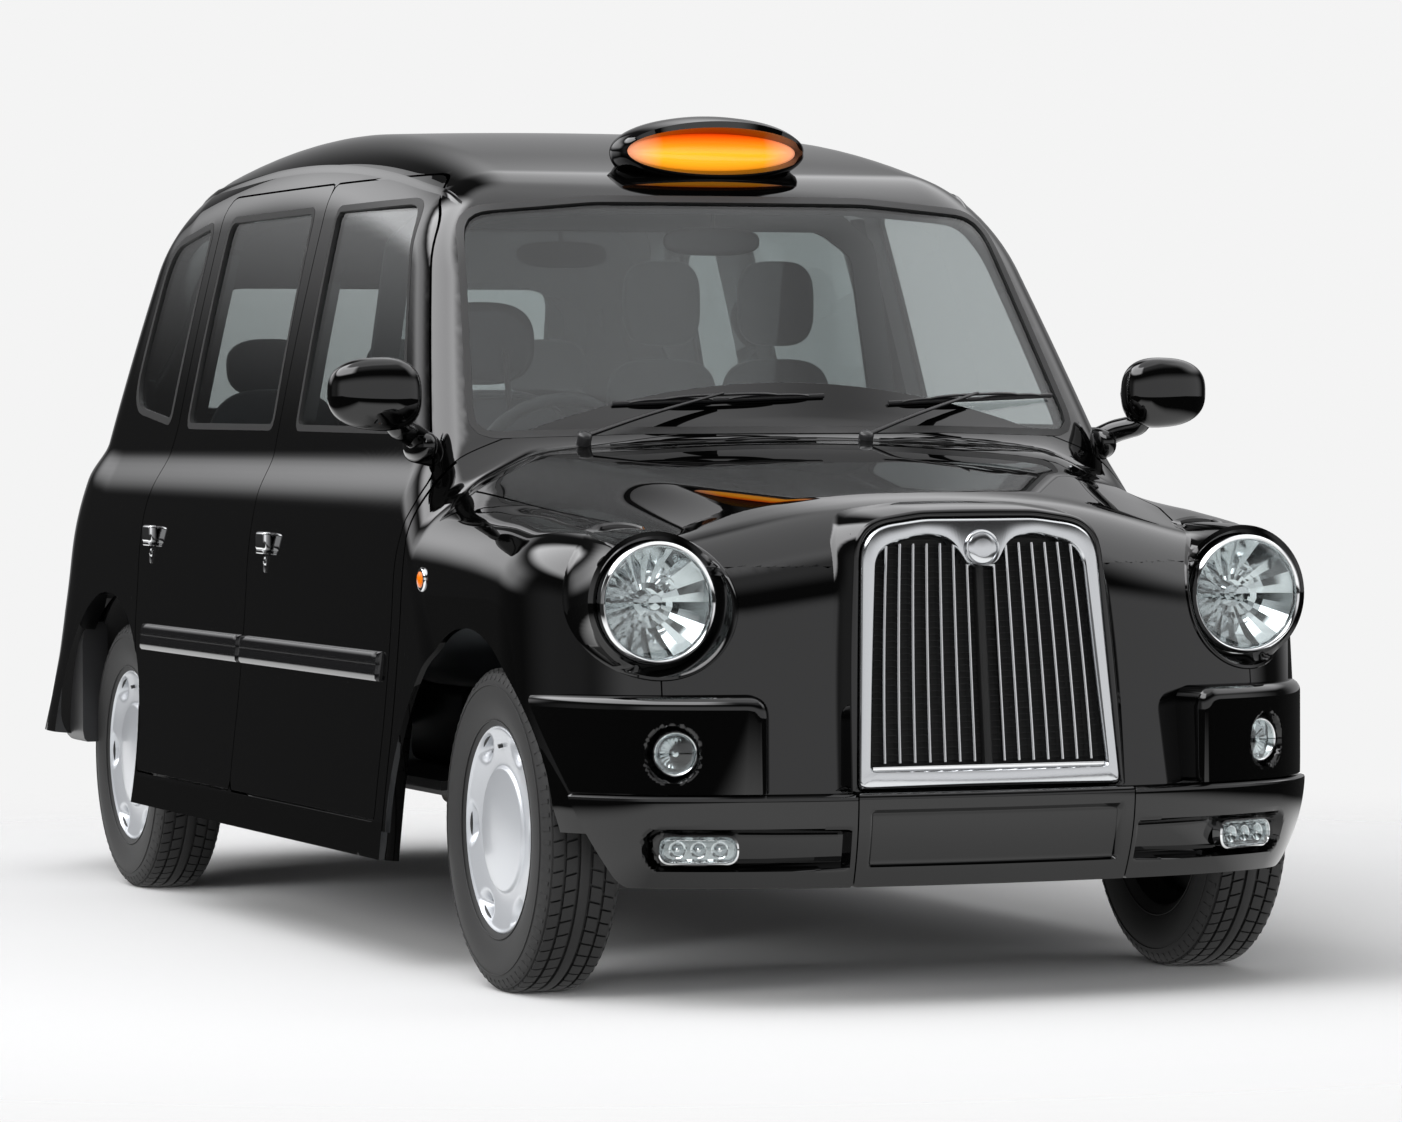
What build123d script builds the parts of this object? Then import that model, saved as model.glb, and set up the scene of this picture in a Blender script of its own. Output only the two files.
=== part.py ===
from build123d import *
from math import acos, cos, radians, sin, tan
import os

os.makedirs("parts", exist_ok=True)

# Purpose-built taxi cab, in millimetres. The nose points to -Y, +X is the cab's left side, +Z is up.
# The origin is on the ground, under the middle of the cab's length and width.
# A place "back" is measured along the cab from the front axle, "half" is measured from the middle.

# Driving dimensions
LENGTH = 4580
WHEELBASE = 2886
FRONT_OVERHANG = 700
TRACK_HALF = 740
BODY_HALF = 866
BUMPER_HALF = 880
ROOF_Z = 1804
WALL = 52
SKIN = 14
SHUT_GAP = 6
MOVE_GAP = 6
SEAT_GAP = 0.1
OVERRUN = 60
FAR = 2 * LENGTH
AXLE_F = FRONT_OVERHANG - LENGTH / 2
AXLE_R = AXLE_F + WHEELBASE

# Lower body section, seen from the front
SILL_HALF = 800
SILL_Z = 240
BAND_HALF = 860
BAND_Z = 400
SHOULDER_Z = 935
SHOULDER_R = 120
WAIST_HALF = 806
WAIST_Z = 1095
TAIL_BEND_Z = 700
TAIL_LEAN = 105
VALANCE_Z = 350
REAR_CORNER_R = 500

# Greenhouse section at the highest point of the roof, and its run along the cab
GLAZED_FOOT_Z = 900
GLAZED_FOOT_HALF = 838
CANT_HALF = 655
CANT_Z = 1768
CANT_R = 120
CROWN_TIP = 14
CROWN_R = 6000
ROOF_BEND_R = 5200
ROOF_TOP_BACK = 1900
ROOF_SWEEP_DEG = 50
GLAZED_CORNER_R = 470
GLAZED_END_BACK = 3565
GLAZED_RAKE = 0.35
ROOF_TAIL_R = 400
ROOF_TAIL_BACK = 3360
ROOF_TAIL_Z = 1657
ROOF_TAIL_SLOPE = 0.135
COWL_Z = 1118

# Lengthwise places
BULKHEAD_BACK = 470
FRONT_DOOR_BACK = 530
REAR_DOOR_BACK = 1645
REAR_DOOR_END = 2610
BODY_END_BACK = 3800
ROOF_JOINT_BACK = 3150
ROOF_JOINT_Z = 1400
SIDE_JOINT = 560

# Windscreen
SCREEN_FOOT_BACK = 395
SCREEN_FOOT_Z = 1140
SCREEN_DEG = 46
SCREEN_BOW_R = 2900
SCREEN_FOOT_HALF = 705
SCREEN_TOP_HALF = 630
SCREEN_RISE = 740
SCREEN_END_RISE = 45
SCREEN_DIP = 25
SCREEN_DIP_R = 6000
SCREEN_R = 60
SCREEN_REACH = 400

# Glass
GLASS_THICK = 5
GLASS_DEPTH = 14

# Doors, in side view
DOOR_FOOT_Z = 318
DOOR_TOP_Z = 1726
DOOR_TOP_HALF = 586
DOOR_SKIN = 18
DOOR_STEP = 11
DOOR_CORNER_HALF = 754
SCUTTLE_CORNER_HALF = 736
# columns: along the door, up the door, corner radius
front_door_shares = [
    (0.0, 0.0, 0.02),
    (1.0, 0.0, 0.02),
    (1.0, 1.0, 0.0),
    (0.57, 1.0, 0.20),
    (0.40, 0.92, 0.30),
    (0.015, 0.575, 0.04),
    (-0.04, 0.52, 0.03),
    (-0.04, 0.47, 0.10),
    (0.0, 0.40, 0.20),
]
rear_door_shares = [
    (0.0, 0.0, 0.02),
    (0.86, 0.0, 0.02),
    (0.86, 0.08, 0.10),
    (0.985, 0.26, 0.15),
    (0.985, 0.46, 0.2),
    (0.90, 0.60, 0.2),
    (0.90, 1.0, 0.0),
    (0.0, 1.0, 0.0),
]
front_window_shares = [
    (0.13, 0.585, 0.03),
    (0.88, 0.585, 0.03),
    (0.92, 0.955, 0.03),
    (0.50, 0.955, 0.20),
]
rear_window_shares = [
    (0.05, 0.585, 0.03),
    (0.825, 0.585, 0.03),
    (0.825, 0.955, 0.05),
    (0.09, 0.955, 0.03),
]

# Fixed side and back windows
QUARTER_BACK = 2590
QUARTER_LONG = 400
QUARTER_FOOT_Z = 1160
QUARTER_RISE = 500
quarter_shares = [(0.0, 0.0, 0.05), (1.0, 0.07, 0.3), (0.86, 0.9, 0.3), (0.0, 1.0, 0.05)]
BACK_LIGHT_HALF = 500
BACK_LIGHT_FOOT_Z = 1190
BACK_LIGHT_RISE = 350
BACK_LIGHT_R = 70
REAR_REACH = 320

# Boot lid
BOOT_HALF = 520
BOOT_FOOT_Z = 560
BOOT_TOP_Z = 1045
BOOT_R = 45
BOOT_REACH = 200

# Wheels and arches
TYRE_R = 332
TYRE_HALF = 88
BEAD_R = 203
BEAD_HALF = 62
TYRE_WALL = 11
RIM_HALF = 68
RIM_THICK = 5
RIM_WELL_R = 176
RIM_WELL_HALF = 34
TRIM_R = 217
TRIM_OUT = 78
TRIM_DISC_R = 128
TRIM_DISC_OUT = 70
TRIM_THICK = 5
TRIM_OPENINGS = 6
TRIM_OPENING_R = 168
TRIM_OPENING_LONG = 78
TRIM_OPENING_WIDE = 34
HUB_R = 62
HUB_IN = 26
STUB_R = 22
RUN_GAP = 0.08
HUB_BORE_R = STUB_R + RUN_GAP
KINGPIN_R = 11
STUB_OUT = 40
ARCH_R = 410
ARCH_Z = 338
ARCH_IN = 585
FRONT_ARCH_SHIFT = 45
LINER = 14

# Floor and frame
FLOOR_HALF = 766
FLOOR_Z = 400
FLOOR_THICK = 20
REAR_FLOOR_Z = 580
FLOOR_STEP_BACK = 2430
SILL_IN = 690
RAIL_IN = 350
RAIL_OUT = 430
RAIL_LONG = 4200
RAIL_RISE = 260
RAIL_FOOT_Z = 300
RAIL_FRONT_BACK = -500
# columns: along the rail, up the rail, corner radius
rail_shares = [
    (0.0, 0.0, 0.0),
    (0.69, 0.0, 0.0),
    (0.725, 0.654, 0.0),
    (1.0, 0.654, 0.0),
    (1.0, 1.0, 0.0),
    (2930 / 4200, 1.0, 0.0),
    (2930 / 4200, 80 / 260, 0.0),
    (0.0, 80 / 260, 0.0),
]

# Front clip
NOSE_BACK = -625
NOSE_SWEEP_DEG = 12.1
NOSE_R = 1500
CORNER_R = 250
WING_TOP_Z = 1010
WING_FRONT_Z = 940
WING_R = 135
WING_CROWN_HALF = 640
WING_FOOT_Z = 300
NOSE_LEAN = 60
NOSE_TOP_R = 150
PANEL_HALF = 641
PANEL_FOOT_Z = 430
BONNET_THICK = 20
BONNET_EDGE_DROP = 40
# columns: back from the axle, crown z, crown half, crown edge z, flank half, flank z
BONNET_SECTIONS = [
    (360, 1122, 590, 1092, 736, 1018),
    (0, 1082, 460, 1052, 660, 970),
    (-398, 1020, 330, 994, 546, 930),
    (-530, 980, 270, 958, 508, 906),
]
COWL_GAP = 6

# Bumpers
BUMPER_NOSE_BACK = -FRONT_OVERHANG
BUMPER_SWEEP_DEG = 13.4
BUMPER_END_BACK = -430
BUMPER_FOOT_Z = 245
BUMPER_SPLIT_Z = 430
BUMPER_TOP_Z = 625
BUMPER_THICK = 70
BUMPER_EDGE_R = 18
BLOCK_IN = 470
REAR_BUMPER_FOOT_Z = 350
REAR_BUMPER_TOP_Z = 530
REAR_BUMPER_START = 3330
REAR_BUMPER_R = 530

# Lamps
LAMP_HALF = 642
LAMP_BACK = -488
LAMP_Z = 806
LAMP_R = 128
LENS_R = 112
LAMP_DEEP = 90
LENS_THICK = 6
INDICATOR_HALF = 651
INDICATOR_Z = 512
INDICATOR_R = 38
INDICATOR_DEEP = 46
FOG_HALF = 607
FOG_Z = 323
FOG_LONG = 152
FOG_TALL = 50
FOG_DEEP = 60
TAIL_LAMP_HALF = 640
TAIL_LAMP_R = 46
TAIL_LAMP_ZS = (640, 748, 856)
TAIL_LAMP_OUT = 26

# Grille
GRILLE_FOOT_Z = 437
GRILLE_TOP_Z = 967
GRILLE_FOOT_HALF = 281
GRILLE_TOP_HALF = 250
GRILLE_TOP_R = 70
GRILLE_FOOT_R = 14
GRILLE_FOOT_BACK = -648
GRILLE_LEAN_DEG = 6.6
GRILLE_DEEP = 34
GRILLE_RIM = 36
GRILLE_BARS = 15
GRILLE_BAR_WIDE = 7
GRILLE_BAR_DEEP = 16
POST_WIDE = 16
BADGE_R = 24
BADGE_Z = 915
BADGE_RING = 12

# Roof sign
SIGN_BACK = 975
SIGN_LONG = 110
SIGN_HALF = 229
SIGN_Z = 1722
SIGN_TALL = 148
SIGN_WALL = 12
SIGN_LENS_HALF = 200
SIGN_LENS_TALL = 104

# Mirrors
MIRROR_IN = 868
MIRROR_OUT = 1020
MIRROR_FOOT_Z = 1142
MIRROR_TOP_Z = 1302
MIRROR_FRONT = 440
MIRROR_BACK = 545
MIRROR_R = 26
MIRROR_ARM_Z = 1096
MIRROR_ARM_IN = 740
MIRROR_GLASS_IN = 12
# columns: outwards, back, corner radius
mirror_arm_shares = [(0.0, 0.65, 0.0), (0.0, 1.0, 0.0), (0.5, 0.72, 0.1), (1.0, 0.5, 0.06), (0.72, 0.1, 0.06)]

# Door handles and rub strips
HANDLE_Z = 885
HANDLE_LONG = 150
HANDLE_TALL = 62
HANDLE_OUT = 34
HANDLE_BACKS = (1485, 2475)
STRIP_FOOT_Z = 612
STRIP_TOP_Z = 676
STRIP_OUT = 14
STRIP_MARGIN = 26

# Cabin
PARTITION_BACK = 1400
PARTITION_THICK = 24
PARTITION_GLASS_FOOT_Z = 1020
PARTITION_GLASS_HALF = 480
PARTITION_GLASS_TOP_Z = 1560
CABIN_CLEAR = 60
DASH_BACK = 523
DASH_LONG = 300
DASH_FOOT_Z = 720
DASH_RISE = 330
DASH_HALF = 735
dash_shares = [(0.0, 0.0, 0.0), (0.55, 0.0, 0.12), (1.0, 0.45, 0.15), (0.8, 0.92, 0.15), (0.0, 1.0, 0.05)]
DRIVER_X = -380
WHEEL_BACK = 905
WHEEL_Z = 1050
WHEEL_R = 190
WHEEL_TUBE_R = 14
WHEEL_DEG = 62
COLUMN_R = 22
SEAT_HALF = 250
SEAT_FRONT_BACK = 830
SEAT_LONG = 500
SEAT_BASE_Z = 560
SEAT_CUSHION_Z = 690
SEAT_BACK_TOP_Z = 1250
SEAT_BACK_THICK = 110
SEAT_RAKE_DEG = 12
HEADREST_TALL = 170
HEADREST_HALF = 140
HEADREST_GAP = 40
BENCH_HALF = 560
BENCH_FRONT_BACK = 2480
BENCH_LONG = 560
BENCH_CUSHION_Z = 760
BENCH_TOP_Z = 1230
FOLDING_HALF = 200
FOLDING_X = 330
FOLDING_FOOT_Z = 780
FOLDING_TOP_Z = 1160
FOLDING_THICK = 90

# Machinery
ENGINE_HALF = 230
ENGINE_FRONT_BACK = -330
ENGINE_END_BACK = 400
ENGINE_TOP_Z = 830
CROSS_THICK = 80
CROSS_BACKS = (-500, -60, 300, 1250, 2200)
REAR_CROSS_BACK = 3560
AXLE_R_TUBE = 42
DIFF_R = 120
SPRING_HALF_LONG = 60
KING_HALF = 682
UPRIGHT_THICK = 30
UPRIGHT_HALF_WIDE = 36
UPRIGHT_HALF_TALL = 100
ARM_THICK = 20
ARM_HALF_WIDE = 40
ARM_OUT = 706
PIPE_R = 25
PIPE_X = -200
PIPE_Z = 262
MUFFLER_LONG = 520
MUFFLER_HALF = 110
MUFFLER_FOOT_Z = 200
MUFFLER_BACK = 1120
PIPE_START_BACK = 320
PIPE_END_BACK = 2180
WIPER_FOOTS = (-430, 250)
WIPER_R = 16
WIPER_TALL = 26
BLADE_LONG = 520
BLADE_WIDE = 14
BLADE_TALL = 14
WIPER_UP = 34
WIPER_FOOT_UP = 6


def grown(points, out):
    """The same outline with every side moved outwards. Corner radii follow."""
    area = sum(a[0] * b[1] - b[0] * a[1] for a, b in zip(points, points[1:] + points[:1]))
    turn = 1 if area > 0 else -1
    moved = []
    for i, (u, v, r) in enumerate(points):
        here = Vector(u, v)
        back = (here - Vector(*points[i - 1][:2])).normalized()
        on = (Vector(*points[(i + 1) % len(points)][:2]) - here).normalized()
        normal_back = Vector(back.Y, -back.X) * turn
        normal_on = Vector(on.Y, -on.X) * turn
        shift = (normal_back + normal_on) * (out / (1 + normal_back.dot(normal_on)))
        outward_corner = (back.X * on.Y - back.Y * on.X) * turn > 0
        radius = max(r + (out if outward_corner else -out), 0) if r else 0
        moved.append((u + shift.X, v + shift.Y, radius))
    return moved


def rounded(points, grow=0):
    """A closed face in a sketch plane. Each point is (u, v, corner radius)."""
    if grow:
        points = grown(points, grow)
    corners = []
    for i, (u, v, r) in enumerate(points):
        here = Vector(u, v)
        before = Vector(*points[i - 1][:2])
        after = Vector(*points[(i + 1) % len(points)][:2])
        if not r:
            corners.append((here, None, here))
            continue
        back = (before - here).normalized()
        on = (after - here).normalized()
        half = acos(max(-1, min(1, back.dot(on)))) / 2
        middle = here + (back + on).normalized() * (r / sin(half) - r)
        corners.append((here + back * (r / tan(half)), middle, here + on * (r / tan(half))))
    edges = []
    for i, (start, middle, end) in enumerate(corners):
        if middle is not None:
            edges.append(ThreePointArc(start, middle, end))
        following = corners[(i + 1) % len(corners)][0]
        if (following - end).length > 1e-6:
            edges.append(Line(end, following))
    return make_face(Wire(edges))


def mirrored(half):
    """Both halves of an outline, from the right half that runs from its foot to its top."""
    left = [(-u, v, r) for u, v, r in reversed(half) if u]
    return half + left


def placed(shares, origin, size):
    """Outline points from shares of a width and a height, with radii as shares of the width."""
    return [(origin[0] + a * size[0], origin[1] + b * size[1], r * size[0]) for a, b, r in shares]


def along_x(face, low, high):
    """A YZ outline extruded from x = low to x = high."""
    return extrude(Plane((low, 0, 0), (0, 1, 0), (1, 0, 0)) * face, high - low)


def along_y(face, low, high):
    """An XZ outline extruded from y = low to y = high."""
    return extrude(Plane((0, high, 0), (1, 0, 0), (0, -1, 0)) * face, high - low)


def along_z(face, low, high):
    """An XY outline extruded from z = low to z = high."""
    return extrude(Plane((0, 0, low)) * face, high - low)


def block(x0, x1, y0, y1, z0, z1):
    return Pos((x0 + x1) / 2, (y0 + y1) / 2, (z0 + z1) / 2) * Box(x1 - x0, y1 - y0, z1 - z0)


def rod(plane, radius, length):
    return plane * Cylinder(radius, length, align=(Align.CENTER, Align.CENTER, Align.MIN))


def rod_x(radius, x0, x1, y, z):
    return rod(Plane((x0, y, z), (0, 1, 0), (1, 0, 0)), radius, x1 - x0)


def rod_y(radius, y0, y1, x, z):
    return rod(Plane((x, y1, z), (1, 0, 0), (0, -1, 0)), radius, y1 - y0)


def other_side(shape):
    return mirror(shape, about=Plane.YZ)


def both_sides(shape):
    return shape.solids() + other_side(shape).solids()


def largest(shape):
    """The main solid, without the slivers that a cut may leave beside it."""
    return max(shape.solids(), key=lambda piece: piece.volume)


def save(name, *shapes):
    solids = [solid for shape in shapes for solid in shape.solids()]
    export_step(Compound(children=solids) if len(solids) > 1 else solids[0], f"parts/{name}.step")


# The body's outer form, and the same form drawn in by a wall


def lower_form(inset=0):
    section = rounded(mirrored([
        (SILL_HALF, SILL_Z, 0),
        (BAND_HALF, BAND_Z, 0),
        (BODY_HALF, SHOULDER_Z, SHOULDER_R),
        (WAIST_HALF, WAIST_Z, 0),
    ]), -inset)
    front, back = AXLE_F + BULKHEAD_BACK, AXLE_F + BODY_END_BACK
    plan = rounded([
        (-BUMPER_HALF, front, 0),
        (BUMPER_HALF, front, 0),
        (BUMPER_HALF, back, REAR_CORNER_R),
        (-BUMPER_HALF, back, REAR_CORNER_R),
    ], -inset)
    side = rounded([
        (front, SILL_Z, 0),
        (back, SILL_Z, 0),
        (back, TAIL_BEND_Z, 0),
        (back - TAIL_LEAN, WAIST_Z, 0),
        (front, WAIST_Z, 0),
    ], -inset)
    return along_y(section, -LENGTH, LENGTH) & along_z(plan, 0, WAIST_Z) & along_x(side, -LENGTH, LENGTH)


def screen_barrel(radius):
    """The barrel whose side is the bowed windscreen. Its axis runs up the slope, behind the glass."""
    slope = radians(SCREEN_DEG)
    foot = Vector(0, AXLE_F + SCREEN_FOOT_BACK, SCREEN_FOOT_Z)
    axis_point = foot + Vector(0, sin(slope), -cos(slope)) * SCREEN_BOW_R
    return Plane(axis_point, (1, 0, 0), (0, cos(slope), sin(slope))) * Cylinder(radius, 2 * LENGTH)


def glazed_form(inset=0):
    section = rounded(mirrored([
        (GLAZED_FOOT_HALF, GLAZED_FOOT_Z, 0),
        (CANT_HALF, CANT_Z, CANT_R),
        (0, ROOF_Z + CROWN_TIP, CROWN_R),
    ]), -inset)
    top = AXLE_F + ROOF_TOP_BACK
    hub = Axis((0, top, ROOF_Z - ROOF_BEND_R), (1, 0, 0))
    face = Plane((0, top, 0), (1, 0, 0), (0, -1, 0)) * section
    bent = revolve(face.rotate(hub, -ROOF_SWEEP_DEG / 2), hub, ROOF_SWEEP_DEG)
    tail = AXLE_F + ROOF_TAIL_BACK
    foot = AXLE_F + GLAZED_END_BACK + GLAZED_RAKE * (WAIST_Z - GLAZED_FOOT_Z)
    side = rounded([
        (AXLE_F + BULKHEAD_BACK, GLAZED_FOOT_Z, 0),
        (foot, GLAZED_FOOT_Z, 0),
        (tail, ROOF_TAIL_Z, ROOF_TAIL_R),
        (AXLE_F, ROOF_TAIL_Z + ROOF_TAIL_SLOPE * ROOF_TAIL_BACK, 0),
        (AXLE_F, COWL_Z, 0),
        (AXLE_F + BULKHEAD_BACK, COWL_Z, 0),
    ], -inset)
    plan = rounded([
        (-BUMPER_HALF, AXLE_F, 0),
        (BUMPER_HALF, AXLE_F, 0),
        (BUMPER_HALF, foot, GLAZED_CORNER_R),
        (-BUMPER_HALF, foot, GLAZED_CORNER_R),
    ], -inset)
    form = bent & along_x(side, -LENGTH, LENGTH) & along_z(plan, 0, LENGTH)
    return form & screen_barrel(SCREEN_BOW_R - inset)


def body_form(inset=0):
    return lower_form(inset) + glazed_form(inset)


def front_door_face(grow=0):
    size = (REAR_DOOR_BACK - FRONT_DOOR_BACK, DOOR_TOP_Z - DOOR_FOOT_Z)
    return rounded(placed(front_door_shares, (AXLE_F + FRONT_DOOR_BACK, DOOR_FOOT_Z), size), grow)


def rear_door_face(grow=0):
    size = (REAR_DOOR_END - REAR_DOOR_BACK, DOOR_TOP_Z - DOOR_FOOT_Z)
    return rounded(placed(rear_door_shares, (AXLE_F + REAR_DOOR_BACK, DOOR_FOOT_Z), size), grow)


def front_window():
    size = (REAR_DOOR_BACK - FRONT_DOOR_BACK, DOOR_TOP_Z - DOOR_FOOT_Z)
    return rounded(placed(front_window_shares, (AXLE_F + FRONT_DOOR_BACK, DOOR_FOOT_Z), size))


def rear_window():
    size = (REAR_DOOR_END - REAR_DOOR_BACK, DOOR_TOP_Z - DOOR_FOOT_Z)
    return rounded(placed(rear_window_shares, (AXLE_F + REAR_DOOR_BACK, DOOR_FOOT_Z), size))


def quarter_face():
    size = (QUARTER_LONG, QUARTER_RISE)
    return rounded(placed(quarter_shares, (AXLE_F + QUARTER_BACK, QUARTER_FOOT_Z), size))


def screen_prism():
    """The windscreen's outline, carried along the screen's own normal."""
    slope = radians(SCREEN_DEG)
    outline = rounded([
        (0, -SCREEN_DIP, SCREEN_DIP_R),
        (SCREEN_FOOT_HALF, SCREEN_END_RISE, SCREEN_R),
        (SCREEN_TOP_HALF, SCREEN_RISE, SCREEN_R),
        (-SCREEN_TOP_HALF, SCREEN_RISE, SCREEN_R),
        (-SCREEN_FOOT_HALF, SCREEN_END_RISE, SCREEN_R),
    ])
    foot = Vector(0, AXLE_F + SCREEN_FOOT_BACK, SCREEN_FOOT_Z)
    place = Plane(foot, (1, 0, 0), (0, -sin(slope), cos(slope)))
    return extrude(place.offset(-SCREEN_REACH) * outline, 2 * SCREEN_REACH)


def back_light_prism():
    top = BACK_LIGHT_FOOT_Z + BACK_LIGHT_RISE
    outline = rounded([
        (-BACK_LIGHT_HALF, BACK_LIGHT_FOOT_Z, BACK_LIGHT_R),
        (BACK_LIGHT_HALF, BACK_LIGHT_FOOT_Z, BACK_LIGHT_R),
        (BACK_LIGHT_HALF, top, BACK_LIGHT_R),
        (-BACK_LIGHT_HALF, top, BACK_LIGHT_R),
    ])
    return along_y(outline, AXLE_F + ROOF_TAIL_BACK - REAR_REACH, AXLE_F + BODY_END_BACK)


def boot_prism(grow=0):
    outline = rounded([
        (-BOOT_HALF, BOOT_FOOT_Z, BOOT_R),
        (BOOT_HALF, BOOT_FOOT_Z, BOOT_R),
        (BOOT_HALF, BOOT_TOP_Z, 0),
        (-BOOT_HALF, BOOT_TOP_Z, 0),
    ], grow)
    return along_y(outline, AXLE_F + BODY_END_BACK - BOOT_REACH, AXLE_F + BODY_END_BACK + OVERRUN)


def arch_cutter(axle_y, radius):
    right = rod_x(radius, ARCH_IN, BUMPER_HALF + OVERRUN, axle_y, ARCH_Z)
    return right + other_side(right)


# Cabin shell, cut into the panels that meet on the real cab


def cabin_shell():
    body_shell = BODY - BODY_INSIDE
    floor_hole = block(-SILL_IN, SILL_IN, AXLE_F, AXLE_F + BODY_END_BACK, 0, FLOOR_Z - FLOOR_THICK)
    body_shell = body_shell - floor_hole
    for face in (front_door_face, rear_door_face):
        opening = along_x(face(SHUT_GAP / 2), DOOR_TOP_HALF, FAR) - bulkhead_corner(SCUTTLE_CORNER_HALF, 0)
        body_shell = body_shell - opening - other_side(opening)
    body_shell = body_shell - along_x(quarter_face(), -FAR, FAR)
    body_shell = body_shell - screen_prism() - back_light_prism() - boot_prism(SHUT_GAP / 2)
    body_shell = body_shell - arch_cutter(AXLE_R, ARCH_R)
    return body_shell - block(-FAR, FAR, AXLE_R + ARCH_R, FAR, 0, VALANCE_Z)


def bulkhead_corner(half, gap):
    """The end of the bulkhead's box, which stays on the body when the front door opens."""
    return block(0, half, -FAR, AXLE_F + BULKHEAD_BACK + WALL + gap, 0, FAR)


def sill_box():
    front, back = AXLE_F + BULKHEAD_BACK, AXLE_F + FLOOR_STEP_BACK
    return block(SILL_IN, FLOOR_HALF, front, back, SILL_Z, FLOOR_Z - FLOOR_THICK)


def middle_post():
    """The post inboard of the doors' meeting edges, with its foot on the sill and its head on the roof."""
    inside = body_form(WALL + MOVE_GAP)
    core = body_form(WALL + MOVE_GAP + POST_DEEP)
    post = inside - core - block(-SIDE_JOINT, SIDE_JOINT, -FAR, FAR, 0, FAR)
    head = BODY_INSIDE - core - block(-SIDE_JOINT, SIDE_JOINT, -FAR, FAR, 0, FAR)
    head = head & block(0, DOOR_TOP_HALF - MOVE_GAP, -FAR, FAR, ROOF_JOINT_Z, FAR)
    middle = AXLE_F + REAR_DOOR_BACK
    strip = block(0, FAR, middle - POST_HALF_LONG, middle + POST_HALF_LONG, SILL_Z, FAR)
    return (post + head) & strip


POST_DEEP = 38
POST_HALF_LONG = 50


def cabin_panels(body_shell):
    """Roof, scuttle, rear and two sides. They meet face to face."""
    middle = body_shell & block(-SIDE_JOINT, SIDE_JOINT, -FAR, FAR, 0, FAR)
    joint = AXLE_F + ROOF_JOINT_BACK
    roof = middle & block(-FAR, FAR, -FAR, joint, ROOF_JOINT_Z, FAR)
    scuttle = middle & block(-FAR, FAR, -FAR, AXLE_F + REAR_DOOR_BACK, 0, ROOF_JOINT_Z)
    rear = middle & block(-FAR, FAR, AXLE_F + REAR_DOOR_BACK, FAR, 0, FAR)
    rear = rear - block(-FAR, FAR, -FAR, joint, ROOF_JOINT_Z, FAR)
    side = (body_shell & block(SIDE_JOINT, FAR, -FAR, FAR, 0, FAR)) + sill_box() + middle_post()
    return roof, scuttle, rear, largest(side)


def door(face, window):
    """A left door leaf, stepped at its edge, with its window cut."""
    skin = (BODY - BODY_SKIN) & along_x(face(-SHUT_GAP / 2), DOOR_TOP_HALF, FAR)
    inner = (BODY_SKIN - BODY_INSIDE) & along_x(face(-DOOR_STEP), DOOR_TOP_HALF, FAR)
    leaf = skin + inner - bulkhead_corner(DOOR_CORNER_HALF, MOVE_GAP)
    leaf = leaf - arch_cutter(AXLE_R, ARCH_R + SHUT_GAP)
    return leaf - along_x(window(), DOOR_TOP_HALF, FAR)


def side_glass(outline, inner=DOOR_TOP_HALF):
    return GLASS_LAYER & along_x(outline, inner, FAR)


def door_trim(back, long, handle_back):
    """A paddle handle near the back edge and the rub strip along the leaf, on the left."""
    place = AXLE_F + handle_back
    half_tall = HANDLE_TALL / 2
    start = BODY_HALF - OVERRUN
    paddle = block(start, BODY_HALF + HANDLE_OUT, place - HANDLE_LONG / 2, place + HANDLE_LONG / 2,
                   HANDLE_Z - half_tall, HANDLE_Z + half_tall)
    strip = block(start, BODY_HALF + STRIP_OUT, AXLE_F + back + STRIP_MARGIN, AXLE_F + back + long - STRIP_MARGIN,
                  STRIP_FOOT_Z, STRIP_TOP_Z)
    return [paddle - BODY, strip - BODY - arch_cutter(AXLE_R, ARCH_R + STRIP_MARGIN)]


def mirror_unit():
    """The left mirror: a rounded head on an arm that stands on the door's front quarter."""
    head = block(MIRROR_IN, MIRROR_OUT, AXLE_F + MIRROR_FRONT, AXLE_F + MIRROR_BACK, MIRROR_FOOT_Z, MIRROR_TOP_Z)
    head = fillet(head.edges(), MIRROR_R)
    pane = block(MIRROR_IN + MIRROR_R, MIRROR_OUT - MIRROR_R, AXLE_F + MIRROR_BACK - GLASS_THICK,
                 AXLE_F + MIRROR_BACK, MIRROR_FOOT_Z + MIRROR_R, MIRROR_TOP_Z - MIRROR_R)
    size = (MIRROR_OUT - MIRROR_ARM_IN, MIRROR_ARM_LONG)
    origin = (MIRROR_ARM_IN, AXLE_F + MIRROR_FRONT)
    arm = along_z(rounded(placed(mirror_arm_shares, origin, size)), MIRROR_ARM_Z, MIRROR_FOOT_Z + MIRROR_R)
    return head + (arm - BODY) - pane, pane


MIRROR_ARM_LONG = 240


# Front clip: wings, panel and bonnet


def swept_nose(nose_back, sweep_deg, half):
    """Where the two straight halves of a bowed nose would meet, and where they meet the sides."""
    apex = AXLE_F + nose_back - NOSE_R * (1 / cos(radians(sweep_deg)) - 1)
    return apex, apex + half * tan(radians(sweep_deg))


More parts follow.
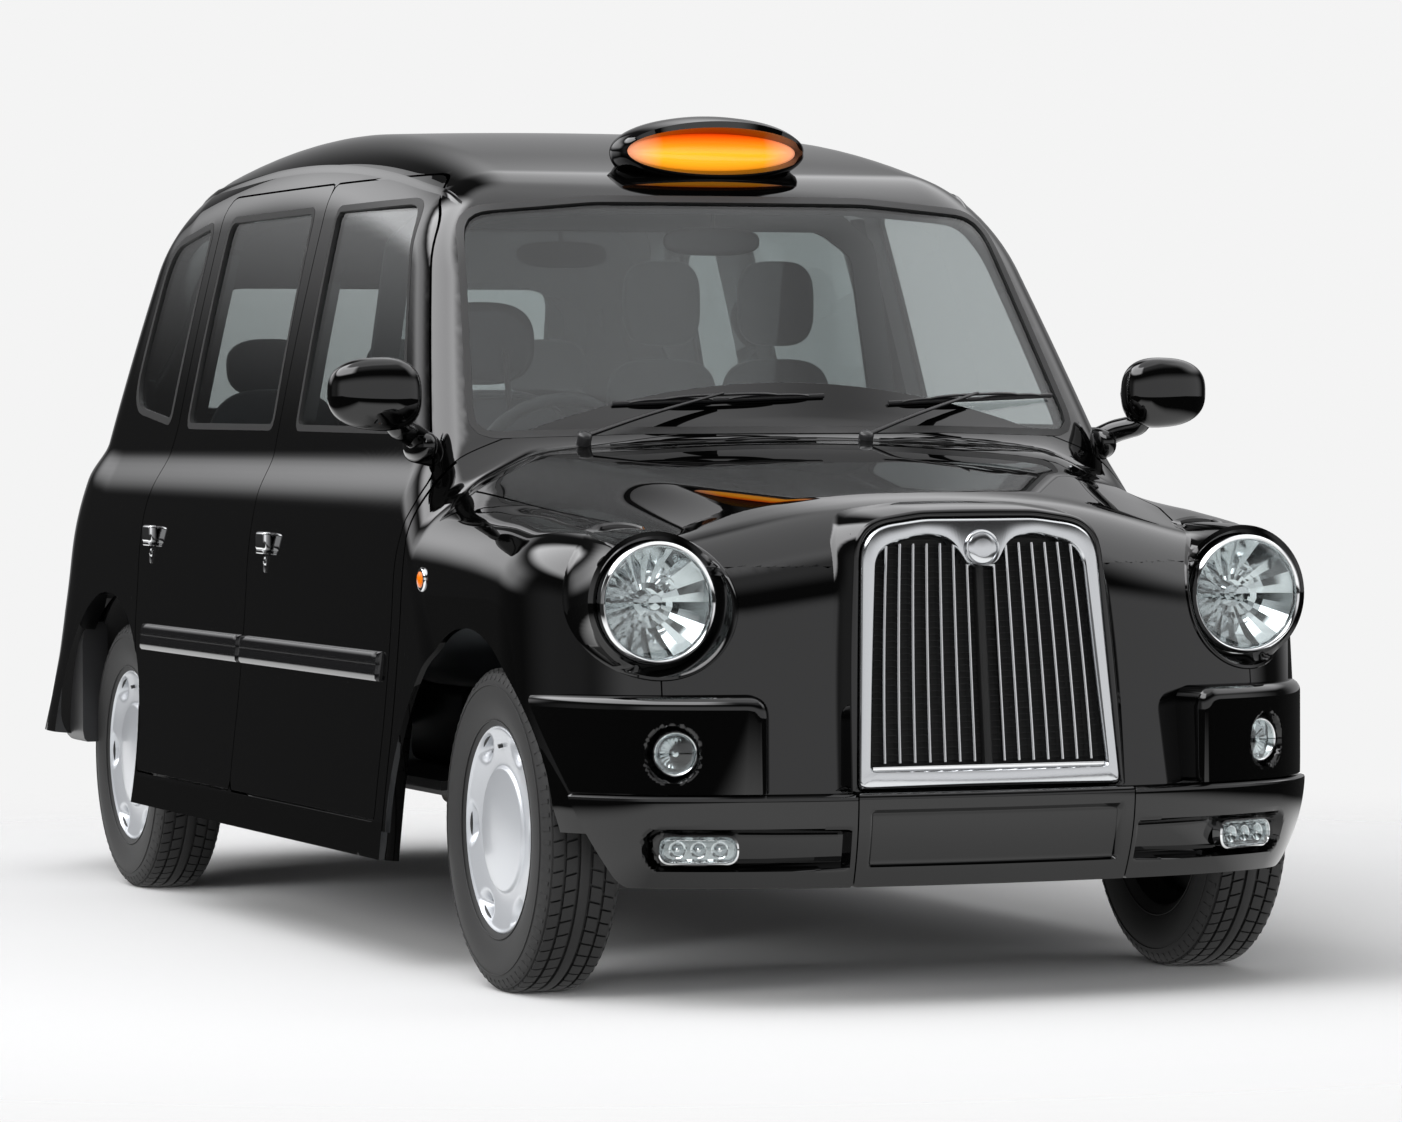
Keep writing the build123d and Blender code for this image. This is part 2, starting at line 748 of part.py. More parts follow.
def clip_form(inset=0):
    section = rounded(mirrored([
        (SILL_HALF, SILL_Z, 0),
        (BAND_HALF, BAND_Z, 0),
        (BODY_HALF, WING_TOP_Z, WING_R),
        (WING_CROWN_HALF, WING_TOP_Z, 0),
    ]), -inset)
    nose, corner = swept_nose(NOSE_BACK, NOSE_SWEEP_DEG, BODY_HALF)
    back = AXLE_F + BULKHEAD_BACK
    plan = rounded([
        (0, nose, NOSE_R),
        (BODY_HALF, corner, CORNER_R),
        (BODY_HALF, back + inset, 0),
        (-BODY_HALF, back + inset, 0),
        (-BODY_HALF, corner, CORNER_R),
    ], -inset)
    front = AXLE_F + NOSE_BACK
    side = rounded([
        (front - OVERRUN, SILL_Z, 0),
        (back + inset, SILL_Z, 0),
        (back + inset, WING_TOP_Z, 0),
        (front + NOSE_LEAN, WING_FRONT_Z, NOSE_TOP_R),
        (front, GRILLE_FOOT_Z, 0),
    ], -inset)
    form = along_y(section, -LENGTH, LENGTH) & along_z(plan, 0, LENGTH)
    return form & along_x(side, -LENGTH, LENGTH)


def bonnet_outline(grow=0):
    """The bonnet's edge, seen from above."""
    half = [(flank, AXLE_F + back, 0) for back, _, _, _, flank, _ in reversed(BONNET_SECTIONS)]
    half.append((BONNET_SECTIONS[0][4], AXLE_F + BULKHEAD_BACK, 0))
    right = [(0, AXLE_F + BONNET_SECTIONS[-1][0] - SHUT_GAP, 0)] + half
    left = [(-x, y, r) for x, y, r in reversed(half)]
    return rounded(right + left, grow)


def bonnet_face(section, lower=0):
    """One cross-section of the bonnet, from its crowned top down to a flat foot."""
    back, crown_z, crown_half, edge_z, flank_half, flank_z = section
    foot = BONNET_SECTIONS[-1][-1] - BONNET_EDGE_DROP
    right = Line((flank_half, foot), (flank_half, flank_z - lower))
    flank = Line((flank_half, flank_z - lower), (crown_half, edge_z - lower))
    crown = ThreePointArc((crown_half, edge_z - lower), (0, crown_z - lower), (-crown_half, edge_z - lower))
    far_flank = Line((-crown_half, edge_z - lower), (-flank_half, flank_z - lower))
    left = Line((-flank_half, flank_z - lower), (-flank_half, foot))
    base = Line((-flank_half, foot), (flank_half, foot))
    return make_face(Wire([right, flank, crown, far_flank, left, base]))


def bonnet_solid(lower=0):
    faces = []
    for section in BONNET_SECTIONS:
        place = Plane((0, AXLE_F + section[0], 0), (1, 0, 0), (0, -1, 0))
        faces.append(place * bonnet_face(section, lower))
    return loft(faces, ruled=True)


def cowl():
    """The fixed strip between the bonnet and the windscreen, in line with the bonnet's last section."""
    section = BONNET_SECTIONS[0]
    front = AXLE_F + section[0] + COWL_GAP
    back = AXLE_F + BULKHEAD_BACK
    strip = along_y(bonnet_face(section), front, back) - along_y(bonnet_face(section, BONNET_THICK), -FAR, FAR)
    return largest(strip)


def bonnet():
    return largest(bonnet_solid() - bonnet_solid(BONNET_THICK))


def bumper_plan(inset=0):
    nose, corner = swept_nose(BUMPER_NOSE_BACK, BUMPER_SWEEP_DEG, BUMPER_HALF)
    return rounded([
        (0, nose, NOSE_R),
        (BUMPER_HALF, corner, CORNER_R),
        (BUMPER_HALF, AXLE_F, 0),
        (-BUMPER_HALF, AXLE_F, 0),
        (-BUMPER_HALF, corner, CORNER_R),
    ], -inset)


def front_panels():
    """Two wings and the panel between the lamps."""
    clip = clip_form() - clip_form(SKIN)
    clip = clip - along_z(bonnet_outline(SHUT_GAP), CLIP_CUT_Z, FAR)
    front_arch = AXLE_F + FRONT_ARCH_SHIFT
    clip = clip - arch_cutter(front_arch, ARCH_R)
    behind = AXLE_F + FRONT_DOOR_BACK - OVERRUN - SEAT_GAP
    clip = clip & block(-FAR, FAR, -FAR, behind, 0, FAR)
    ahead = block(-FAR, FAR, -FAR, AXLE_F + BUMPER_END_BACK + SEAT_GAP, 0, BUMPER_TOP_Z + SEAT_GAP)
    middle = block(-BLOCK_IN, BLOCK_IN, -FAR, FAR, BUMPER_SPLIT_Z + SEAT_GAP, FAR)
    clip = clip - (ahead - middle)
    clip = clip - block(-SILL_IN, SILL_IN, AXLE_F + BUMPER_END_BACK, AXLE_F + BULKHEAD_BACK, 0, FAR / 10)
    for side in (-1, 1):
        clip = clip - rod_y(LAMP_R + SEAT_GAP, AXLE_F - FRONT_OVERHANG, AXLE_F + LAMP_BACK + LAMP_DEEP,
                            side * LAMP_HALF, LAMP_Z)
    clip = clip - on_grille(rounded(grille_points()), OVERRUN, FRONT_OVERHANG / 2)
    panel = clip & block(-PANEL_HALF, PANEL_HALF, -FAR, AXLE_F, 0, FAR)
    slam = AXLE_F + BONNET_SECTIONS[-1][0]
    panel = panel + block(-BLOCK_IN, BLOCK_IN, slam - SLAM_AHEAD, slam + SLAM_AHEAD, SLAM_Z, SLAM_Z + SLAM_TALL)
    under_bonnet = bonnet_solid(BONNET_THICK + SEAT_GAP)
    for side in (-1, 1):
        spot = Pos(side * BUFFER_HALF, slam + SLAM_AHEAD / 2, SLAM_Z)
        post = spot * Cylinder(BUFFER_R, BUFFER_TALL, align=(Align.CENTER, Align.CENTER, Align.MIN))
        below = block(-FAR, FAR, -FAR, FAR, 0, BONNET_SECTIONS[-1][-1] - BONNET_EDGE_DROP)
        panel = panel + (post & (under_bonnet + below))
    wing = clip & block(PANEL_HALF, FAR, -FAR, FAR, 0, FAR)
    return largest(panel), largest(wing)


CLIP_CUT_Z = 860
SLAM_AHEAD = 20
SLAM_Z = 800
SLAM_TALL = 40
BUFFER_HALF = 400
BUFFER_R = 14
BUFFER_TALL = 200


def front_bumper():
    lower = along_z(bumper_plan(), BUMPER_FOOT_Z, BUMPER_SPLIT_Z)
    upper = along_z(bumper_plan(BUMPER_STEP), BUMPER_SPLIT_Z, BUMPER_TOP_Z)
    whole = (lower + upper) - block(-BLOCK_IN, BLOCK_IN, -FAR, FAR, BUMPER_SPLIT_Z, FAR)
    whole = whole - along_z(bumper_plan(BUMPER_THICK), 0, FAR)
    whole = whole - block(-FAR, FAR, AXLE_F + BUMPER_END_BACK, FAR, 0, FAR)
    plate = block(-PLATE_HALF, PLATE_HALF, -FAR, AXLE_F + BUMPER_NOSE_BACK + PLATE_DEEP, PLATE_FOOT_Z, PLATE_TOP_Z)
    whole = whole - plate
    for side in (-1, 1):
        x = side * INDICATOR_HALF
        deep = AXLE_F + LAMP_FACE_BACK + INDICATOR_DEEP
        whole = whole - rod_y(INDICATOR_R + SEAT_GAP, -LENGTH, deep, x, INDICATOR_Z)
        whole = whole - fog_prism(side, SEAT_GAP)
    return whole


BUMPER_STEP = 8
PLATE_HALF = 262
PLATE_DEEP = 24
PLATE_FOOT_Z = 282
PLATE_TOP_Z = 399
LAMP_FACE_BACK = -574
FOG_FACE_BACK = -590


def fog_prism(side, grow=0):
    x = side * FOG_HALF
    half_long, half_tall = FOG_LONG / 2, FOG_TALL / 2
    outline = rounded([
        (x - half_long, FOG_Z - half_tall, half_tall * PILL_share),
        (x + half_long, FOG_Z - half_tall, half_tall * PILL_share),
        (x + half_long, FOG_Z + half_tall, half_tall * PILL_share),
        (x - half_long, FOG_Z + half_tall, half_tall * PILL_share),
    ], grow)
    face = AXLE_F + FOG_FACE_BACK
    return along_y(outline, face - (OVERRUN * 3 if grow else 0), face + FOG_DEEP)


PILL_share = 0.98


def small_lamps():
    face = AXLE_F + LAMP_FACE_BACK
    lamps = []
    for side in (-1, 1):
        lamps.append(rod_y(INDICATOR_R, face, face + INDICATOR_DEEP, side * INDICATOR_HALF, INDICATOR_Z))
        lamps.append(fog_prism(side))
    return lamps


def headlamp():
    """A left lamp: a bowl with its bulb cap, closed by a domed lens."""
    x, face = LAMP_HALF, AXLE_F + LAMP_BACK
    body = rod_y(LAMP_R, face, face + LAMP_DEEP, x, LAMP_Z)
    bowl = body - rod_y(LENS_R, face - OVERRUN, face + LAMP_DEEP - LAMP_BACK_THICK, x, LAMP_Z)
    bowl = bowl + rod_y(BULB_CAP_R, face + LENS_THICK * 4, face + LAMP_DEEP, x, LAMP_Z)
    lens = rod_y(LENS_R, face + LENS_THICK, face + 2 * LENS_THICK, x, LAMP_Z)
    return bowl, lens


LAMP_BACK_THICK = 12
BULB_CAP_R = 26


def grille_points(inset=0):
    corners = [
        (GRILLE_FOOT_HALF, 0, GRILLE_FOOT_R),
        (GRILLE_TOP_HALF, GRILLE_TOP_Z - GRILLE_FOOT_Z, GRILLE_TOP_R),
    ]
    return grown(mirrored(corners), -inset) if inset else mirrored(corners)


def grille_plane():
    lean = radians(GRILLE_LEAN_DEG)
    return Plane((0, AXLE_F + GRILLE_FOOT_BACK, GRILLE_FOOT_Z), (1, 0, 0), (0, -cos(lean), sin(lean)))


def on_grille(face, forward, back):
    """An outline on the leaning grille plane, from a depth behind it to one ahead of it."""
    return extrude(grille_plane().offset(-back) * face, back + forward)


def grille():
    """A chrome surround with a post and a badge, a row of upright bars in it, and a dark back."""
    frame = on_grille(rounded(grille_points()), 0, GRILLE_DEEP)
    opening = rounded(grille_points(GRILLE_RIM))
    frame = frame - on_grille(opening, OVERRUN, GRILLE_DEEP + OVERRUN)
    tall = GRILLE_TOP_Z - GRILLE_FOOT_Z
    post = on_grille(Pos(0, tall / 2) * Rectangle(POST_WIDE, tall - GRILLE_RIM), 0, GRILLE_BAR_DEEP)
    disc_up = (BADGE_Z - GRILLE_FOOT_Z)
    ring = on_grille(Pos(0, disc_up) * Circle(BADGE_R + BADGE_RING), 0, GRILLE_BAR_DEEP)
    disc = on_grille(Pos(0, disc_up) * Circle(BADGE_R), BADGE_RING / 2, 0)
    frame = frame + post + ring + disc
    pitch = 2 * (GRILLE_FOOT_HALF - GRILLE_RIM) / (GRILLE_BARS + 1)
    fan_share = (GRILLE_TOP_HALF - GRILLE_RIM) / (GRILLE_FOOT_HALF - GRILLE_RIM)
    bars = []
    for i in range(GRILLE_BARS):
        foot = (i + 1) * pitch - (GRILLE_FOOT_HALF - GRILLE_RIM)
        if abs(foot) < POST_WIDE:
            continue
        head = foot * fan_share
        half = GRILLE_BAR_WIDE / 2
        face = rounded([(foot - half, 0, 0), (foot + half, 0, 0), (head + half, tall, 0), (head - half, tall, 0)])
        bar = on_grille(face, 0, GRILLE_BAR_DEEP) & on_grille(opening, OVERRUN, GRILLE_DEEP)
        bars.append(bar - ring - disc)
    back = on_grille(rounded(grille_points()), -GRILLE_DEEP, GRILLE_DEEP + SKIN)
    back = back + on_grille(opening, -GRILLE_BAR_DEEP, GRILLE_DEEP)
    return frame, bars, back


# Wheels and axles


def spun(points, axle_y):
    """A ring about a wheel's axis, on the left. Points are (outwards from the track line, radius)."""
    face = make_face(Polyline(*points, close=True))
    plane = Plane((TRACK_HALF, axle_y, TYRE_R), (1, 0, 0), (0, -1, 0))
    return revolve(plane * face, Axis((0, axle_y, TYRE_R), (1, 0, 0)))


def tyre(axle_y):
    # columns: half width, radius
    outer = [(BEAD_HALF, BEAD_R)]
    outer += [(TYRE_HALF * wide, BEAD_R + (TYRE_R - BEAD_R) * up) for wide, up in tyre_shares]
    inner = [(BEAD_HALF - TYRE_WALL, BEAD_R)]
    inner += [(TYRE_HALF * wide - TYRE_WALL, BEAD_R + (TYRE_R - BEAD_R) * up) for wide, up in tyre_inner_shares]
    points = outer + [(-x, r) for x, r in reversed(outer)]
    points += [(-x, r) for x, r in inner] + [(x, r) for x, r in reversed(inner)]
    return spun(points, axle_y)


tyre_shares = [(0.76, 0.08), (0.92, 0.26), (1.0, 0.5), (0.98, 0.72), (0.86, 0.90), (0.66, 0.975), (0.34, 1.0)]
tyre_inner_shares = [(0.92, 0.28), (1.0, 0.5), (0.97, 0.68), (0.82, 0.84), (0.6, 0.88)]


def road_wheel(axle_y):
    """A steel rim with its disc and hub, under a trim with scooped openings."""
    rim = [
        (-RIM_HALF, BEAD_R), (-RIM_WELL_HALF, BEAD_R), (-RIM_WELL_HALF, RIM_WELL_R + RIM_THICK),
        (RIM_WELL_HALF, RIM_WELL_R + RIM_THICK), (RIM_WELL_HALF, BEAD_R), (RIM_HALF, BEAD_R),
        (RIM_HALF, BEAD_R - RIM_THICK), (RIM_WELL_HALF + RIM_THICK, BEAD_R - RIM_THICK),
        (RIM_WELL_HALF + RIM_THICK, RIM_WELL_R), (-RIM_WELL_HALF - RIM_THICK, RIM_WELL_R),
        (-RIM_WELL_HALF - RIM_THICK, BEAD_R - RIM_THICK), (-RIM_HALF, BEAD_R - RIM_THICK),
    ]
    disc = [
        (HUB_IN, HUB_BORE_R), (HUB_IN + RIM_THICK * 2, HUB_BORE_R),
        (HUB_IN + RIM_THICK * 2, HUB_R * 2), (RIM_WELL_HALF + RIM_THICK, RIM_WELL_R),
        (RIM_WELL_HALF - RIM_THICK, RIM_WELL_R), (HUB_IN, HUB_R * 2),
    ]
    hub = [(-STUB_R, HUB_BORE_R), (HUB_IN, HUB_BORE_R), (HUB_IN, HUB_R), (-STUB_R, HUB_R)]
    trim = [
        (TRIM_OUT, TRIM_R), (TRIM_OUT - TRIM_THICK, TRIM_R), (RIM_HALF, BEAD_R), (RIM_HALF, BEAD_R - RIM_THICK),
        (TRIM_OUT - 3 * TRIM_THICK, TRIM_DISC_R + TRIM_THICK), (TRIM_DISC_OUT - TRIM_THICK, TRIM_DISC_R),
        (TRIM_DISC_OUT - TRIM_THICK, 0), (TRIM_DISC_OUT, 0), (TRIM_DISC_OUT, TRIM_DISC_R),
        (TRIM_OUT - 2 * TRIM_THICK, TRIM_DISC_R + 2 * TRIM_THICK),
    ]
    cover = spun(trim, axle_y)
    for spot in PolarLocations(TRIM_OPENING_R, TRIM_OPENINGS):
        face = spot * SlotOverall(TRIM_OPENING_LONG, TRIM_OPENING_WIDE, rotation=90)
        place = Plane((TRACK_HALF, axle_y, TYRE_R), (0, 1, 0), (1, 0, 0))
        cover = cover - extrude(place * face, TRIM_OUT + OVERRUN)
    return spun(rim, axle_y) + spun(disc, axle_y) + spun(hub, axle_y), cover


def knuckle():
    """The left steered upright, with its stub axle and steering arm."""
    thick = UPRIGHT_THICK / 2
    upright = block(KING_HALF - thick, KING_HALF + thick, AXLE_F - UPRIGHT_HALF_WIDE, AXLE_F + UPRIGHT_HALF_WIDE,
                    TYRE_R - UPRIGHT_HALF_TALL, TYRE_R + UPRIGHT_HALF_TALL)
    stub = rod_x(STUB_R, KING_HALF, TRACK_HALF + STUB_OUT, AXLE_F, TYRE_R)
    arm = block(KING_HALF - thick, KING_HALF, AXLE_F, AXLE_F + UPRIGHT_HALF_TALL, TYRE_R - STUB_R, TYRE_R)
    hole = Pos(KING_HALF, AXLE_F, TYRE_R) * Cylinder(KINGPIN_R + RUN_GAP, 3 * UPRIGHT_HALF_TALL)
    return upright + stub + arm - hole


def front_suspension():
    """Upper and lower arms on the frame rails, with a strut leg, ending just above and below each knuckle."""
    parts = []
    for low in (TYRE_R + UPRIGHT_HALF_TALL + MOVE_GAP, TYRE_R - UPRIGHT_HALF_TALL - MOVE_GAP - ARM_THICK):
        parts.append(block(RAIL_OUT, ARM_OUT, AXLE_F - ARM_HALF_WIDE, AXLE_F + ARM_HALF_WIDE, low, low + ARM_THICK))
    leg = block(RAIL_OUT, RAIL_OUT + ARM_THICK, AXLE_F - ARM_HALF_WIDE, AXLE_F + ARM_HALF_WIDE,
                TYRE_R - UPRIGHT_HALF_TALL - MOVE_GAP - ARM_THICK, TYRE_R + UPRIGHT_HALF_TALL + MOVE_GAP + ARM_THICK)
    pin_tall = 2 * (UPRIGHT_HALF_TALL + MOVE_GAP)
    kingpin = Pos(KING_HALF, AXLE_F, TYRE_R) * Cylinder(KINGPIN_R, pin_tall)
    return parts[0] + parts[1] + leg + kingpin


def rear_axle():
    """A beam axle with its differential, its stubs and a spring seat under each rail."""
    half = [(0, DIFF_R), (DIFF_R, DIFF_R * DIFF_END_share), (DIFF_R + OVERRUN, AXLE_R_TUBE),
            (AXLE_TUBE_OUT, AXLE_R_TUBE), (AXLE_TUBE_OUT, STUB_R), (TRACK_HALF + STUB_OUT, STUB_R)]
    outline = half + [(TRACK_HALF + STUB_OUT, 0), (-TRACK_HALF - STUB_OUT, 0)] + [(-x, r) for x, r in reversed(half[1:])]
    plane = Plane((0, AXLE_R, TYRE_R), (1, 0, 0), (0, -1, 0))
    whole = revolve(plane * make_face(Polyline(*outline, close=True)), Axis((0, AXLE_R, TYRE_R), (1, 0, 0)))
    top = RAIL_FOOT_Z + RAIL_RISE * rail_shares[2][1]
    for low, high in ((RAIL_IN, RAIL_OUT), (-RAIL_OUT, -RAIL_IN)):
        whole = whole + block(low, high, AXLE_R - SPRING_HALF_LONG, AXLE_R + SPRING_HALF_LONG, TYRE_R, top)
    return whole


DIFF_END_share = 0.8
AXLE_TUBE_OUT = 690


# Floor, frame and machinery


def floor_pan():
    front, step, back = AXLE_F + BULKHEAD_BACK + WALL, AXLE_F + FLOOR_STEP_BACK, AXLE_F + BODY_END_BACK
    low = block(-FLOOR_HALF, FLOOR_HALF, front, step, FLOOR_Z - FLOOR_THICK, FLOOR_Z)
    riser = block(-FLOOR_HALF, FLOOR_HALF, step - FLOOR_THICK, step, FLOOR_Z - FLOOR_THICK, REAR_FLOOR_Z)
    high = block(-BODY_HALF, BODY_HALF, step - FLOOR_THICK, back, REAR_FLOOR_Z - FLOOR_THICK, REAR_FLOOR_Z)
    inside = body_form(CABIN_CLEAR)
    rear_inside = BODY_INSIDE & block(-FAR, FAR, AXLE_F + REAR_DOOR_END + SHUT_GAP, FAR, 0, FAR)
    high = high & (inside + rear_inside)
    riser = riser & inside
    liner = rod_x(ARCH_R + LINER, ARCH_IN - LINER, BODY_HALF, AXLE_R, ARCH_Z)
    liner = liner & rear_inside & block(0, FAR, -FAR, FAR, REAR_FLOOR_Z - FLOOR_THICK, FAR)
    liners = liner + other_side(liner)
    post = middle_post()
    return low + riser + high + liners - arch_cutter(AXLE_R, ARCH_R) - post - other_side(post)


def chassis_frame():
    size = (RAIL_LONG, RAIL_RISE)
    outline = rounded(placed(rail_shares, (AXLE_F + RAIL_FRONT_BACK, RAIL_FOOT_Z), size))
    rail = along_x(outline, RAIL_IN, RAIL_OUT)
    whole = rail + other_side(rail)
    top = RAIL_FOOT_Z + CROSS_THICK
    for back in CROSS_BACKS:
        whole = whole + block(-RAIL_IN, RAIL_IN, AXLE_F + back, AXLE_F + back + CROSS_THICK, RAIL_FOOT_Z, top)
    rear = AXLE_F + REAR_CROSS_BACK
    rear_foot = RAIL_FOOT_Z + RAIL_RISE * rail_shares[2][1]
    return whole + block(-RAIL_IN, RAIL_IN, rear, rear + CROSS_THICK, rear_foot, RAIL_FOOT_Z + RAIL_RISE)


def engine_block():
    top = RAIL_FOOT_Z + CROSS_THICK
    return block(-ENGINE_HALF, ENGINE_HALF, AXLE_F + ENGINE_FRONT_BACK, AXLE_F + ENGINE_END_BACK, top, ENGINE_TOP_Z)


def engine_bay():
    """The upright inner wing panel beside the engine, on the left rail."""
    top = RAIL_FOOT_Z + CROSS_THICK
    return block(RAIL_OUT - BAY_THICK, RAIL_OUT, AXLE_F + BUMPER_END_BACK, AXLE_F + BULKHEAD_BACK - SEAT_GAP,
                 top, BAY_TOP_Z)


BAY_THICK = 12
BAY_TOP_Z = 900


def exhaust():
    low = RAIL_FOOT_Z
    muffler = block(PIPE_X - MUFFLER_HALF, PIPE_X + MUFFLER_HALF, AXLE_F + MUFFLER_BACK,
                    AXLE_F + MUFFLER_BACK + MUFFLER_LONG, MUFFLER_FOOT_Z, low)
    pipe = rod_y(PIPE_R, AXLE_F + PIPE_START_BACK, AXLE_F + PIPE_END_BACK, PIPE_X, PIPE_Z)
    return muffler + pipe


# Cabin furniture


def tilted(shape, y, z, degrees):
    return shape.rotate(Axis((0, y, z), (1, 0, 0)), -degrees)


def seat(x, half, front, long, base, cushion, top, floor):
    """A plinth, a cushion and a leaning back, on one centre line."""
    y0, y1 = AXLE_F + front, AXLE_F + front + long
    plinth = block(x - half + SEAT_INSET, x + half - SEAT_INSET, y0 + SEAT_INSET, y1, floor, base)
    pad = block(x - half, x + half, y0, y1, base, cushion)
    pad = fillet(pad.edges().filter_by(Axis.X), SEAT_EDGE_R)
    back = block(x - half, x + half, y1 - SEAT_BACK_THICK, y1, cushion - SEAT_EDGE_R * 2, top)
    back = fillet(back.edges().filter_by(Axis.X), SEAT_EDGE_R)
    return [plinth + pad + tilted(back, y1 - SEAT_BACK_THICK, cushion, SEAT_RAKE_DEG)]


SEAT_INSET = 30
SEAT_EDGE_R = 30


def driver_seat():
    parts = seat(DRIVER_X, SEAT_HALF, SEAT_FRONT_BACK, SEAT_LONG - SEAT_BACK_THICK, SEAT_BASE_Z, SEAT_CUSHION_Z,
                 SEAT_BACK_TOP_Z, FLOOR_Z)
    y = AXLE_F + SEAT_FRONT_BACK + SEAT_LONG - SEAT_BACK_THICK * 2
    rest = block(DRIVER_X - HEADREST_HALF, DRIVER_X + HEADREST_HALF, y, y + SEAT_BACK_THICK,
                 SEAT_BACK_TOP_Z - SEAT_EDGE_R * 2, SEAT_BACK_TOP_Z + HEADREST_TALL)
    rest = fillet(rest.edges(), SEAT_EDGE_R)
    return [parts[0] + tilted(rest, y, SEAT_CUSHION_Z, SEAT_RAKE_DEG)]


def bench_seat():
    y0 = AXLE_F + BENCH_FRONT_BACK
    return seat(0, BENCH_HALF, BENCH_FRONT_BACK, BENCH_LONG, REAR_FLOOR_Z + SEAT_INSET, BENCH_CUSHION_Z,
                BENCH_TOP_Z, REAR_FLOOR_Z)


def folding_seats():
    """Two tip-up seats, folded against the partition."""
    y = AXLE_F + PARTITION_BACK + PARTITION_THICK
    pads = []
    for side in (-1, 1):
        x = side * FOLDING_X
        pad = block(x - FOLDING_HALF, x + FOLDING_HALF, y, y + FOLDING_THICK, FOLDING_FOOT_Z, FOLDING_TOP_Z)
        pads.append(fillet(pad.edges().filter_by(Axis.X), SEAT_EDGE_R))
    return pads


def partition():
    y = AXLE_F + PARTITION_BACK
    slab = block(-FAR, FAR, y, y + PARTITION_THICK, FLOOR_Z, FAR) & body_form(CABIN_CLEAR)
    window = block(-PARTITION_GLASS_HALF, PARTITION_GLASS_HALF, -FAR, FAR,
                   FOLDING_TOP_Z + SEAT_INSET, PARTITION_GLASS_TOP_Z)
    return slab - window


def partition_glass():
    y = AXLE_F + PARTITION_BACK + PARTITION_THICK / 2
    return block(-PARTITION_GLASS_HALF, PARTITION_GLASS_HALF, y, y + GLASS_THICK,
                 FOLDING_TOP_Z + SEAT_INSET, PARTITION_GLASS_TOP_Z)


def dashboard():
    size = (DASH_LONG, DASH_RISE)
    outline = rounded(placed(dash_shares, (AXLE_F + BULKHEAD_BACK + WALL, DASH_FOOT_Z), size))
    middle = BODY_INSIDE & block(-SIDE_JOINT, SIDE_JOINT, -FAR, FAR, 0, FAR)
    return along_x(outline, -DASH_HALF, DASH_HALF) & (body_form(CABIN_CLEAR) + middle)


def steering_wheel():
    lean = radians(WHEEL_DEG)
    centre = Vector(DRIVER_X, AXLE_F + WHEEL_BACK, WHEEL_Z)
    plane = Plane(centre, (1, 0, 0), (0, sin(lean), cos(lean)))
    ring = plane * Torus(WHEEL_R, WHEEL_TUBE_R)
    spokes = plane * Box(2 * WHEEL_R - WHEEL_TUBE_R, WHEEL_TUBE_R * 3, WHEEL_TUBE_R)
    boss = plane * Cylinder(WHEEL_TUBE_R * 4, WHEEL_TUBE_R * 2)
    column = rod(Plane(centre, (1, 0, 0), (0, -sin(lean), -cos(lean))), COLUMN_R, WHEEL_BACK - DASH_BACK)
    return ring + spokes + boss + (column - dashboard() - SCUTTLE_SOLID)


# Roof sign and wipers


def roof_sign():
    """An oval lamp housing with a lens on its front, standing on the roof."""
    y0, y1 = AXLE_F + SIGN_BACK - SIGN_LONG / 2, AXLE_F + SIGN_BACK + SIGN_LONG / 2
    top = SIGN_Z + SIGN_TALL
    corner = SIGN_TALL * SIGN_END_share
    outline = rounded([
        (-SIGN_HALF, SIGN_Z, corner * SIGN_FOOT_share),
        (SIGN_HALF, SIGN_Z, corner * SIGN_FOOT_share),
        (SIGN_HALF, top, corner),
        (-SIGN_HALF, top, corner),
    ])
    housing = along_y(outline, y0, y1)
    middle = SIGN_Z + SIGN_TALL / 2
    lens_outline = Pos(0, middle) * Ellipse(SIGN_LENS_HALF, SIGN_LENS_TALL / 2)
    pocket = along_y(lens_outline, y0 - OVERRUN, y0 + SIGN_LENS_DEEP)
    lens = along_y(lens_outline, y0 + SIGN_WALL, y0 + SIGN_LENS_DEEP)
    foot = block(-SIGN_HALF + SIGN_TALL / 2, SIGN_HALF - SIGN_TALL / 2, y0 + SIGN_WALL, y1 - SIGN_WALL,
                 SIGN_Z - OVERRUN, SIGN_Z + SIGN_WALL)
    return housing + foot - pocket - BODY, lens - BODY


SIGN_END_share = 0.5
SIGN_FOOT_share = 0.8
SIGN_LENS_DEEP = 50


def wipers():
    """Two arms with blades that lie on the windscreen, each with its spindle on the scuttle."""
    slope = radians(SCREEN_DEG)
    foot = Vector(0, AXLE_F + SCREEN_FOOT_BACK, SCREEN_FOOT_Z)
    arms = []
    for x in WIPER_FOOTS:
        place = Plane(foot, (1, 0, 0), (0, -sin(slope), cos(slope)))
        spot = place * Pos(x, 0, 0)
        low = -WIPER_REACH
        spindle = spot * Cylinder(WIPER_R, WIPER_TALL - low, align=(Align.CENTER, Align.CENTER, Align.MIN))
        spindle = place * (Pos(x, WIPER_FOOT_UP, low) * Cylinder(WIPER_R, WIPER_TALL - low,
                           align=(Align.CENTER, Align.CENTER, Align.MIN)))
        blade = place * (Pos(x + BLADE_LONG / 2, WIPER_UP, low) * Box(BLADE_LONG, BLADE_WIDE, BLADE_TALL - low,
                         align=(Align.CENTER, Align.CENTER, Align.MIN)))
        arm = place * (Pos(x + BLADE_WIDE, WIPER_UP / 2, low) * Box(BLADE_WIDE * 2, WIPER_UP, BLADE_TALL - low,
                       align=(Align.CENTER, Align.CENTER, Align.MIN)))
        arms.append(largest(spindle + blade + arm - BODY - cowl()))
    return arms


WIPER_REACH = 30


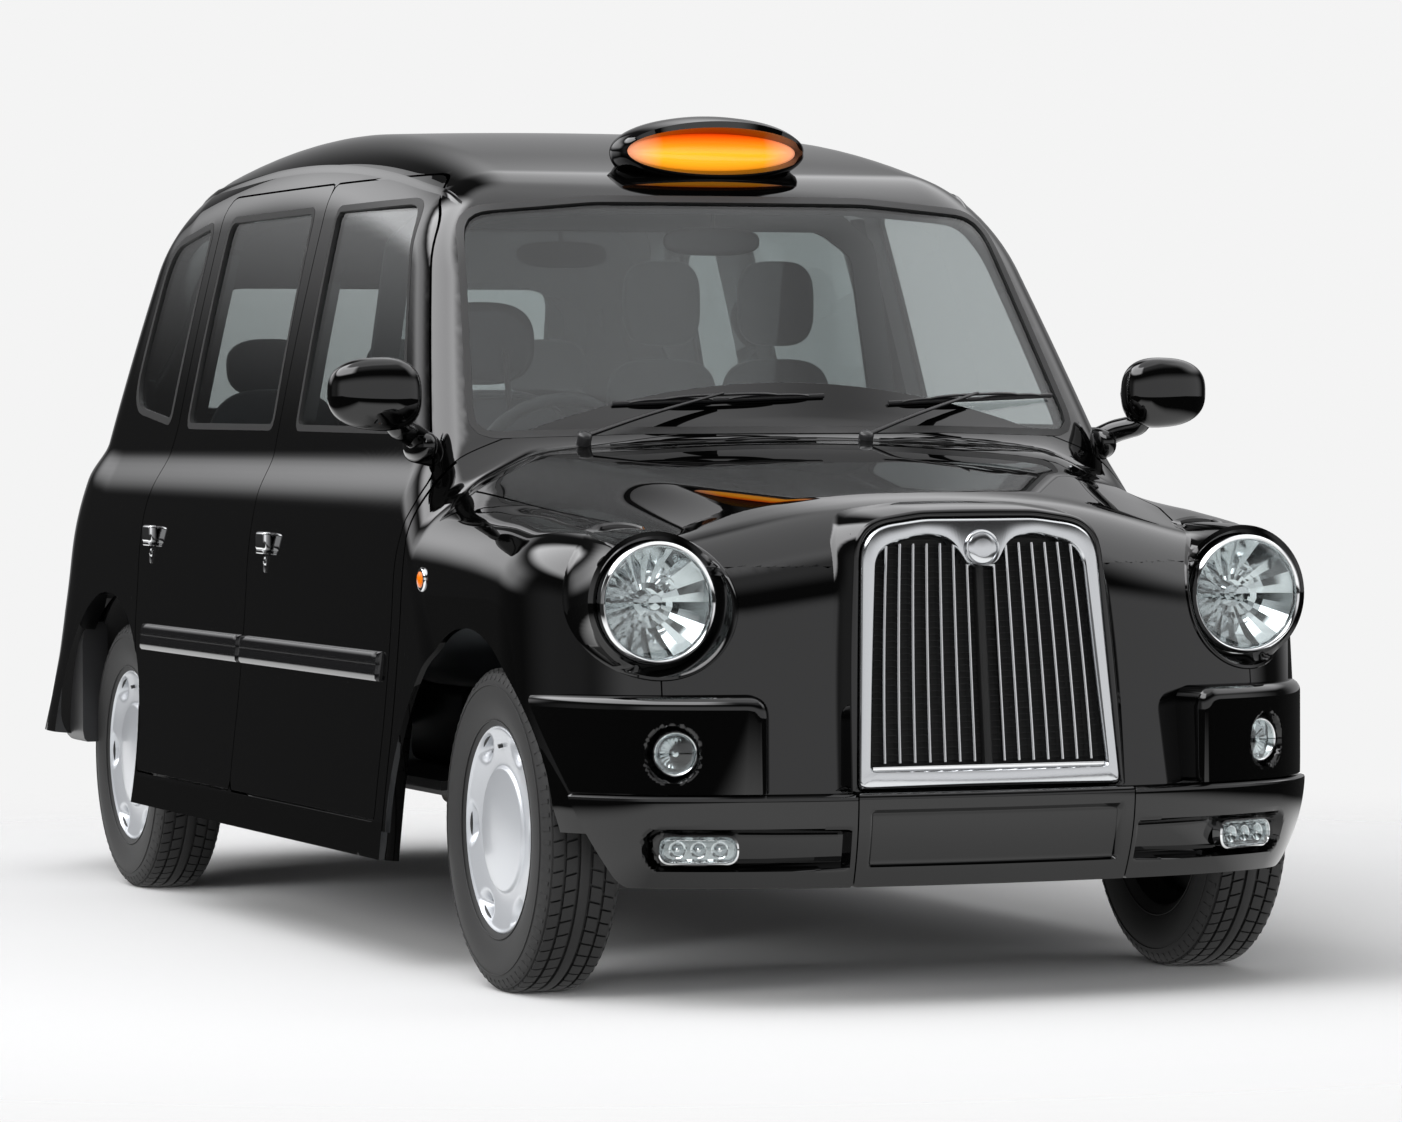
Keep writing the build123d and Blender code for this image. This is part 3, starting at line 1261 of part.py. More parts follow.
def rear_bumper():
    front, back = AXLE_F + REAR_BUMPER_START, AXLE_R + LENGTH - FRONT_OVERHANG - WHEELBASE
    plan = rounded([
        (-BUMPER_HALF, front, 0),
        (BUMPER_HALF, front, 0),
        (BUMPER_HALF, back, REAR_BUMPER_R),
        (-BUMPER_HALF, back, REAR_BUMPER_R),
    ])
    whole = along_z(plan, REAR_BUMPER_FOOT_Z, REAR_BUMPER_TOP_Z)
    return whole - BODY


def tail_lamps():
    lamps = []
    back = AXLE_F + BODY_END_BACK - REAR_CORNER_R
    for z in TAIL_LAMP_ZS:
        whole = rod_y(TAIL_LAMP_R, back, AXLE_F + BODY_END_BACK - TAIL_LAMP_IN, TAIL_LAMP_HALF, z)
        lamps += both_sides(whole - BODY)
    return lamps


TAIL_LAMP_IN = 50


def boot_trim():
    """The boot's handle bar and its blank plate, on the lid."""
    back = AXLE_F + BODY_END_BACK
    plate = block(-PLATE_HALF, PLATE_HALF, back - OVERRUN, back + BOOT_TRIM_OUT, BOOT_PLATE_Z,
                  BOOT_PLATE_Z + PLATE_TOP_Z - PLATE_FOOT_Z)
    handle = block(-PLATE_HALF, PLATE_HALF, back - TAIL_LEAN, back, BOOT_HANDLE_Z, BOOT_HANDLE_Z + BOOT_HANDLE_TALL)
    return [plate - BODY, handle - BODY]


BOOT_TRIM_OUT = 12
BOOT_PLATE_Z = 575
BOOT_HANDLE_Z = 730
BOOT_HANDLE_TALL = 40

BODY = body_form()
BODY_SKIN = body_form(DOOR_SKIN)
BODY_INSIDE = body_form(WALL)
GLASS_LAYER = body_form(GLASS_DEPTH) - body_form(GLASS_DEPTH + GLASS_THICK)

roof_panel, scuttle_panel, rear_panel, side_frame = cabin_panels(cabin_shell())
SCUTTLE_SOLID = block(-FAR, FAR, -FAR, AXLE_F + BULKHEAD_BACK + WALL, 0, WAIST_Z)
save("roof_panel", roof_panel)
save("scuttle", scuttle_panel + (cowl() - BODY))
save("rear_panel", rear_panel)
save("side_frame_left", side_frame)
save("side_frame_right", other_side(side_frame))
save("floor_pan", floor_pan())
back_light = (GLASS_LAYER & back_light_prism()) & block(-FAR, FAR, AXLE_F + ROOF_JOINT_BACK, FAR, 0, FAR)
quarters = both_sides(side_glass(quarter_face()))
save("fixed_windows", GLASS_LAYER & screen_prism(), back_light, *quarters)
save("boot_lid", (BODY - BODY_INSIDE) & boot_prism(-SHUT_GAP / 2))
save("boot_trim", *boot_trim())

front_leaf = door(front_door_face, front_window)
rear_leaf = door(rear_door_face, rear_window)
mirror_shell, mirror_pane = mirror_unit()
door_pieces = {
    "front_door": [front_leaf],
    "rear_door": [rear_leaf],
    "front_door_glass": [side_glass(front_window())],
    "rear_door_glass": [side_glass(rear_window())],
    "front_door_trim": door_trim(FRONT_DOOR_BACK, REAR_DOOR_BACK - FRONT_DOOR_BACK, HANDLE_BACKS[0]),
    "rear_door_trim": door_trim(REAR_DOOR_BACK, REAR_DOOR_END - REAR_DOOR_BACK, HANDLE_BACKS[1]),
    "mirror": [mirror_shell, mirror_pane],
}
for name, pieces in door_pieces.items():
    save(f"{name}_left", *pieces)
    save(f"{name}_right", *[other_side(piece) for piece in pieces])

front_panel, front_wing = front_panels()
save("front_panel", front_panel)
save("front_wing_left", front_wing)
save("front_wing_right", other_side(front_wing))
save("bonnet", bonnet())
save("front_bumper", front_bumper())
save("rear_bumper", rear_bumper())
lamp_bowl, lamp_lens = headlamp()
save("headlamps", *both_sides(lamp_bowl))
save("headlamp_lenses", *both_sides(lamp_lens))
save("front_lamps", *small_lamps())
save("tail_lamps", *tail_lamps())
grille_frame, grille_bars, grille_back = grille()
save("grille_surround", grille_frame)
save("grille_bars", *grille_bars)
save("grille_back", grille_back)
sign_housing, sign_lens = roof_sign()
save("roof_sign", sign_housing)
save("roof_sign_lens", sign_lens)
save("wipers", *wipers())

save("chassis_frame", chassis_frame())
save("engine_block", engine_block())
save("inner_wings", *both_sides(engine_bay()))
save("exhaust", exhaust())
save("front_suspension", *both_sides(front_suspension()))
save("rear_axle", rear_axle())
save("knuckle_left", knuckle())
save("knuckle_right", other_side(knuckle()))
for place, axle_y in (("front", AXLE_F), ("rear", AXLE_R)):
    rim, cover = road_wheel(axle_y)
    for side, turn in (("left", lambda shape: shape), ("right", other_side)):
        save(f"tyre_{place}_{side}", turn(tyre(axle_y)))
        save(f"wheel_{place}_{side}", turn(rim + cover))

save("dashboard", dashboard())
save("steering_wheel", steering_wheel())
save("driver_seat", *driver_seat())
save("passenger_seats", *bench_seat(), *folding_seats())
save("partition", partition(), partition_glass())
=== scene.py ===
# %% [markdown]
# # A taxi cab, dressed over its solid model
# The frame holds the cab's solids and joints, in metres: +Z is up, the nose points to -Y and the origin is
# on the ground under the middle. Every visible piece below either puts a finish on a solid, or replaces it
# with a finer mesh in the same place.

# %% Frame
from math import cos, pi, radians, sin, tan
import bpy
import bmesh
import numpy as np
from mathutils import Matrix, Vector


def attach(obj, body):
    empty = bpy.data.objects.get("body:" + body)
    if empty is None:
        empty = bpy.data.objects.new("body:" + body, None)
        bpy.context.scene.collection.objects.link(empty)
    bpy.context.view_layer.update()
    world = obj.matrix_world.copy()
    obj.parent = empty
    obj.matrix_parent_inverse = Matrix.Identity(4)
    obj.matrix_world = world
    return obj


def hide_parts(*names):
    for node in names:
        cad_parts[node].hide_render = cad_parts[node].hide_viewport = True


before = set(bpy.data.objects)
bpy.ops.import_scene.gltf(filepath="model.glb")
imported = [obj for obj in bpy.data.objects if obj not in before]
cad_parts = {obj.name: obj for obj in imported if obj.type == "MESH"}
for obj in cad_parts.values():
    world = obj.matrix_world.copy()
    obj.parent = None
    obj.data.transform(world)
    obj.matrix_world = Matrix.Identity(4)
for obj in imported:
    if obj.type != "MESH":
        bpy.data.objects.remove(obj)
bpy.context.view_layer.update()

# %% [markdown]
# The cab's driving sizes come first. Places along the cab are measured back from the front axle, because
# that is how a body drawing gives them.

# %% Driving sizes
AXLE_F = -1.590
WHEELBASE = 2.886
TRACK_HALF = 0.740
TYRE_R = 0.332
BODY_HALF = 0.866
WAIST_Z = 1.140
ROOF_Z = 1.856
SCREEN_RAKE = radians(54.5)
SCREEN_FOOT = 0.395
SCREEN_BOW = 5.8
SHUT_GAP = 0.005
MM = 0.001

# %% [markdown]
# Materials are node trees. One helper turns hex colours to linear light, and one adds a node with its
# settings and links, so each finish below is a short list of what makes it look real.

# %% Colour and node helpers


def linear(hex_colour):
    """A linear RGBA colour from an sRGB hex string."""
    parts = [int(hex_colour[i:i + 2], 16) / 255 for i in (1, 3, 5)]
    return [c / 12.92 if c <= 0.04045 else ((c + 0.055) / 1.055) ** 2.4 for c in parts] + [1.0]


def node(tree, kind, settings=None, **links):
    """A node with its settings, and its inputs linked or set. Underscores in input names are spaces, and
    i0, i1 and so on are inputs by their number."""
    made = tree.nodes.new(kind)
    for key, value in (settings or {}).items():
        setattr(made, key, value)
    for key, value in links.items():
        numbered = key[0] == "i" and key[1:].isdigit()
        socket = made.inputs[int(key[1:]) if numbered else key.replace("_", " ")]
        if isinstance(value, bpy.types.NodeSocket):
            tree.links.new(value, socket)
        else:
            socket.default_value = value
    return made


def wave_scale(period_mm):
    """The scale of a wave texture whose bands repeat at a real spacing."""
    return 2 * pi / (20 * period_mm * MM)


def finish_tree(name):
    """A new material with an empty tree: returns the material, its tree and its output node."""
    material = bpy.data.materials.new(name)
    material.use_nodes = True
    material.node_tree.nodes.clear()
    return material, material.node_tree, material.node_tree.nodes.new("ShaderNodeOutputMaterial")


def plain_finish(name, colour, roughness, metallic=0.0, bump=0.0, grain_mm=1.0, wear=0.0, **more):
    """A principled finish with a fine grain in its roughness and relief."""
    material, tree, out = finish_tree(name)
    place = node(tree, "ShaderNodeTexCoord")
    grain = node(tree, "ShaderNodeTexNoise", Vector=place.outputs["Object"], Scale=1 / (grain_mm * MM), Detail=3.0)
    shine = node(tree, "ShaderNodeMapRange", Value=grain.outputs["Fac"], To_Min=max(roughness - wear, 0.0),
                 To_Max=roughness + wear)
    surface = node(tree, "ShaderNodeBsdfPrincipled", Base_Color=linear(colour), Metallic=metallic,
                   Roughness=shine.outputs["Result"], **more)
    if bump:
        relief = node(tree, "ShaderNodeBump", Height=grain.outputs["Fac"], Strength=1.0, Distance=bump * MM)
        tree.links.new(relief.outputs["Normal"], surface.inputs["Normal"])
    tree.links.new(surface.outputs["BSDF"], out.inputs["Surface"])
    return material


# %% [markdown]
# ## Finishes
# Coach paint is black enamel under clear lacquer: a mirror-like coat over a dark base. Rubber, ABS and
# vinyl are rougher and a little paler, so that they part from the paint even where all are black.

# %% Finishes of the body
coach_paint = plain_finish("black coach enamel", "#020202", 0.20, wear=0.01, grain_mm=0.8,
                           Coat_Weight=1.0, Coat_Roughness=0.008, Coat_IOR=1.5, Specular_IOR_Level=0.0)
satin_paint = plain_finish("satin black chassis paint", "#101011", 0.45, wear=0.08, grain_mm=3.0, bump=0.05)
black_abs = plain_finish("moulded black ABS", "#141415", 0.38, wear=0.05, grain_mm=0.6, bump=0.02)
gloss_abs = plain_finish("gloss black ABS", "#0a0a0b", 0.12, wear=0.02, grain_mm=0.6)
seal_rubber = plain_finish("extruded seal rubber", "#0b0b0b", 0.55, wear=0.05, grain_mm=0.7, bump=0.03)
tyre_rubber = plain_finish("vulcanised tyre rubber", "#1a1a1a", 0.62, wear=0.10, grain_mm=1.5, bump=0.05)
chrome_plate = plain_finish("chrome plate", "#d9dadb", 0.06, 1.0, wear=0.02, grain_mm=4.0)
satin_chrome = plain_finish("polished zinc casting", "#c4c6c8", 0.16, 1.0, wear=0.03, grain_mm=2.0)
trim_silver = plain_finish("silver painted wheel trim", "#b9bcc0", 0.34, 0.55, wear=0.04, grain_mm=0.5, bump=0.005,
                           Coat_Weight=0.4, Coat_Roughness=0.12)
dull_steel = plain_finish("mill finish steel", "#6f6a64", 0.42, 1.0, wear=0.10, grain_mm=2.0, bump=0.03)
iron_block = plain_finish("painted iron casting", "#3a3b3c", 0.6, 0.4, wear=0.1, grain_mm=2.5, bump=0.15)
dash_vinyl = plain_finish("grained dashboard vinyl", "#2b2c2e", 0.6, wear=0.06, grain_mm=1.4, bump=0.10)
dark_mesh = plain_finish("black radiator mesh", "#020202", 0.7, wear=0.05, grain_mm=2.0)
mirror_silver = plain_finish("silvered mirror glass", "#dfe3e4", 0.02, 1.0, wear=0.005, grain_mm=20.0)
print("finishes so far:", len(bpy.data.materials))

# %% [markdown]
# Clear parts need their own trees. Window glass is thin and light grey: most of what is seen in it is the
# cabin behind, and the rest is a mirror image of the sky, stronger at a glancing angle. Lenses are the same
# idea in clear, amber and red plastic.

# %% Clear finishes


def clear_finish(name, colour, mirror):
    """A thin clear sheet: a tinted see-through layer under a mirror-like surface."""
    material, tree, out = finish_tree(name)
    place = node(tree, "ShaderNodeTexCoord")
    # A film of dust in clouds about 11 mm wide.
    dust = node(tree, "ShaderNodeTexNoise", Vector=place.outputs["Object"], Scale=90.0, Detail=2.0)
    shine = node(tree, "ShaderNodeMapRange", Value=dust.outputs["Fac"], To_Min=0.0, To_Max=0.002)
    through = node(tree, "ShaderNodeBsdfTransparent", Color=linear(colour))
    mirror_layer = node(tree, "ShaderNodeBsdfGlossy", Color=(1, 1, 1, 1), Roughness=shine.outputs["Result"])
    glance = node(tree, "ShaderNodeLayerWeight", Blend=0.5)
    steep = node(tree, "ShaderNodeMath", {"operation": "POWER"}, i0=glance.outputs["Facing"], i1=4.5)
    share = node(tree, "ShaderNodeMath", {"operation": "MULTIPLY_ADD"}, i0=steep.outputs["Value"], i1=0.8 * mirror,
                 i2=0.035 * mirror)
    mixed = node(tree, "ShaderNodeMixShader", Fac=share.outputs["Value"], i1=through.outputs["BSDF"],
                 i2=mirror_layer.outputs["BSDF"])
    tree.links.new(mixed.outputs["Shader"], out.inputs["Surface"])
    return material


def lens_finish(name, colour, transmission, roughness, glow=0.0, ribs_mm=0.0):
    """Moulded lamp plastic, with fine ribs if it has them, and a little light of its own."""
    material, tree, out = finish_tree(name)
    place = node(tree, "ShaderNodeTexCoord")
    surface = node(tree, "ShaderNodeBsdfPrincipled", Base_Color=linear(colour), Roughness=roughness, IOR=1.49,
                   Transmission_Weight=transmission, Emission_Color=linear(colour), Emission_Strength=glow)
    if ribs_mm:
        ribs = node(tree, "ShaderNodeTexWave", {"bands_direction": "X"}, Vector=place.outputs["Object"],
                    Scale=wave_scale(ribs_mm))
        relief = node(tree, "ShaderNodeBump", Height=ribs.outputs["Fac"], Strength=0.6, Distance=0.6 * MM)
        tree.links.new(relief.outputs["Normal"], surface.inputs["Normal"])
    tree.links.new(surface.outputs["BSDF"], out.inputs["Surface"])
    return material


window_glass = clear_finish("grey tinted window glass", "#e2e5e5", 1.0)
lamp_glass = clear_finish("clear lamp glass", "#f2f5f5", 1.0)
LENS_RIBS_MM = 18.85  # far coarser than the real ribs, so that they show
amber_plastic = lens_finish("amber lamp plastic", "#e8760c", 0.35, 0.12, 0.10, LENS_RIBS_MM)
red_plastic = lens_finish("red lamp plastic", "#a3090c", 0.4, 0.12, 0.0, LENS_RIBS_MM)
print("finishes:", len(bpy.data.materials))

# %% [markdown]
# Meshes are made from plain point lists. One helper turns points and faces into a shaded object, bevels its
# sharp edges as pressed steel and moulded plastic have them, gives it its finish and puts it on its body.

# %% Mesh helpers


def made(name, points, faces, finish, body="body", stands_for=(), slot=None, bevel=0.0, angle=40):
    """An object from points and faces, finished, bevelled and riding on its body."""
    mesh = bpy.data.meshes.new(name)
    mesh.from_pydata([tuple(map(float, p)) for p in points], [], [tuple(map(int, f)) for f in faces])
    mesh.validate()
    work = bmesh.new()
    work.from_mesh(mesh)
    bmesh.ops.remove_doubles(work, verts=work.verts, dist=1e-5)
    bmesh.ops.recalc_face_normals(work, faces=work.faces)
    work.to_mesh(mesh)
    work.free()
    obj = bpy.data.objects.new(name, mesh)
    bpy.context.scene.collection.objects.link(obj)
    mesh.materials.append(finish)
    mesh.shade_smooth()
    mesh.set_sharp_from_angle(angle=radians(angle))
    if bevel:
        edge = obj.modifiers.new("pressed edge", "BEVEL")
        edge.width = bevel
        edge.segments = 2
        edge.limit_method = "ANGLE"
        edge.angle_limit = radians(angle)
        edge.harden_normals = True
    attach(obj, body)
    if stands_for:
        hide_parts(*stands_for)
    return obj


def round_outline(points, radius, steps=6):
    """Corner points to a closed outline with rounded corners. A point may carry its own radius."""
    turned = []
    count = len(points)
    for i, point in enumerate(points):
        here = np.array(point[:2], float)
        r = point[2] if len(point) > 2 else radius
        back = np.array(points[i - 1][:2], float) - here
        on = np.array(points[(i + 1) % count][:2], float) - here
        lb, lo = np.linalg.norm(back), np.linalg.norm(on)
        back, on = back / lb, on / lo
        half = 0.5 * np.arccos(np.clip(back @ on, -1, 1))
        if r <= 0 or half > pi / 2 - 0.01:
            turned.append(here)
            continue
        reach = min(r / tan(half), 0.49 * lb, 0.49 * lo)
        a, b = here + back * reach, here + on * reach
        for k in range(steps + 1):
            u = k / steps
            turned.append((1 - u) ** 2 * a + 2 * u * (1 - u) * here + u ** 2 * b)
    return np.array(turned)


def outline_distance(outline, u, v):
    """Signed distance from points (u, v) to a closed outline: below zero inside."""
    best = np.full(u.shape, 1e9)
    inside = np.zeros(u.shape, bool)
    for (au, av), (bu, bv) in zip(outline, np.roll(outline, -1, axis=0)):
        du, dv = bu - au, bv - av
        share = np.clip(((u - au) * du + (v - av) * dv) / max(du * du + dv * dv, 1e-12), 0, 1)
        best = np.minimum(best, np.hypot(u - au - share * du, v - av - share * dv))
        cross = (av > v) != (bv > v)
        with np.errstate(divide="ignore", invalid="ignore"):
            where = u < (bu - au) * (v - av) / (bv - av) + au
        inside ^= cross & where
    return np.where(inside, -best, best)


# %% [markdown]
# ## The body's form
# A cab's body is pressed from flat sheet over big smooth dies, so every panel belongs to one flowing
# surface. That surface is written once, as a function that is negative inside the body, and each panel is
# cut from it along its real shut lines. s is the place back from the front axle.

# %% Body form


def round_max(a, b, radius):
    """Two surfaces that meet in a rounded edge."""
    return np.minimum(np.maximum(a, b), -radius) + np.hypot(np.maximum(a + radius, 0), np.maximum(b + radius, 0))


def round_min(a, b, radius):
    """Two bodies that meet in a filled hollow."""
    return -round_max(-a, -b, radius)


def soft_min(a, b, blend):
    """The lower of two heights, eased where they cross."""
    return 0.5 * (a + b - np.sqrt((a - b) ** 2 + blend ** 2))


def soft_max(a, b, blend):
    """The higher of two heights, eased where they cross."""
    return 0.5 * (a + b + np.sqrt((a - b) ** 2 + blend ** 2))


# Height of a wing's crown at places s along the cab.
WING_CROWN = ([-0.62, -0.45, -0.35, -0.2, 0.0, 0.2, 0.47, 0.7],
              [0.868, 0.915, 0.930, 0.950, 0.972, 0.985, 0.995, 1.0])
# The bonnet's sections: place s, height at the middle, half width and height at the crease, and half width
# and height at the flank's foot.
BONNET_RUN = np.array([
    (0.60, 1.150, 0.640, 1.124, 0.780, 1.045),
    (0.36, 1.122, 0.590, 1.092, 0.736, 1.018),
    (0.00, 1.082, 0.460, 1.052, 0.660, 0.970),
    (-0.398, 1.020, 0.330, 0.994, 0.546, 0.930),
    (-0.530, 0.980, 0.270, 0.958, 0.508, 0.906),
    (-0.70, 0.915, 0.20, 0.897, 0.460, 0.860),
])[::-1]


def smooth_table(s, where, values):
    """Values between table rows, with the corners between rows rounded by averaging."""
    reach = 0.05
    spread = [np.interp(s + k * reach, where, values) for k in (-1, -0.5, 0, 0.5, 1)]
    return (spread[0] + 2 * spread[1] + 2 * spread[2] + 2 * spread[3] + spread[4]) / 8


def clip_top(x, s):
    """Height of the bonnet and wings."""
    run = [smooth_table(s, BONNET_RUN[:, 0], BONNET_RUN[:, k]) for k in range(1, 6)]
    crown, crown_half, crown_edge, flank_half, flank = run
    rise = crown - (crown - crown_edge) * (x / crown_half) ** 2
    slope = (crown_edge - flank) / (flank_half - crown_half)
    side = crown_edge - slope * (x - crown_half)
    centre = soft_min(rise, side, 0.012)
    wing = smooth_table(s, *WING_CROWN) - 0.55 * (x - 0.73) ** 2
    return soft_max(centre, wing, 0.020)


def lower_half(z):
    """Half width of the body under the windows."""
    band = BODY_HALF - 0.124 * np.clip(0.62 - z, 0, 0.22) ** 2 - 0.375 * np.clip(0.40 - z, 0, 1)
    return band - 0.644 * np.clip(z - 0.80, 0, 1) ** 2


def body_field(x, s, z):
    """Below zero inside the body's outer surface."""
    x = np.abs(x)
    side = x - lower_half(z)
    top_front = z - clip_top(x, s)
    top_back = z - (1.118 - 0.045 * np.clip((s - 3.3) / 0.4, 0, 1) ** 2)
    share = np.clip((s - 0.42) / 0.12, 0, 1)
    top = top_front * (1 - share) + top_back * share
    nose = (-0.625 + 0.11 * (z - 0.44) + 0.24 * x ** 2) - s
    tail = s - (3.795 - 0.266 * np.clip(z - 0.68, 0, 1) - 0.05 * np.clip(z - 0.68, 0, 1) ** 2)
    lower = round_max(side, nose, 0.25)
    lower = round_max(lower, tail, 0.56)
    lower = round_max(lower, top, 0.13 - 0.06 * np.clip((s - 3.0) / 0.5, 0, 1))
    up = z - 1.16
    glazed = x - (0.787 - 0.20 * up - 0.06 * up ** 2)
    behind = (s - 3.565) * 0.940 + (z - 1.095) * 0.343 + 0.10 * x ** 2
    bend = np.where(s < 2.05, 9.5, 12.0)
    roof = z - (ROOF_Z - (s - 2.05) ** 2 / bend - 0.014 * x ** 2 / 0.36)
    screen = -(s - SCREEN_FOOT) * sin(SCREEN_RAKE) + (z - WAIST_Z) * cos(SCREEN_RAKE) + x ** 2 / SCREEN_BOW
    house = round_max(glazed, behind, 0.38)
    house = round_max(house, roof, 0.17 + 0.08 * np.clip((s - 2.8) / 0.5, 0, 1))
    house = round_max(house, screen, 0.075)
    return round_min(lower, house, 0.030)


def body_normal(p):
    """Outward unit normals of the surface at points p (x, s, z)."""
    step = 2e-4
    out = np.empty_like(p)
    for k in range(3):
        move = np.zeros(3)
        move[k] = step
        a, b = p + move, p - move
        out[:, k] = body_field(a[:, 0], a[:, 1], a[:, 2]) - body_field(b[:, 0], b[:, 1], b[:, 2])
    return out / np.maximum(np.linalg.norm(out, axis=1, keepdims=True), 1e-9)


def met(is_outside, near, far):
    """Where a way from near, inside, to far, outside, crosses a surface, found by halving."""
    for _ in range(40):
        mid = (near + far) / 2
        outside = is_outside(mid)
        far, near = np.where(outside, mid, far), np.where(outside, near, mid)
    return (near + far) / 2


def body_grid():
    """A net of points over the left half of the body, found along rays from a line inside it."""
    fan = np.radians(np.linspace(0, 90, 70))
    run = np.linspace(-0.20, 3.26, 230)
    start = np.concatenate([np.full(len(fan) - 1, -0.20), run, np.full(len(fan) - 1, 3.26)])
    turn = np.concatenate([fan[:-1], np.full(len(run), pi / 2), pi / 2 + fan[1:]])
    climb = np.clip((start - 0.2) / 0.8, 0, 1)
    height = 0.40 + 0.45 * climb ** 2 * (3 - 2 * climb)
    rise = np.radians(np.linspace(-52, 90, 150))
    S, R = np.meshgrid(start, rise, indexing="ij")
    T, _ = np.meshgrid(turn, rise, indexing="ij")
    H, _ = np.meshgrid(height, rise, indexing="ij")
    dx, ds, dz = np.sin(T) * np.cos(R), -np.cos(T) * np.cos(R), np.sin(R)
    reach = met(lambda d: body_field(dx * d, S + ds * d, H + dz * d) > 0, np.full(S.shape, 0.02),
                np.full(S.shape, 2.4))
    points = np.stack([dx * reach, S + ds * reach, H + dz * reach], axis=-1)
    n, m = S.shape
    points[:, -1, 0] = 0.0
    ids = np.arange(n * m).reshape(n, m)
    quads = np.stack([ids[:-1, :-1], ids[1:, :-1], ids[1:, 1:], ids[:-1, 1:]], axis=-1).reshape(-1, 4)
    return points.reshape(-1, 3), quads


grid_points, grid_faces = body_grid()
print("body net:", len(grid_points), "points; roof", grid_points[:, 2].max(), "nose", grid_points[:, 1].min())

# %% [markdown]
# A panel is that net, cut along shut lines. Each shut line is a signed distance, so cut edges are straight
# and round exactly where the die cut them. The sheet then gets its thickness and rims.

# %% Panel cutting


def cut_net(points, faces, values):
    """The part of a net where values are below zero. values holds one number for each point."""
    points = list(map(tuple, points))
    kept = []
    crossing = {}
    values = np.asarray(values)
    inside = values <= 0
    for face in faces:
        flags = [inside[i] for i in face]
        if all(flags):
            kept.append(tuple(face))
            continue
        if not any(flags):
            continue
        ring = []
        for k, i in enumerate(face):
            j = face[(k + 1) % len(face)]
            if inside[i]:
                ring.append(i)
            if inside[i] != inside[j]:
                key = (min(i, j), max(i, j))
                if key not in crossing:
                    share = values[i] / (values[i] - values[j])
                    a, b = np.array(points[i]), np.array(points[j])
                    crossing[key] = len(points)
                    points.append(tuple(a + (b - a) * share))
                ring.append(crossing[key])
        if len(ring) >= 3:
            kept.append(tuple(ring))
    used = sorted({i for face in kept for i in face})
    back = {i: k for k, i in enumerate(used)}
    return np.array([points[i] for i in used]).reshape(-1, 3), [tuple(back[i] for i in face) for face in kept]


def panel_net(*cuts):
    """The net left after each cut. A cut is a function of x, s and z that is below zero where sheet stays."""
    points, faces = grid_points, grid_faces
    for cut in cuts:
        points, faces = cut_net(points, faces, cut(points[:, 0], points[:, 1], points[:, 2]))
    return points, faces


def side_cut(outline, gap=0.0, keep_inside=True):
    """Keeps what lies inside, or outside, an outline in side view, less half the shut gap."""
    if keep_inside:
        return lambda x, s, z: outline_distance(outline, s, z) + gap
    return lambda x, s, z: gap - outline_distance(outline, s, z)


def both_halves(points, faces):
    """The net and its mirror image across the middle plane, welded there."""
    mirrored = points * np.array([-1, 1, 1])
    count = len(points)
    flipped = [tuple(i + count for i in face[::-1]) for face in faces]
    return np.vstack([points, mirrored]), list(faces) + flipped


def mirrored_net(net, sign=-1):
    """A net for the left side (sign 1) or, turned over, for the right (sign -1)."""
    points, faces = net
    return np.asarray(points) * np.array([sign, 1, 1]), [tuple(f[::sign]) for f in faces]


def closed_shell(front, back, faces):
    """A front net, the same net turned over behind it, and rims along its open edges."""
    count = len(front)
    edges = dict.fromkeys((f[k], f[(k + 1) % len(f)]) for f in faces for k in range(len(f)))
    rims = [(j, i, i + count, j + count) for i, j in edges if (j, i) not in edges]
    return np.vstack([front, back]), list(faces) + rims + [tuple(i + count for i in f[::-1]) for f in faces]


def welded(points, faces):
    """Points that coincide become one, and faces that collapse are dropped."""
    keys = np.round(points / 2e-5).astype(np.int64)
    _, first, where = np.unique(keys, axis=0, return_index=True, return_inverse=True)
    where = where.ravel()
    rings = []
    for face in faces:
        ring = []
        for i in face:
            j = int(where[i])
            if not ring or ring[-1] != j:
                ring.append(j)
        if len(ring) > 1 and ring[0] == ring[-1]:
            ring.pop()
        if len(set(ring)) == len(ring) and len(ring) >= 3:
            rings.append(tuple(ring))
    return points[first], rings


def rowed(points):
    """Points (x, s, z) in the row frame."""
    return points + np.array([0, AXLE_F, 0])


def sheet_panel(name, net, thick, finish, body="body", stands_for=(), slot=None, lift=0.0, bevel=0.0015):
    """A panel of even thickness behind the body's surface."""
    points, faces = welded(*net)
    normals = body_normal(points)
    points, faces = closed_shell(points + normals * lift, points + normals * (lift - thick), faces)
    return made(name, rowed(points), faces, finish, body, stands_for, slot, bevel=bevel, angle=48)


# %% [markdown]
# Shut lines in side view come from the door pressings: the front door's leading edge bulges forward at the
# waist to clear its hinges, and the rear door's trailing edge is cut round by the wheel arch.

# %% Shut lines
FRONT_DOOR = round_outline([
    (0.530, 0.318, 0.02), (1.645, 0.318, 0.02), (1.645, 1.716, 0.02), (1.030, 1.716, 0.16), (0.862, 1.612, 0.20),
    (0.546, 1.128, 0.02), (0.487, 1.050, 0.03), (0.487, 0.980, 0.10), (0.530, 0.881, 0.20),
], 0.02)
REAR_DOOR = round_outline([
    (1.645, 0.318, 0.02), (2.475, 0.318, 0.02), (2.475, 0.431, 0.05), (2.600, 0.640, 0.22), (2.600, 0.950, 0.18),
    (2.514, 1.150, 0.12), (2.514, 1.716, 0.06), (1.645, 1.716, 0.02),
], 0.02)
FRONT_WINDOW = round_outline([
    (0.682, 1.140, 0.030), (1.509, 1.147, 0.030), (1.551, 1.660, 0.030), (0.970, 1.660, 0.15),
], 0.03)
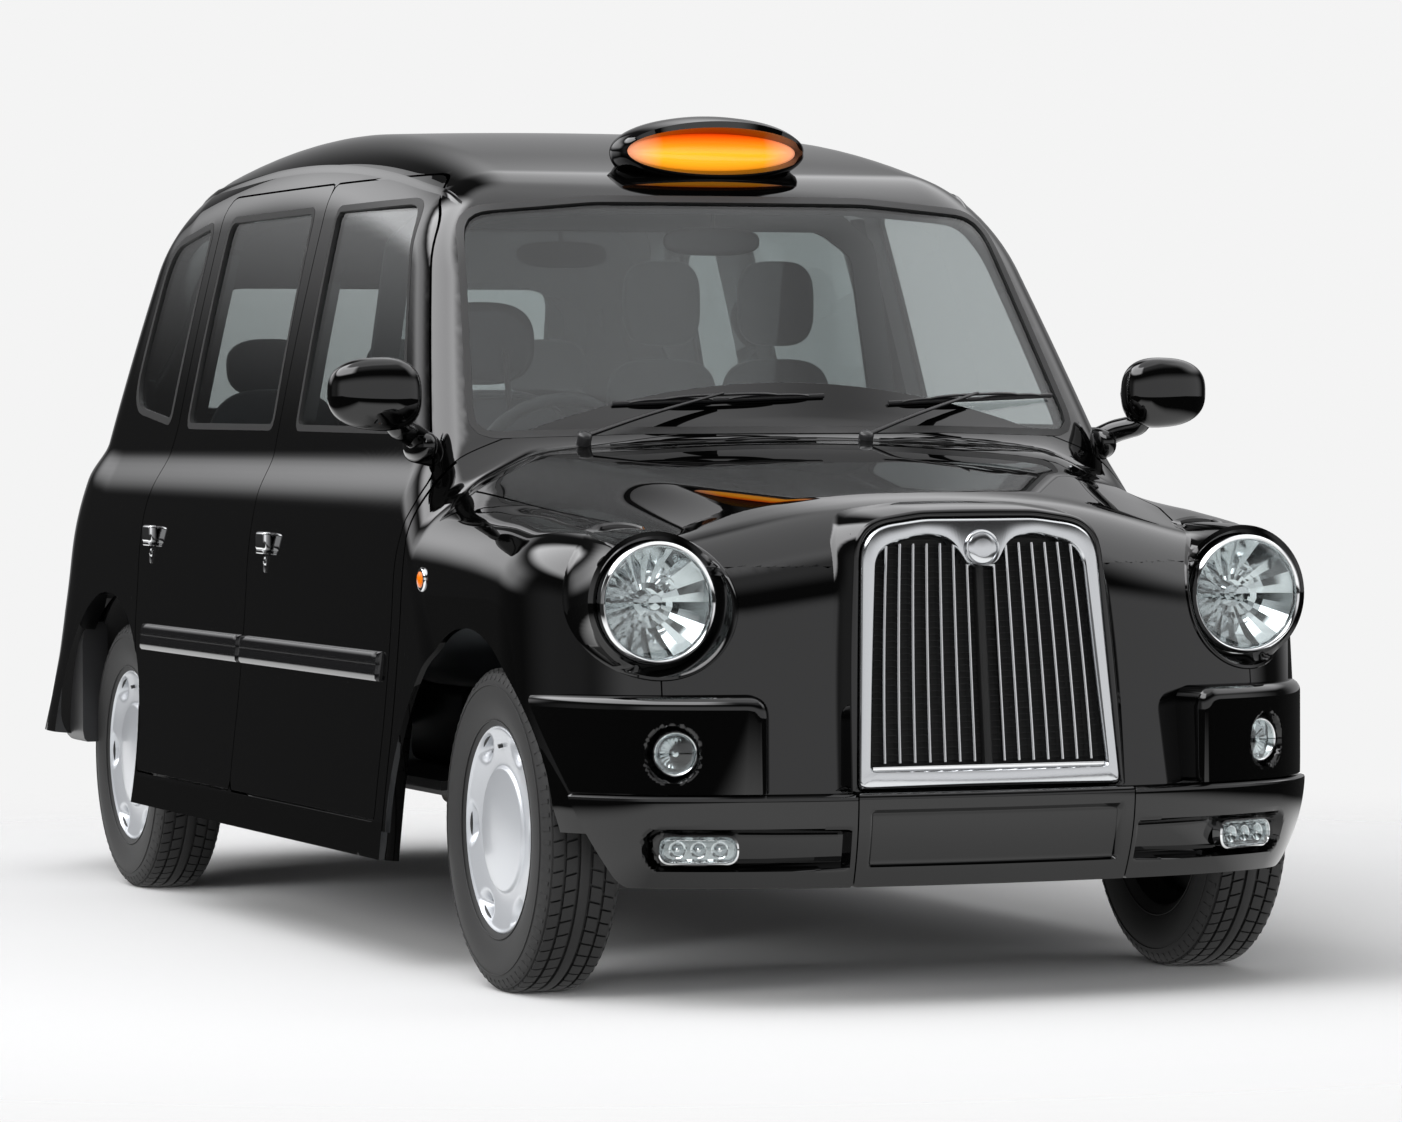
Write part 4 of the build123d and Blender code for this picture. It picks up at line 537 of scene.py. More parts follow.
REAR_WINDOW = round_outline([
    (1.692, 1.148, 0.030), (2.440, 1.152, 0.035), (2.440, 1.664, 0.050), (1.727, 1.664, 0.030),
], 0.03)
QUARTER_WINDOW = round_outline([
    (2.590, 1.160, 0.030), (2.990, 1.200, 0.110), (2.925, 1.612, 0.130), (2.575, 1.662, 0.040),
], 0.03)
SCREEN = round_outline([
    (-0.708, 1.130, 0.050), (-0.35, 1.140, 0.6), (0.35, 1.140, 0.6), (0.708, 1.130, 0.050),
    (0.622, 1.632, 0.085), (0.32, 1.658, 0.6), (-0.32, 1.658, 0.6), (-0.622, 1.632, 0.085),
], 0.05)
BACK_LIGHT = round_outline([(-0.50, 1.19), (0.50, 1.19), (0.475, 1.54), (-0.475, 1.54)], 0.08)
BOOT = round_outline([(-0.52, 0.56), (0.52, 0.56), (0.52, 1.045), (-0.52, 1.045)], 0.06)
BONNET_PLAN = round_outline([
    (-0.742, 0.400, 0.0), (0.742, 0.400, 0.0), (0.672, 0.00, 0.5), (0.556, -0.360, 0.30), (0.510, -0.95, 0.0),
    (-0.510, -0.95, 0.0), (-0.556, -0.360, 0.30), (-0.672, 0.00, 0.5),
], 0.02)
GRILLE_EDGE = round_outline([
    (-0.284, 0.432, 0.014), (0.284, 0.432, 0.014), (0.253, 0.970, 0.075), (-0.253, 0.970, 0.075),
], 0.02)
LAMP_X, LAMP_S, LAMP_Z, LAMP_HOLE = 0.642, -0.488, 0.806, 0.150
FRONT_ARCH = (0.045, 0.338, 0.405)
REAR_ARCH = (WHEELBASE, 0.338, 0.405)
CLIP_END = 0.470
HALF_GAP = SHUT_GAP / 2
PANEL_THICK, PRESSING_THICK = 0.045, 0.012


def round_cut(arch, gap=0.0):
    """Keeps the sheet outside a wheel arch, which is (s, z, radius)."""
    return lambda x, s, z: arch[2] + gap - np.hypot(s - arch[0], z - arch[1])


def lamp_cut(x, s, z):
    """Keeps the sheet outside the round hole of a headlamp."""
    return np.where(s > -0.2, -1.0, LAMP_HOLE - np.hypot(x - LAMP_X, z - LAMP_Z))


# %% [markdown]
# ## Cab shell
# The cab's roof, pillars, rear quarters, tail and sills are welded and lead-loaded into one painted shell,
# so they are one mesh here. Its walls keep one thickness all over, and are painted inside as they are outside.

# %% Cab shell
shell_net = panel_net(
    lambda x, s, z: CLIP_END + 0.003 - s,
    lambda x, s, z: np.where(s > 3.1, 0.372, 0.240) - z,
    side_cut(FRONT_DOOR, HALF_GAP, False),
    side_cut(REAR_DOOR, HALF_GAP, False),
    side_cut(QUARTER_WINDOW, 0.0, False),
    round_cut(REAR_ARCH),
    lambda x, s, z: np.where(s > 2.0, -1.0, -outline_distance(SCREEN, x, z)),
    lambda x, s, z: np.where(s < 3.0, -1.0, -outline_distance(BACK_LIGHT, x, z)),
    lambda x, s, z: np.where(s < 3.3, -1.0, HALF_GAP - outline_distance(BOOT, x, z)),
)
cab_shell = sheet_panel("cab_shell", both_halves(*shell_net), PANEL_THICK, coach_paint,
                        stands_for=("roof_panel", "side_frame_left", "side_frame_right", "rear_panel"),
                        slot="black_paint")
print("cab shell:", len(cab_shell.data.polygons), "faces")

# %% Doors
for side, sign in (("left", 1), ("right", -1)):
    for place, door_line, window_line in (("front", FRONT_DOOR, FRONT_WINDOW), ("rear", REAR_DOOR, REAR_WINDOW)):
        arch = [round_cut(REAR_ARCH, SHUT_GAP)] if place == "rear" else []
        leaf = panel_net(side_cut(door_line, HALF_GAP), side_cut(window_line, 0.0, False), *arch)
        sheet_panel(f"{place}_door_leaf_{side}", mirrored_net(leaf, sign), PANEL_THICK, coach_paint,
                    f"door_{place}_{side}", (f"{place}_door_{side}",), "black_paint")
print("doors done")

# %% [markdown]
# ## Front clip
# Wings, nose panel and bonnet are thinner outer pressings that bolt on. The bonnet's centre stands proud of
# the wings between two creases that run from the grille's corners to the windscreen's.

# %% Front clip
BONNET_LIP_Z = 0.872
for side, sign in (("left", 1), ("right", -1)):
    wing = panel_net(
        lambda x, s, z: s - CLIP_END + 0.003,
        lambda x, s, z: 0.300 - z,
        lambda x, s, z: np.where(z < 0.80, -1.0, HALF_GAP - outline_distance(BONNET_PLAN, x, s)),
        lambda x, s, z: np.where(s > -0.30, -1.0, np.where(z > LAMP_Z, 0.500 - x, LAMP_X + 0.0015 - x)),
        lambda x, s, z: np.where(s > -0.30, -1.0, 0.35 - z),
        side_cut(FRONT_DOOR, HALF_GAP, False),
        round_cut(FRONT_ARCH),
        lamp_cut,
    )
    sheet_panel(f"front_wing_skin_{side}", mirrored_net(wing, sign), PRESSING_THICK, coach_paint, "body",
                (f"front_wing_{side}",), "black_paint")
nose_net = panel_net(
    lambda x, s, z: s + 0.30,
    lambda x, s, z: x - LAMP_X + 0.0015,
    lambda x, s, z: 0.350 - z,
    lambda x, s, z: HALF_GAP - outline_distance(BONNET_PLAN, x, s) + np.where(z < BONNET_LIP_Z, -1.0, 0.0),
    lambda x, s, z: np.where(x > 0.500, z - LAMP_Z, -1.0),
    lambda x, s, z: 0.003 - outline_distance(GRILLE_EDGE, x, z),
    lamp_cut,
)
sheet_panel("front_panel_skin", both_halves(*nose_net), PRESSING_THICK, coach_paint, "body", ("front_panel",),
            "black_paint")
bonnet_net = panel_net(
    lambda x, s, z: s - 0.366,
    lambda x, s, z: outline_distance(BONNET_PLAN, x, s) + HALF_GAP,
    lambda x, s, z: BONNET_LIP_Z + 0.003 - z,
    lambda x, s, z: 0.003 - outline_distance(GRILLE_EDGE, x, z),
)
sheet_panel("bonnet_skin", both_halves(*bonnet_net), PRESSING_THICK, coach_paint, "bonnet", ("bonnet",), "black_paint")
print("front clip done")

# %% [markdown]
# Turned and swept pieces share three small builders: a loft through rings of points, a profile turned about
# an axis, and a tube along a path.

# %% Lofts, turned pieces and tubes


def loft(rings, closed=True, caps=True, loop=False):
    """Points and faces through rings that all have the same number of points. With loop, the last ring joins
    the first."""
    points = np.vstack(rings)
    n, m = len(rings), len(rings[0])
    faces = []
    for i in range(n if loop else n - 1):
        a, b = i * m, ((i + 1) % n) * m
        for k in range(m if closed else m - 1):
            j = (k + 1) % m
            faces.append((a + k, a + j, b + j, b + k))
    if caps and closed and not loop:
        faces.append(tuple(range(m))[::-1])
        faces.append(tuple(range((n - 1) * m, n * m)))
    return points, faces


def axes_about(axis):
    """Two directions square to an axis, and the axis itself."""
    a = np.array(axis, float) / np.linalg.norm(axis)
    side = np.cross((0, 0, 1) if abs(a[2]) < 0.9 else (1, 0, 0), a)
    side /= np.linalg.norm(side)
    return side, np.cross(a, side), a


def turned_piece(profile, centre, axis, sides=64, caps=True, wobble=None):
    """A profile of (radius, distance along the axis) turned about the axis."""
    u, v, a = axes_about(axis)
    angles = np.linspace(0, 2 * pi, sides, endpoint=False)
    rings = []
    for radius, along in profile:
        r = radius * np.ones(sides)
        h = along * np.ones(sides)
        if wobble:
            r, h = wobble(r, h, angles)
        rings.append(np.array(centre) + np.outer(r * np.cos(angles), u) + np.outer(r * np.sin(angles), v)
                     + np.outer(h, a))
    return loft(rings, caps=caps)


def tube(path, radii, sides=16, flat=1.0):
    """A round bar along a path, with its own radius at each point."""
    path = np.array(path, float)
    radii = np.ones(len(path)) * radii
    heading = np.gradient(path, axis=0)
    heading /= np.linalg.norm(heading, axis=1, keepdims=True)
    side, lift, _ = axes_about(heading[0])
    rings = []
    angles = np.linspace(0, 2 * pi, sides, endpoint=False)
    for here, way, r in zip(path, heading, radii):
        side = side - way * (side @ way)
        side /= np.linalg.norm(side)
        lift = np.cross(way, side)
        rings.append(here + np.outer(r * np.cos(angles), side) + np.outer(r * flat * np.sin(angles), lift))
    return loft(rings)


def joined(*nets):
    """Several nets as one."""
    points, faces, count = [], [], 0
    for p, f in nets:
        points.append(np.asarray(p, float))
        faces += [tuple(i + count for i in face) for face in f]
        count += len(p)
    return np.vstack(points), faces


def bowed(points, steps):
    """A smooth path through a few points."""
    points = np.array(points, float)
    where = np.arange(len(points))
    fine = np.linspace(0, len(points) - 1, steps)
    out = []
    for t in fine:
        i = min(int(t), len(points) - 2)
        u = t - i
        p0, p1, p2, p3 = points[max(i - 1, 0)], points[i], points[i + 1], points[min(i + 2, len(points) - 1)]
        out.append(0.5 * ((2 * p1) + (p2 - p0) * u + (2 * p0 - 5 * p1 + 4 * p2 - p3) * u ** 2
                          + (3 * p1 - p0 - 3 * p2 + p3) * u ** 3))
    return np.array(out)


def pillow(centre, half, power=2.6, around=40, up=24, bend=None):
    """A closed cushion-like form: a box with very round sides."""
    angles = np.linspace(0, 2 * pi, around, endpoint=False)
    rises = np.linspace(-pi / 2, pi / 2, up)
    curve = lambda value: np.sign(value) * np.abs(value) ** (2 / power)
    rings = []
    for rise in rises[1:-1]:
        x = half[0] * curve(np.cos(rise)) * curve(np.cos(angles))
        y = half[1] * curve(np.cos(rise)) * curve(np.sin(angles))
        z = half[2] * curve(np.sin(rise)) * np.ones(around)
        ring = np.stack([x, y, z], axis=1)
        rings.append(bend(ring) if bend else ring)
    points, faces = loft(rings)
    return points + np.array(centre), faces


def put(name, net, finish, **more):
    """An object whose net is written with s, the place back from the front axle."""
    points, faces = net
    return made(name, rowed(np.asarray(points, float)), faces, finish, **more)


def dress(names, finish):
    """A CAD solid that stays as it is gets its finish."""
    for name in names:
        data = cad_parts[name].data
        data.materials.clear()
        data.materials.append(finish)


# %% [markdown]
# ## Glass
# The panes are cut from the body's own surface, set a few millimetres inside it, and held by black rubber.

# %% Windows
PANE_REACH = 0.010


def window_distance(outline, view):
    """Signed distance from a window's edge, drawn in front or in side view."""
    across = {"front": 0, "side": 1}[view]
    return lambda *place: outline_distance(outline, place[across], place[2])


def window_band(outline, view, limits, outward, inward):
    """The net of a seal: the strip each side of a window's edge."""
    distance = window_distance(outline, view)
    return panel_net(*limits, lambda *place: distance(*place) - outward, lambda *place: -distance(*place) - inward)


def pane(outline, view, *limits):
    """The net of a pane, which goes a little past the window's edge into its rubber."""
    distance = window_distance(outline, view)
    return panel_net(*limits, lambda *place: distance(*place) - PANE_REACH)


front_half = lambda x, s, z: s - 1.5
back_half = lambda x, s, z: 3.0 - s
screen_net = both_halves(*pane(SCREEN, "front", front_half))
light_net = both_halves(*pane(BACK_LIGHT, "front", back_half))
quarter_net = both_halves(*pane(QUARTER_WINDOW, "side"))
sheet_panel("fixed_panes", joined(screen_net, light_net, quarter_net), 0.004, window_glass, "body",
            ("fixed_windows",), "glass", lift=-0.005, bevel=0.0)
seal_nets = (both_halves(*window_band(SCREEN, "front", [front_half], 0.003, 0.012)),
             both_halves(*window_band(BACK_LIGHT, "front", [back_half], 0.004, 0.014)),
             both_halves(*window_band(QUARTER_WINDOW, "side", [], 0.003, 0.014)))
sheet_panel("fixed_seals", joined(*seal_nets), 0.010, seal_rubber, "body", (), "black_plastic", lift=0.0006,
            bevel=0.001)
for side, sign in (("left", 1), ("right", -1)):
    for place, outline in (("front", FRONT_WINDOW), ("rear", REAR_WINDOW)):
        body = f"door_{place}_{side}"
        sheet_panel(f"{place}_door_pane_{side}", mirrored_net(pane(outline, "side"), sign), 0.004, window_glass, body,
                    (f"{place}_door_glass_{side}",), "glass", lift=-0.006, bevel=0.0)
        sheet_panel(f"{place}_door_seal_{side}", mirrored_net(window_band(outline, "side", [], 0.002, 0.013), sign),
                    0.010, seal_rubber, body, (), "trim", lift=0.0006, bevel=0.001)
print("windows done")

# %% [markdown]
# ## Bumpers
# The front bumper is a moulded cover: a lower bar with pockets for the fog lamps and a plain plate recess,
# and two raised blocks over it with a round pocket for each indicator. It is drawn as a net over its plan
# curve, pushed in where the pockets are.

# %% Front bumper


def bumper_plan():
    """The left half of the bumper's plan: points (x, s), outward normals and arc length."""
    alphas = np.radians(np.linspace(0, 104, 800))
    field = lambda x, s: round_max(x - 0.880, (-0.700 + 0.13 * x ** 2 + 0.35 * x ** 4) - s, 0.20)
    reach = met(lambda d: field(np.sin(alphas) * d, -0.36 - np.cos(alphas) * d) > 0, np.zeros(800), np.full(800, 1.6))
    x, s = np.sin(alphas) * reach, -0.36 - np.cos(alphas) * reach
    run = np.concatenate([[0], np.cumsum(np.hypot(np.diff(x), np.diff(s)))])
    return x, s, np.abs(np.gradient(s, run)), -np.gradient(x, run), run


PLAN_X, PLAN_S, PLAN_NX, PLAN_NS, PLAN_RUN = bumper_plan()
print("bumper plan:", round(PLAN_RUN[-1], 3), "m a side")
BEFORE_CORNER = slice(0, 620)


def run_at_x(x):
    """How far round the bumper's plan a place x is, short of the corner."""
    return float(np.interp(x, PLAN_X[BEFORE_CORNER], PLAN_RUN[BEFORE_CORNER]))


def run_at_s(s):
    """How far round the bumper's plan a place s is."""
    return float(np.interp(s, PLAN_S, PLAN_RUN))


def on_plan(run, sign, z):
    """A point on the bumper's plan at height z, and the way out of it, on the left (sign 1) or the right."""
    x, s, nx, ns = (float(np.interp(run, PLAN_RUN, table)) for table in (PLAN_X, PLAN_S, PLAN_NX, PLAN_NS))
    return np.array([sign * x, s, z]), np.array([sign * nx, ns, 0.0])


# %% Bumper nets


def bumper_net(outline, pitch, inset):
    """A net over the bumper's plan, cut to an outline of (run, height) and pushed in by inset(run, height)."""
    low, high = outline.min(axis=0) - pitch, outline.max(axis=0) + pitch
    runs = np.arange(max(low[0], 0.0), high[0] + pitch, pitch)
    heights = np.arange(low[1], high[1] + pitch, pitch)
    U, Z = np.meshgrid(runs, heights, indexing="ij")
    n, m = U.shape
    ids = np.arange(n * m).reshape(n, m)
    quads = np.stack([ids[:-1, :-1], ids[1:, :-1], ids[1:, 1:], ids[:-1, 1:]], axis=-1).reshape(-1, 4)
    flat = np.stack([U.ravel(), 0 * U.ravel(), Z.ravel()], axis=1)
    flat, faces = cut_net(flat, quads, outline_distance(outline, flat[:, 0], flat[:, 2]))
    u, z = flat[:, 0], flat[:, 2]
    deep = inset(u, z)
    x, s = np.interp(u, PLAN_RUN, PLAN_X), np.interp(u, PLAN_RUN, PLAN_S)
    nx, ns = np.interp(u, PLAN_RUN, PLAN_NX), np.interp(u, PLAN_RUN, PLAN_NS)
    front = np.stack([x - nx * deep, s - ns * deep, z], axis=1)
    return front, faces, np.stack([nx, ns, 0 * nx], axis=1)


def moulding(front, faces, normals, thick):
    """A moulding with a front net and a plain back."""
    return closed_shell(front, front - normals * thick, faces)


def step(distance, reach):
    """0 outside an outline, 1 inside, and an eased ramp of the given reach between."""
    t = np.clip(-distance / reach, 0, 1)
    return t * t * (3 - 2 * t)


def edge_round(distance, radius):
    """How far a rounded edge drops back near an outline."""
    d = np.clip(radius + distance, 0, radius)
    return radius - np.sqrt(np.maximum(radius ** 2 - d ** 2, 0))


# %% Bumper outlines and pockets, as (run, height)
END_TOP, END_MID, END_FOOT = run_at_s(-0.290), run_at_s(-0.415), run_at_s(-0.500)
SEAM = run_at_x(0.298)
block_line = round_outline([(run_at_x(0.470), 0.433, 0.004), (END_MID, 0.433, 0.004), (END_TOP, 0.625, 0.01),
                            (run_at_x(0.470), 0.625, 0.045)], 0.01, 10)
block_edge = round_outline([(run_at_x(0.470), 0.20, 0.0), (END_TOP + 0.3, 0.20, 0.0), (END_TOP + 0.3, 0.625, 0.0),
                            (run_at_x(0.470), 0.625, 0.045)], 0.01, 10)
bar_line = round_outline([(SEAM + 0.0015, 0.245, 0.004), (END_FOOT, 0.245, 0.05), (END_MID, 0.430, 0.004),
                          (SEAM + 0.0015, 0.430, 0.004)], 0.004, 8)
middle_line = round_outline([(-0.02, 0.245, 0.0), (SEAM - 0.0015, 0.245, 0.004), (SEAM - 0.0015, 0.432, 0.004),
                             (-0.02, 0.432, 0.0)], 0.004)
fog_pocket = round_outline([(run_at_x(0.308), 0.283, 0.008), (run_at_x(0.706), 0.279, 0.044),
                            (run_at_x(0.706), 0.367, 0.044), (run_at_x(0.308), 0.363, 0.008)], 0.01, 10)
plate_pocket = round_outline([(-0.30, 0.284, 0), (run_at_x(0.272), 0.284, 0.006), (run_at_x(0.272), 0.399, 0.006),
                              (-0.30, 0.399, 0)], 0.006)
INDICATOR_RUN, FOG_RUN = run_at_x(0.651), run_at_x(0.607)
INDICATOR_Z, FOG_Z = 0.512, 0.323


def tuck(z):
    """The bumper's face leans under towards its foot."""
    return 0.045 * (np.clip(0.43 - z, 0, 1) / 0.185) ** 2


def block_inset(u, z):
    """How deep the raised block is pushed in: round edges, and the indicator's pocket."""
    edge = outline_distance(block_edge, u, z)
    pocket = np.hypot(u - INDICATOR_RUN, z - INDICATOR_Z) - 0.057
    return 0.010 + edge_round(edge, 0.024) + 0.034 * step(pocket, 0.012)


def bar_inset(u, z):
    """How deep the lower bar is pushed in: its lip, and the fog lamps' pocket."""
    pocket = outline_distance(fog_pocket, u, z)
    lip = edge_round(z - 0.430, 0.008)
    return tuck(z) + lip + 0.036 * step(pocket, 0.012)


def middle_inset(u, z):
    """How deep the middle is pushed in: a slight bow, its lip, and the plain plate recess."""
    pocket = outline_distance(plate_pocket, u, z)
    bow = 0.004 * np.clip(u / SEAM, 0, 1)
    return tuck(z) - 0.004 + bow + edge_round(z - 0.432, 0.008) + 0.014 * step(pocket, 0.008)


# %% Front bumper cover
blocks = moulding(*bumper_net(block_line, 0.0045, block_inset), 0.085)
bars = moulding(*bumper_net(bar_line, 0.005, bar_inset), 0.050)
middle = moulding(*bumper_net(middle_line, 0.005, middle_inset), 0.050)
put("front_bumper_cover", joined(blocks, mirrored_net(blocks), bars, mirrored_net(bars), middle,
                                 mirrored_net(middle)), coach_paint, stands_for=("front_bumper",),
    slot="black_paint", bevel=0.001, angle=50)
print("front bumper done")

# %% [markdown]
# ## Grille
# The grille is the cab's face: a heavy chromed casting whose inner edge dips round a plain badge disc, with
# fifteen thin bright bars standing in front of black mesh.

# %% Grille
GRILLE_FOOT, GRILLE_LEAN = np.array([0.0, -0.648, 0.437]), radians(6.6)
GRILLE_UP = np.array([0.0, sin(GRILLE_LEAN), cos(GRILLE_LEAN)])
GRILLE_OUT = np.array([0.0, -cos(GRILLE_LEAN), sin(GRILLE_LEAN)])


def on_grille(x, up, out):
    """Points in front of the grille's plane."""
    x, up, out = np.broadcast_arrays(np.asarray(x, float), np.asarray(up, float), np.asarray(out, float))
    bow = 0.10 * x ** 2
    base = GRILLE_FOOT + np.outer(up.ravel(), GRILLE_UP) + np.outer(out.ravel() - bow.ravel(), GRILLE_OUT)
    base[:, 0] += x.ravel()
    return base


def ray_outline(outline, centre, count):
    """Where rays from a centre meet an outline, at even angles."""
    found = []
    for angle in np.linspace(0, 2 * pi, count, endpoint=False):
        way = np.array([cos(angle), sin(angle)])
        best = 0.0
        for a, b in zip(outline, np.roll(outline, -1, axis=0)):
            edge = b - a
            det = way[0] * -edge[1] + edge[0] * way[1]
            if abs(det) < 1e-12:
                continue
            to = a - centre
            t = (to[0] * -edge[1] + edge[0] * to[1]) / det
            u = (way[0] * to[1] - way[1] * to[0]) / det
            if -1e-9 <= u <= 1 + 1e-9 and t > best:
                best = t
        found.append(centre + way * best)
    return np.array(found)


# %% Grille surround and badge disc
SURROUND_OUT = round_outline([(-0.282, 0.0, 0.012), (0.282, 0.0, 0.012), (0.252, 0.517, 0.085), (0.12, 0.535, 0.25),
                              (-0.12, 0.535, 0.25), (-0.252, 0.517, 0.085)], 0.02, 10)
SURROUND_IN = round_outline([
    (-0.254, 0.037, 0.010), (0.254, 0.037, 0.010), (0.222, 0.478, 0.060), (0.120, 0.502, 0.10), (0.060, 0.492, 0.06),
    (0.030, 0.436, 0.030), (-0.030, 0.436, 0.030), (-0.060, 0.492, 0.06), (-0.120, 0.502, 0.10),
    (-0.222, 0.478, 0.060)], 0.02, 10)
GRILLE_MIDDLE, ROUND_COUNT = np.array([0.0, 0.24]), 300
outer, inner = (ray_outline(line, GRILLE_MIDDLE, ROUND_COUNT) for line in (SURROUND_OUT, SURROUND_IN))
toward = (inner - outer) / np.linalg.norm(inner - outer, axis=1, keepdims=True)
loops = []
for ring, shift, out in ((outer, 0.0, -0.030), (outer, 0.0, 0.006), (outer, 0.003, 0.011), (outer, 0.008, 0.013),
                         (inner, -0.006, 0.011), (inner, -0.001, 0.006), (inner, 0.001, -0.004),
                         (inner, 0.0015, -0.030)):
    flat = ring + toward * shift
    loops.append(on_grille(flat[:, 0], flat[:, 1], np.full(ROUND_COUNT, out)))
surround = loft(loops, caps=False, loop=True)
badge_at = on_grille(0, 0.474, 0.0)[0]
badge = turned_piece([(0.0005, 0.020), (0.018, 0.0195), (0.029, 0.0175), (0.0315, 0.0155), (0.0325, 0.0185),
                      (0.0355, 0.0195), (0.0375, 0.0165), (0.0380, 0.006), (0.0380, -0.012), (0.0005, -0.012)],
                     badge_at, GRILLE_OUT, 72)
put("grille_surround_casting", joined(surround, badge), satin_chrome, stands_for=("grille_surround",), slot="chrome",
    angle=38)
# %% Grille bars and mesh
bars = []
BAR_SECTION = [(-0.0036, -0.022), (-0.0036, 0.0), (-0.0022, 0.0042), (0, 0.0056), (0.0022, 0.0042), (0.0036, 0.0),
               (0.0036, -0.022)]
for i in (*range(-7, 0), *range(1, 8)):  # the middle place is the post's
    share = i / 8
    foot, head = share * 0.256, share * 0.226
    ups = np.linspace(0.030, 0.506, 24)
    middle_x = foot + (head - foot) * (ups / 0.5) ** 1.6
    inside = outline_distance(SURROUND_IN, middle_x, ups) < 0.006
    ups, middle_x = ups[inside], middle_x[inside]
    bars.append(loft([on_grille([x + w for w, _ in BAR_SECTION], [up] * 7, [o for _, o in BAR_SECTION])
                      for up, x in zip(ups, middle_x)]))
RAIL_UPS, RAIL_OUTS = [0.034, 0.034, 0.037, 0.044, 0.046, 0.046], [-0.02, 0.001, 0.005, 0.005, 0.001, -0.02]
rail = loft([on_grille([x] * 6, RAIL_UPS, RAIL_OUTS) for x in np.linspace(-0.250, 0.250, 30)])
put("grille_bar_row", joined(*bars, rail), chrome_plate, stands_for=("grille_bars",), slot="chrome", angle=60)
mesh_net = loft([on_grille(np.linspace(-0.262, 0.262, 12), np.full(12, up), np.full(12, out))
                 for up, out in ((0.02, -0.036), (0.02, -0.026), (0.51, -0.026), (0.51, -0.036))], closed=False,
                loop=True)
cells = []
for up in np.arange(0.045, 0.50, 0.0125):
    ups, outs = [up - 0.001, up + 0.001, up + 0.001, up - 0.001], [-0.026, -0.026, -0.021, -0.021]
    cells.append(loft([on_grille([x] * 4, ups, outs) for x in (-0.255, -0.13, 0, 0.13, 0.255)]))
POST_XS, POST_OUTS = [-0.008, -0.008, -0.004, 0.004, 0.008, 0.008], [-0.022, -0.004, 0.0, 0.0, -0.004, -0.022]
post = loft([on_grille(POST_XS, [up] * 6, POST_OUTS) for up in np.linspace(0.040, 0.440, 12)])
put("grille_mesh", joined(mesh_net, *cells, post), dark_mesh, stands_for=("grille_back",), slot="black_plastic")
# %% [markdown]
# The body is lower than the grille's rim, so a painted fairing runs from one to the other. It is a loft whose
# last two rings lie on the body's own surface.

# %% Grille fairing
FAIRING_FOOT = 0.4335
away = outer - GRILLE_MIDDLE
away /= np.linalg.norm(away, axis=1, keepdims=True)
gutter = []
for shift, out in ((0.0025, -0.030), (0.0025, 0.002), (0.006, 0.0055), (0.014, 0.0045), (0.019, 0.000)):
    ring = outer + away * shift
    gutter.append(on_grille(ring[:, 0], ring[:, 1], np.full(ROUND_COUNT, out)))


def nose_surface(x, z):
    """Where the body's front surface stands at x and z."""
    return met(lambda s: body_field(x, s, z) > 0, np.full(x.shape, -0.25), np.full(x.shape, -0.90))


for shift, sink in ((0.030, -0.0035), (0.046, 0.0010)):
    ring = outer + away * shift
    place = on_grille(ring[:, 0], ring[:, 1], np.zeros(ROUND_COUNT))
    place[:, 2] = np.maximum(place[:, 2], FAIRING_FOOT)
    s = nose_surface(place[:, 0], place[:, 2])
    gutter.append(np.stack([place[:, 0], np.maximum(s + sink, place[:, 1] + 0.004), place[:, 2]], axis=1))
for ring in gutter:
    ring[:, 2] = np.maximum(ring[:, 2], FAIRING_FOOT)
put("grille_fairing", loft(gutter, caps=False), coach_paint, slot="black_paint", angle=60)
print("grille done")

# %% [markdown]
# ## Lamps
# Each round headlamp is a clear lens over a faceted reflector, in a bright rim, sunk in a painted ring. All of
# them are turned about the lamp's axis, and the reflector's facets are a small wobble of its profile.

# %% Headlamps


def facets(depth, reach_from, reach_to):
    """A wobble that folds a turned reflector into flat-looking ribs between two radii."""
    def wobble(r, h, angles):
        """Every other place round the reflector stands forward."""
        fold = np.where(np.arange(len(angles)) % 2, 1, -1)
        return r, h + depth * fold * ((r > reach_from) & (r < reach_to))
    return wobble


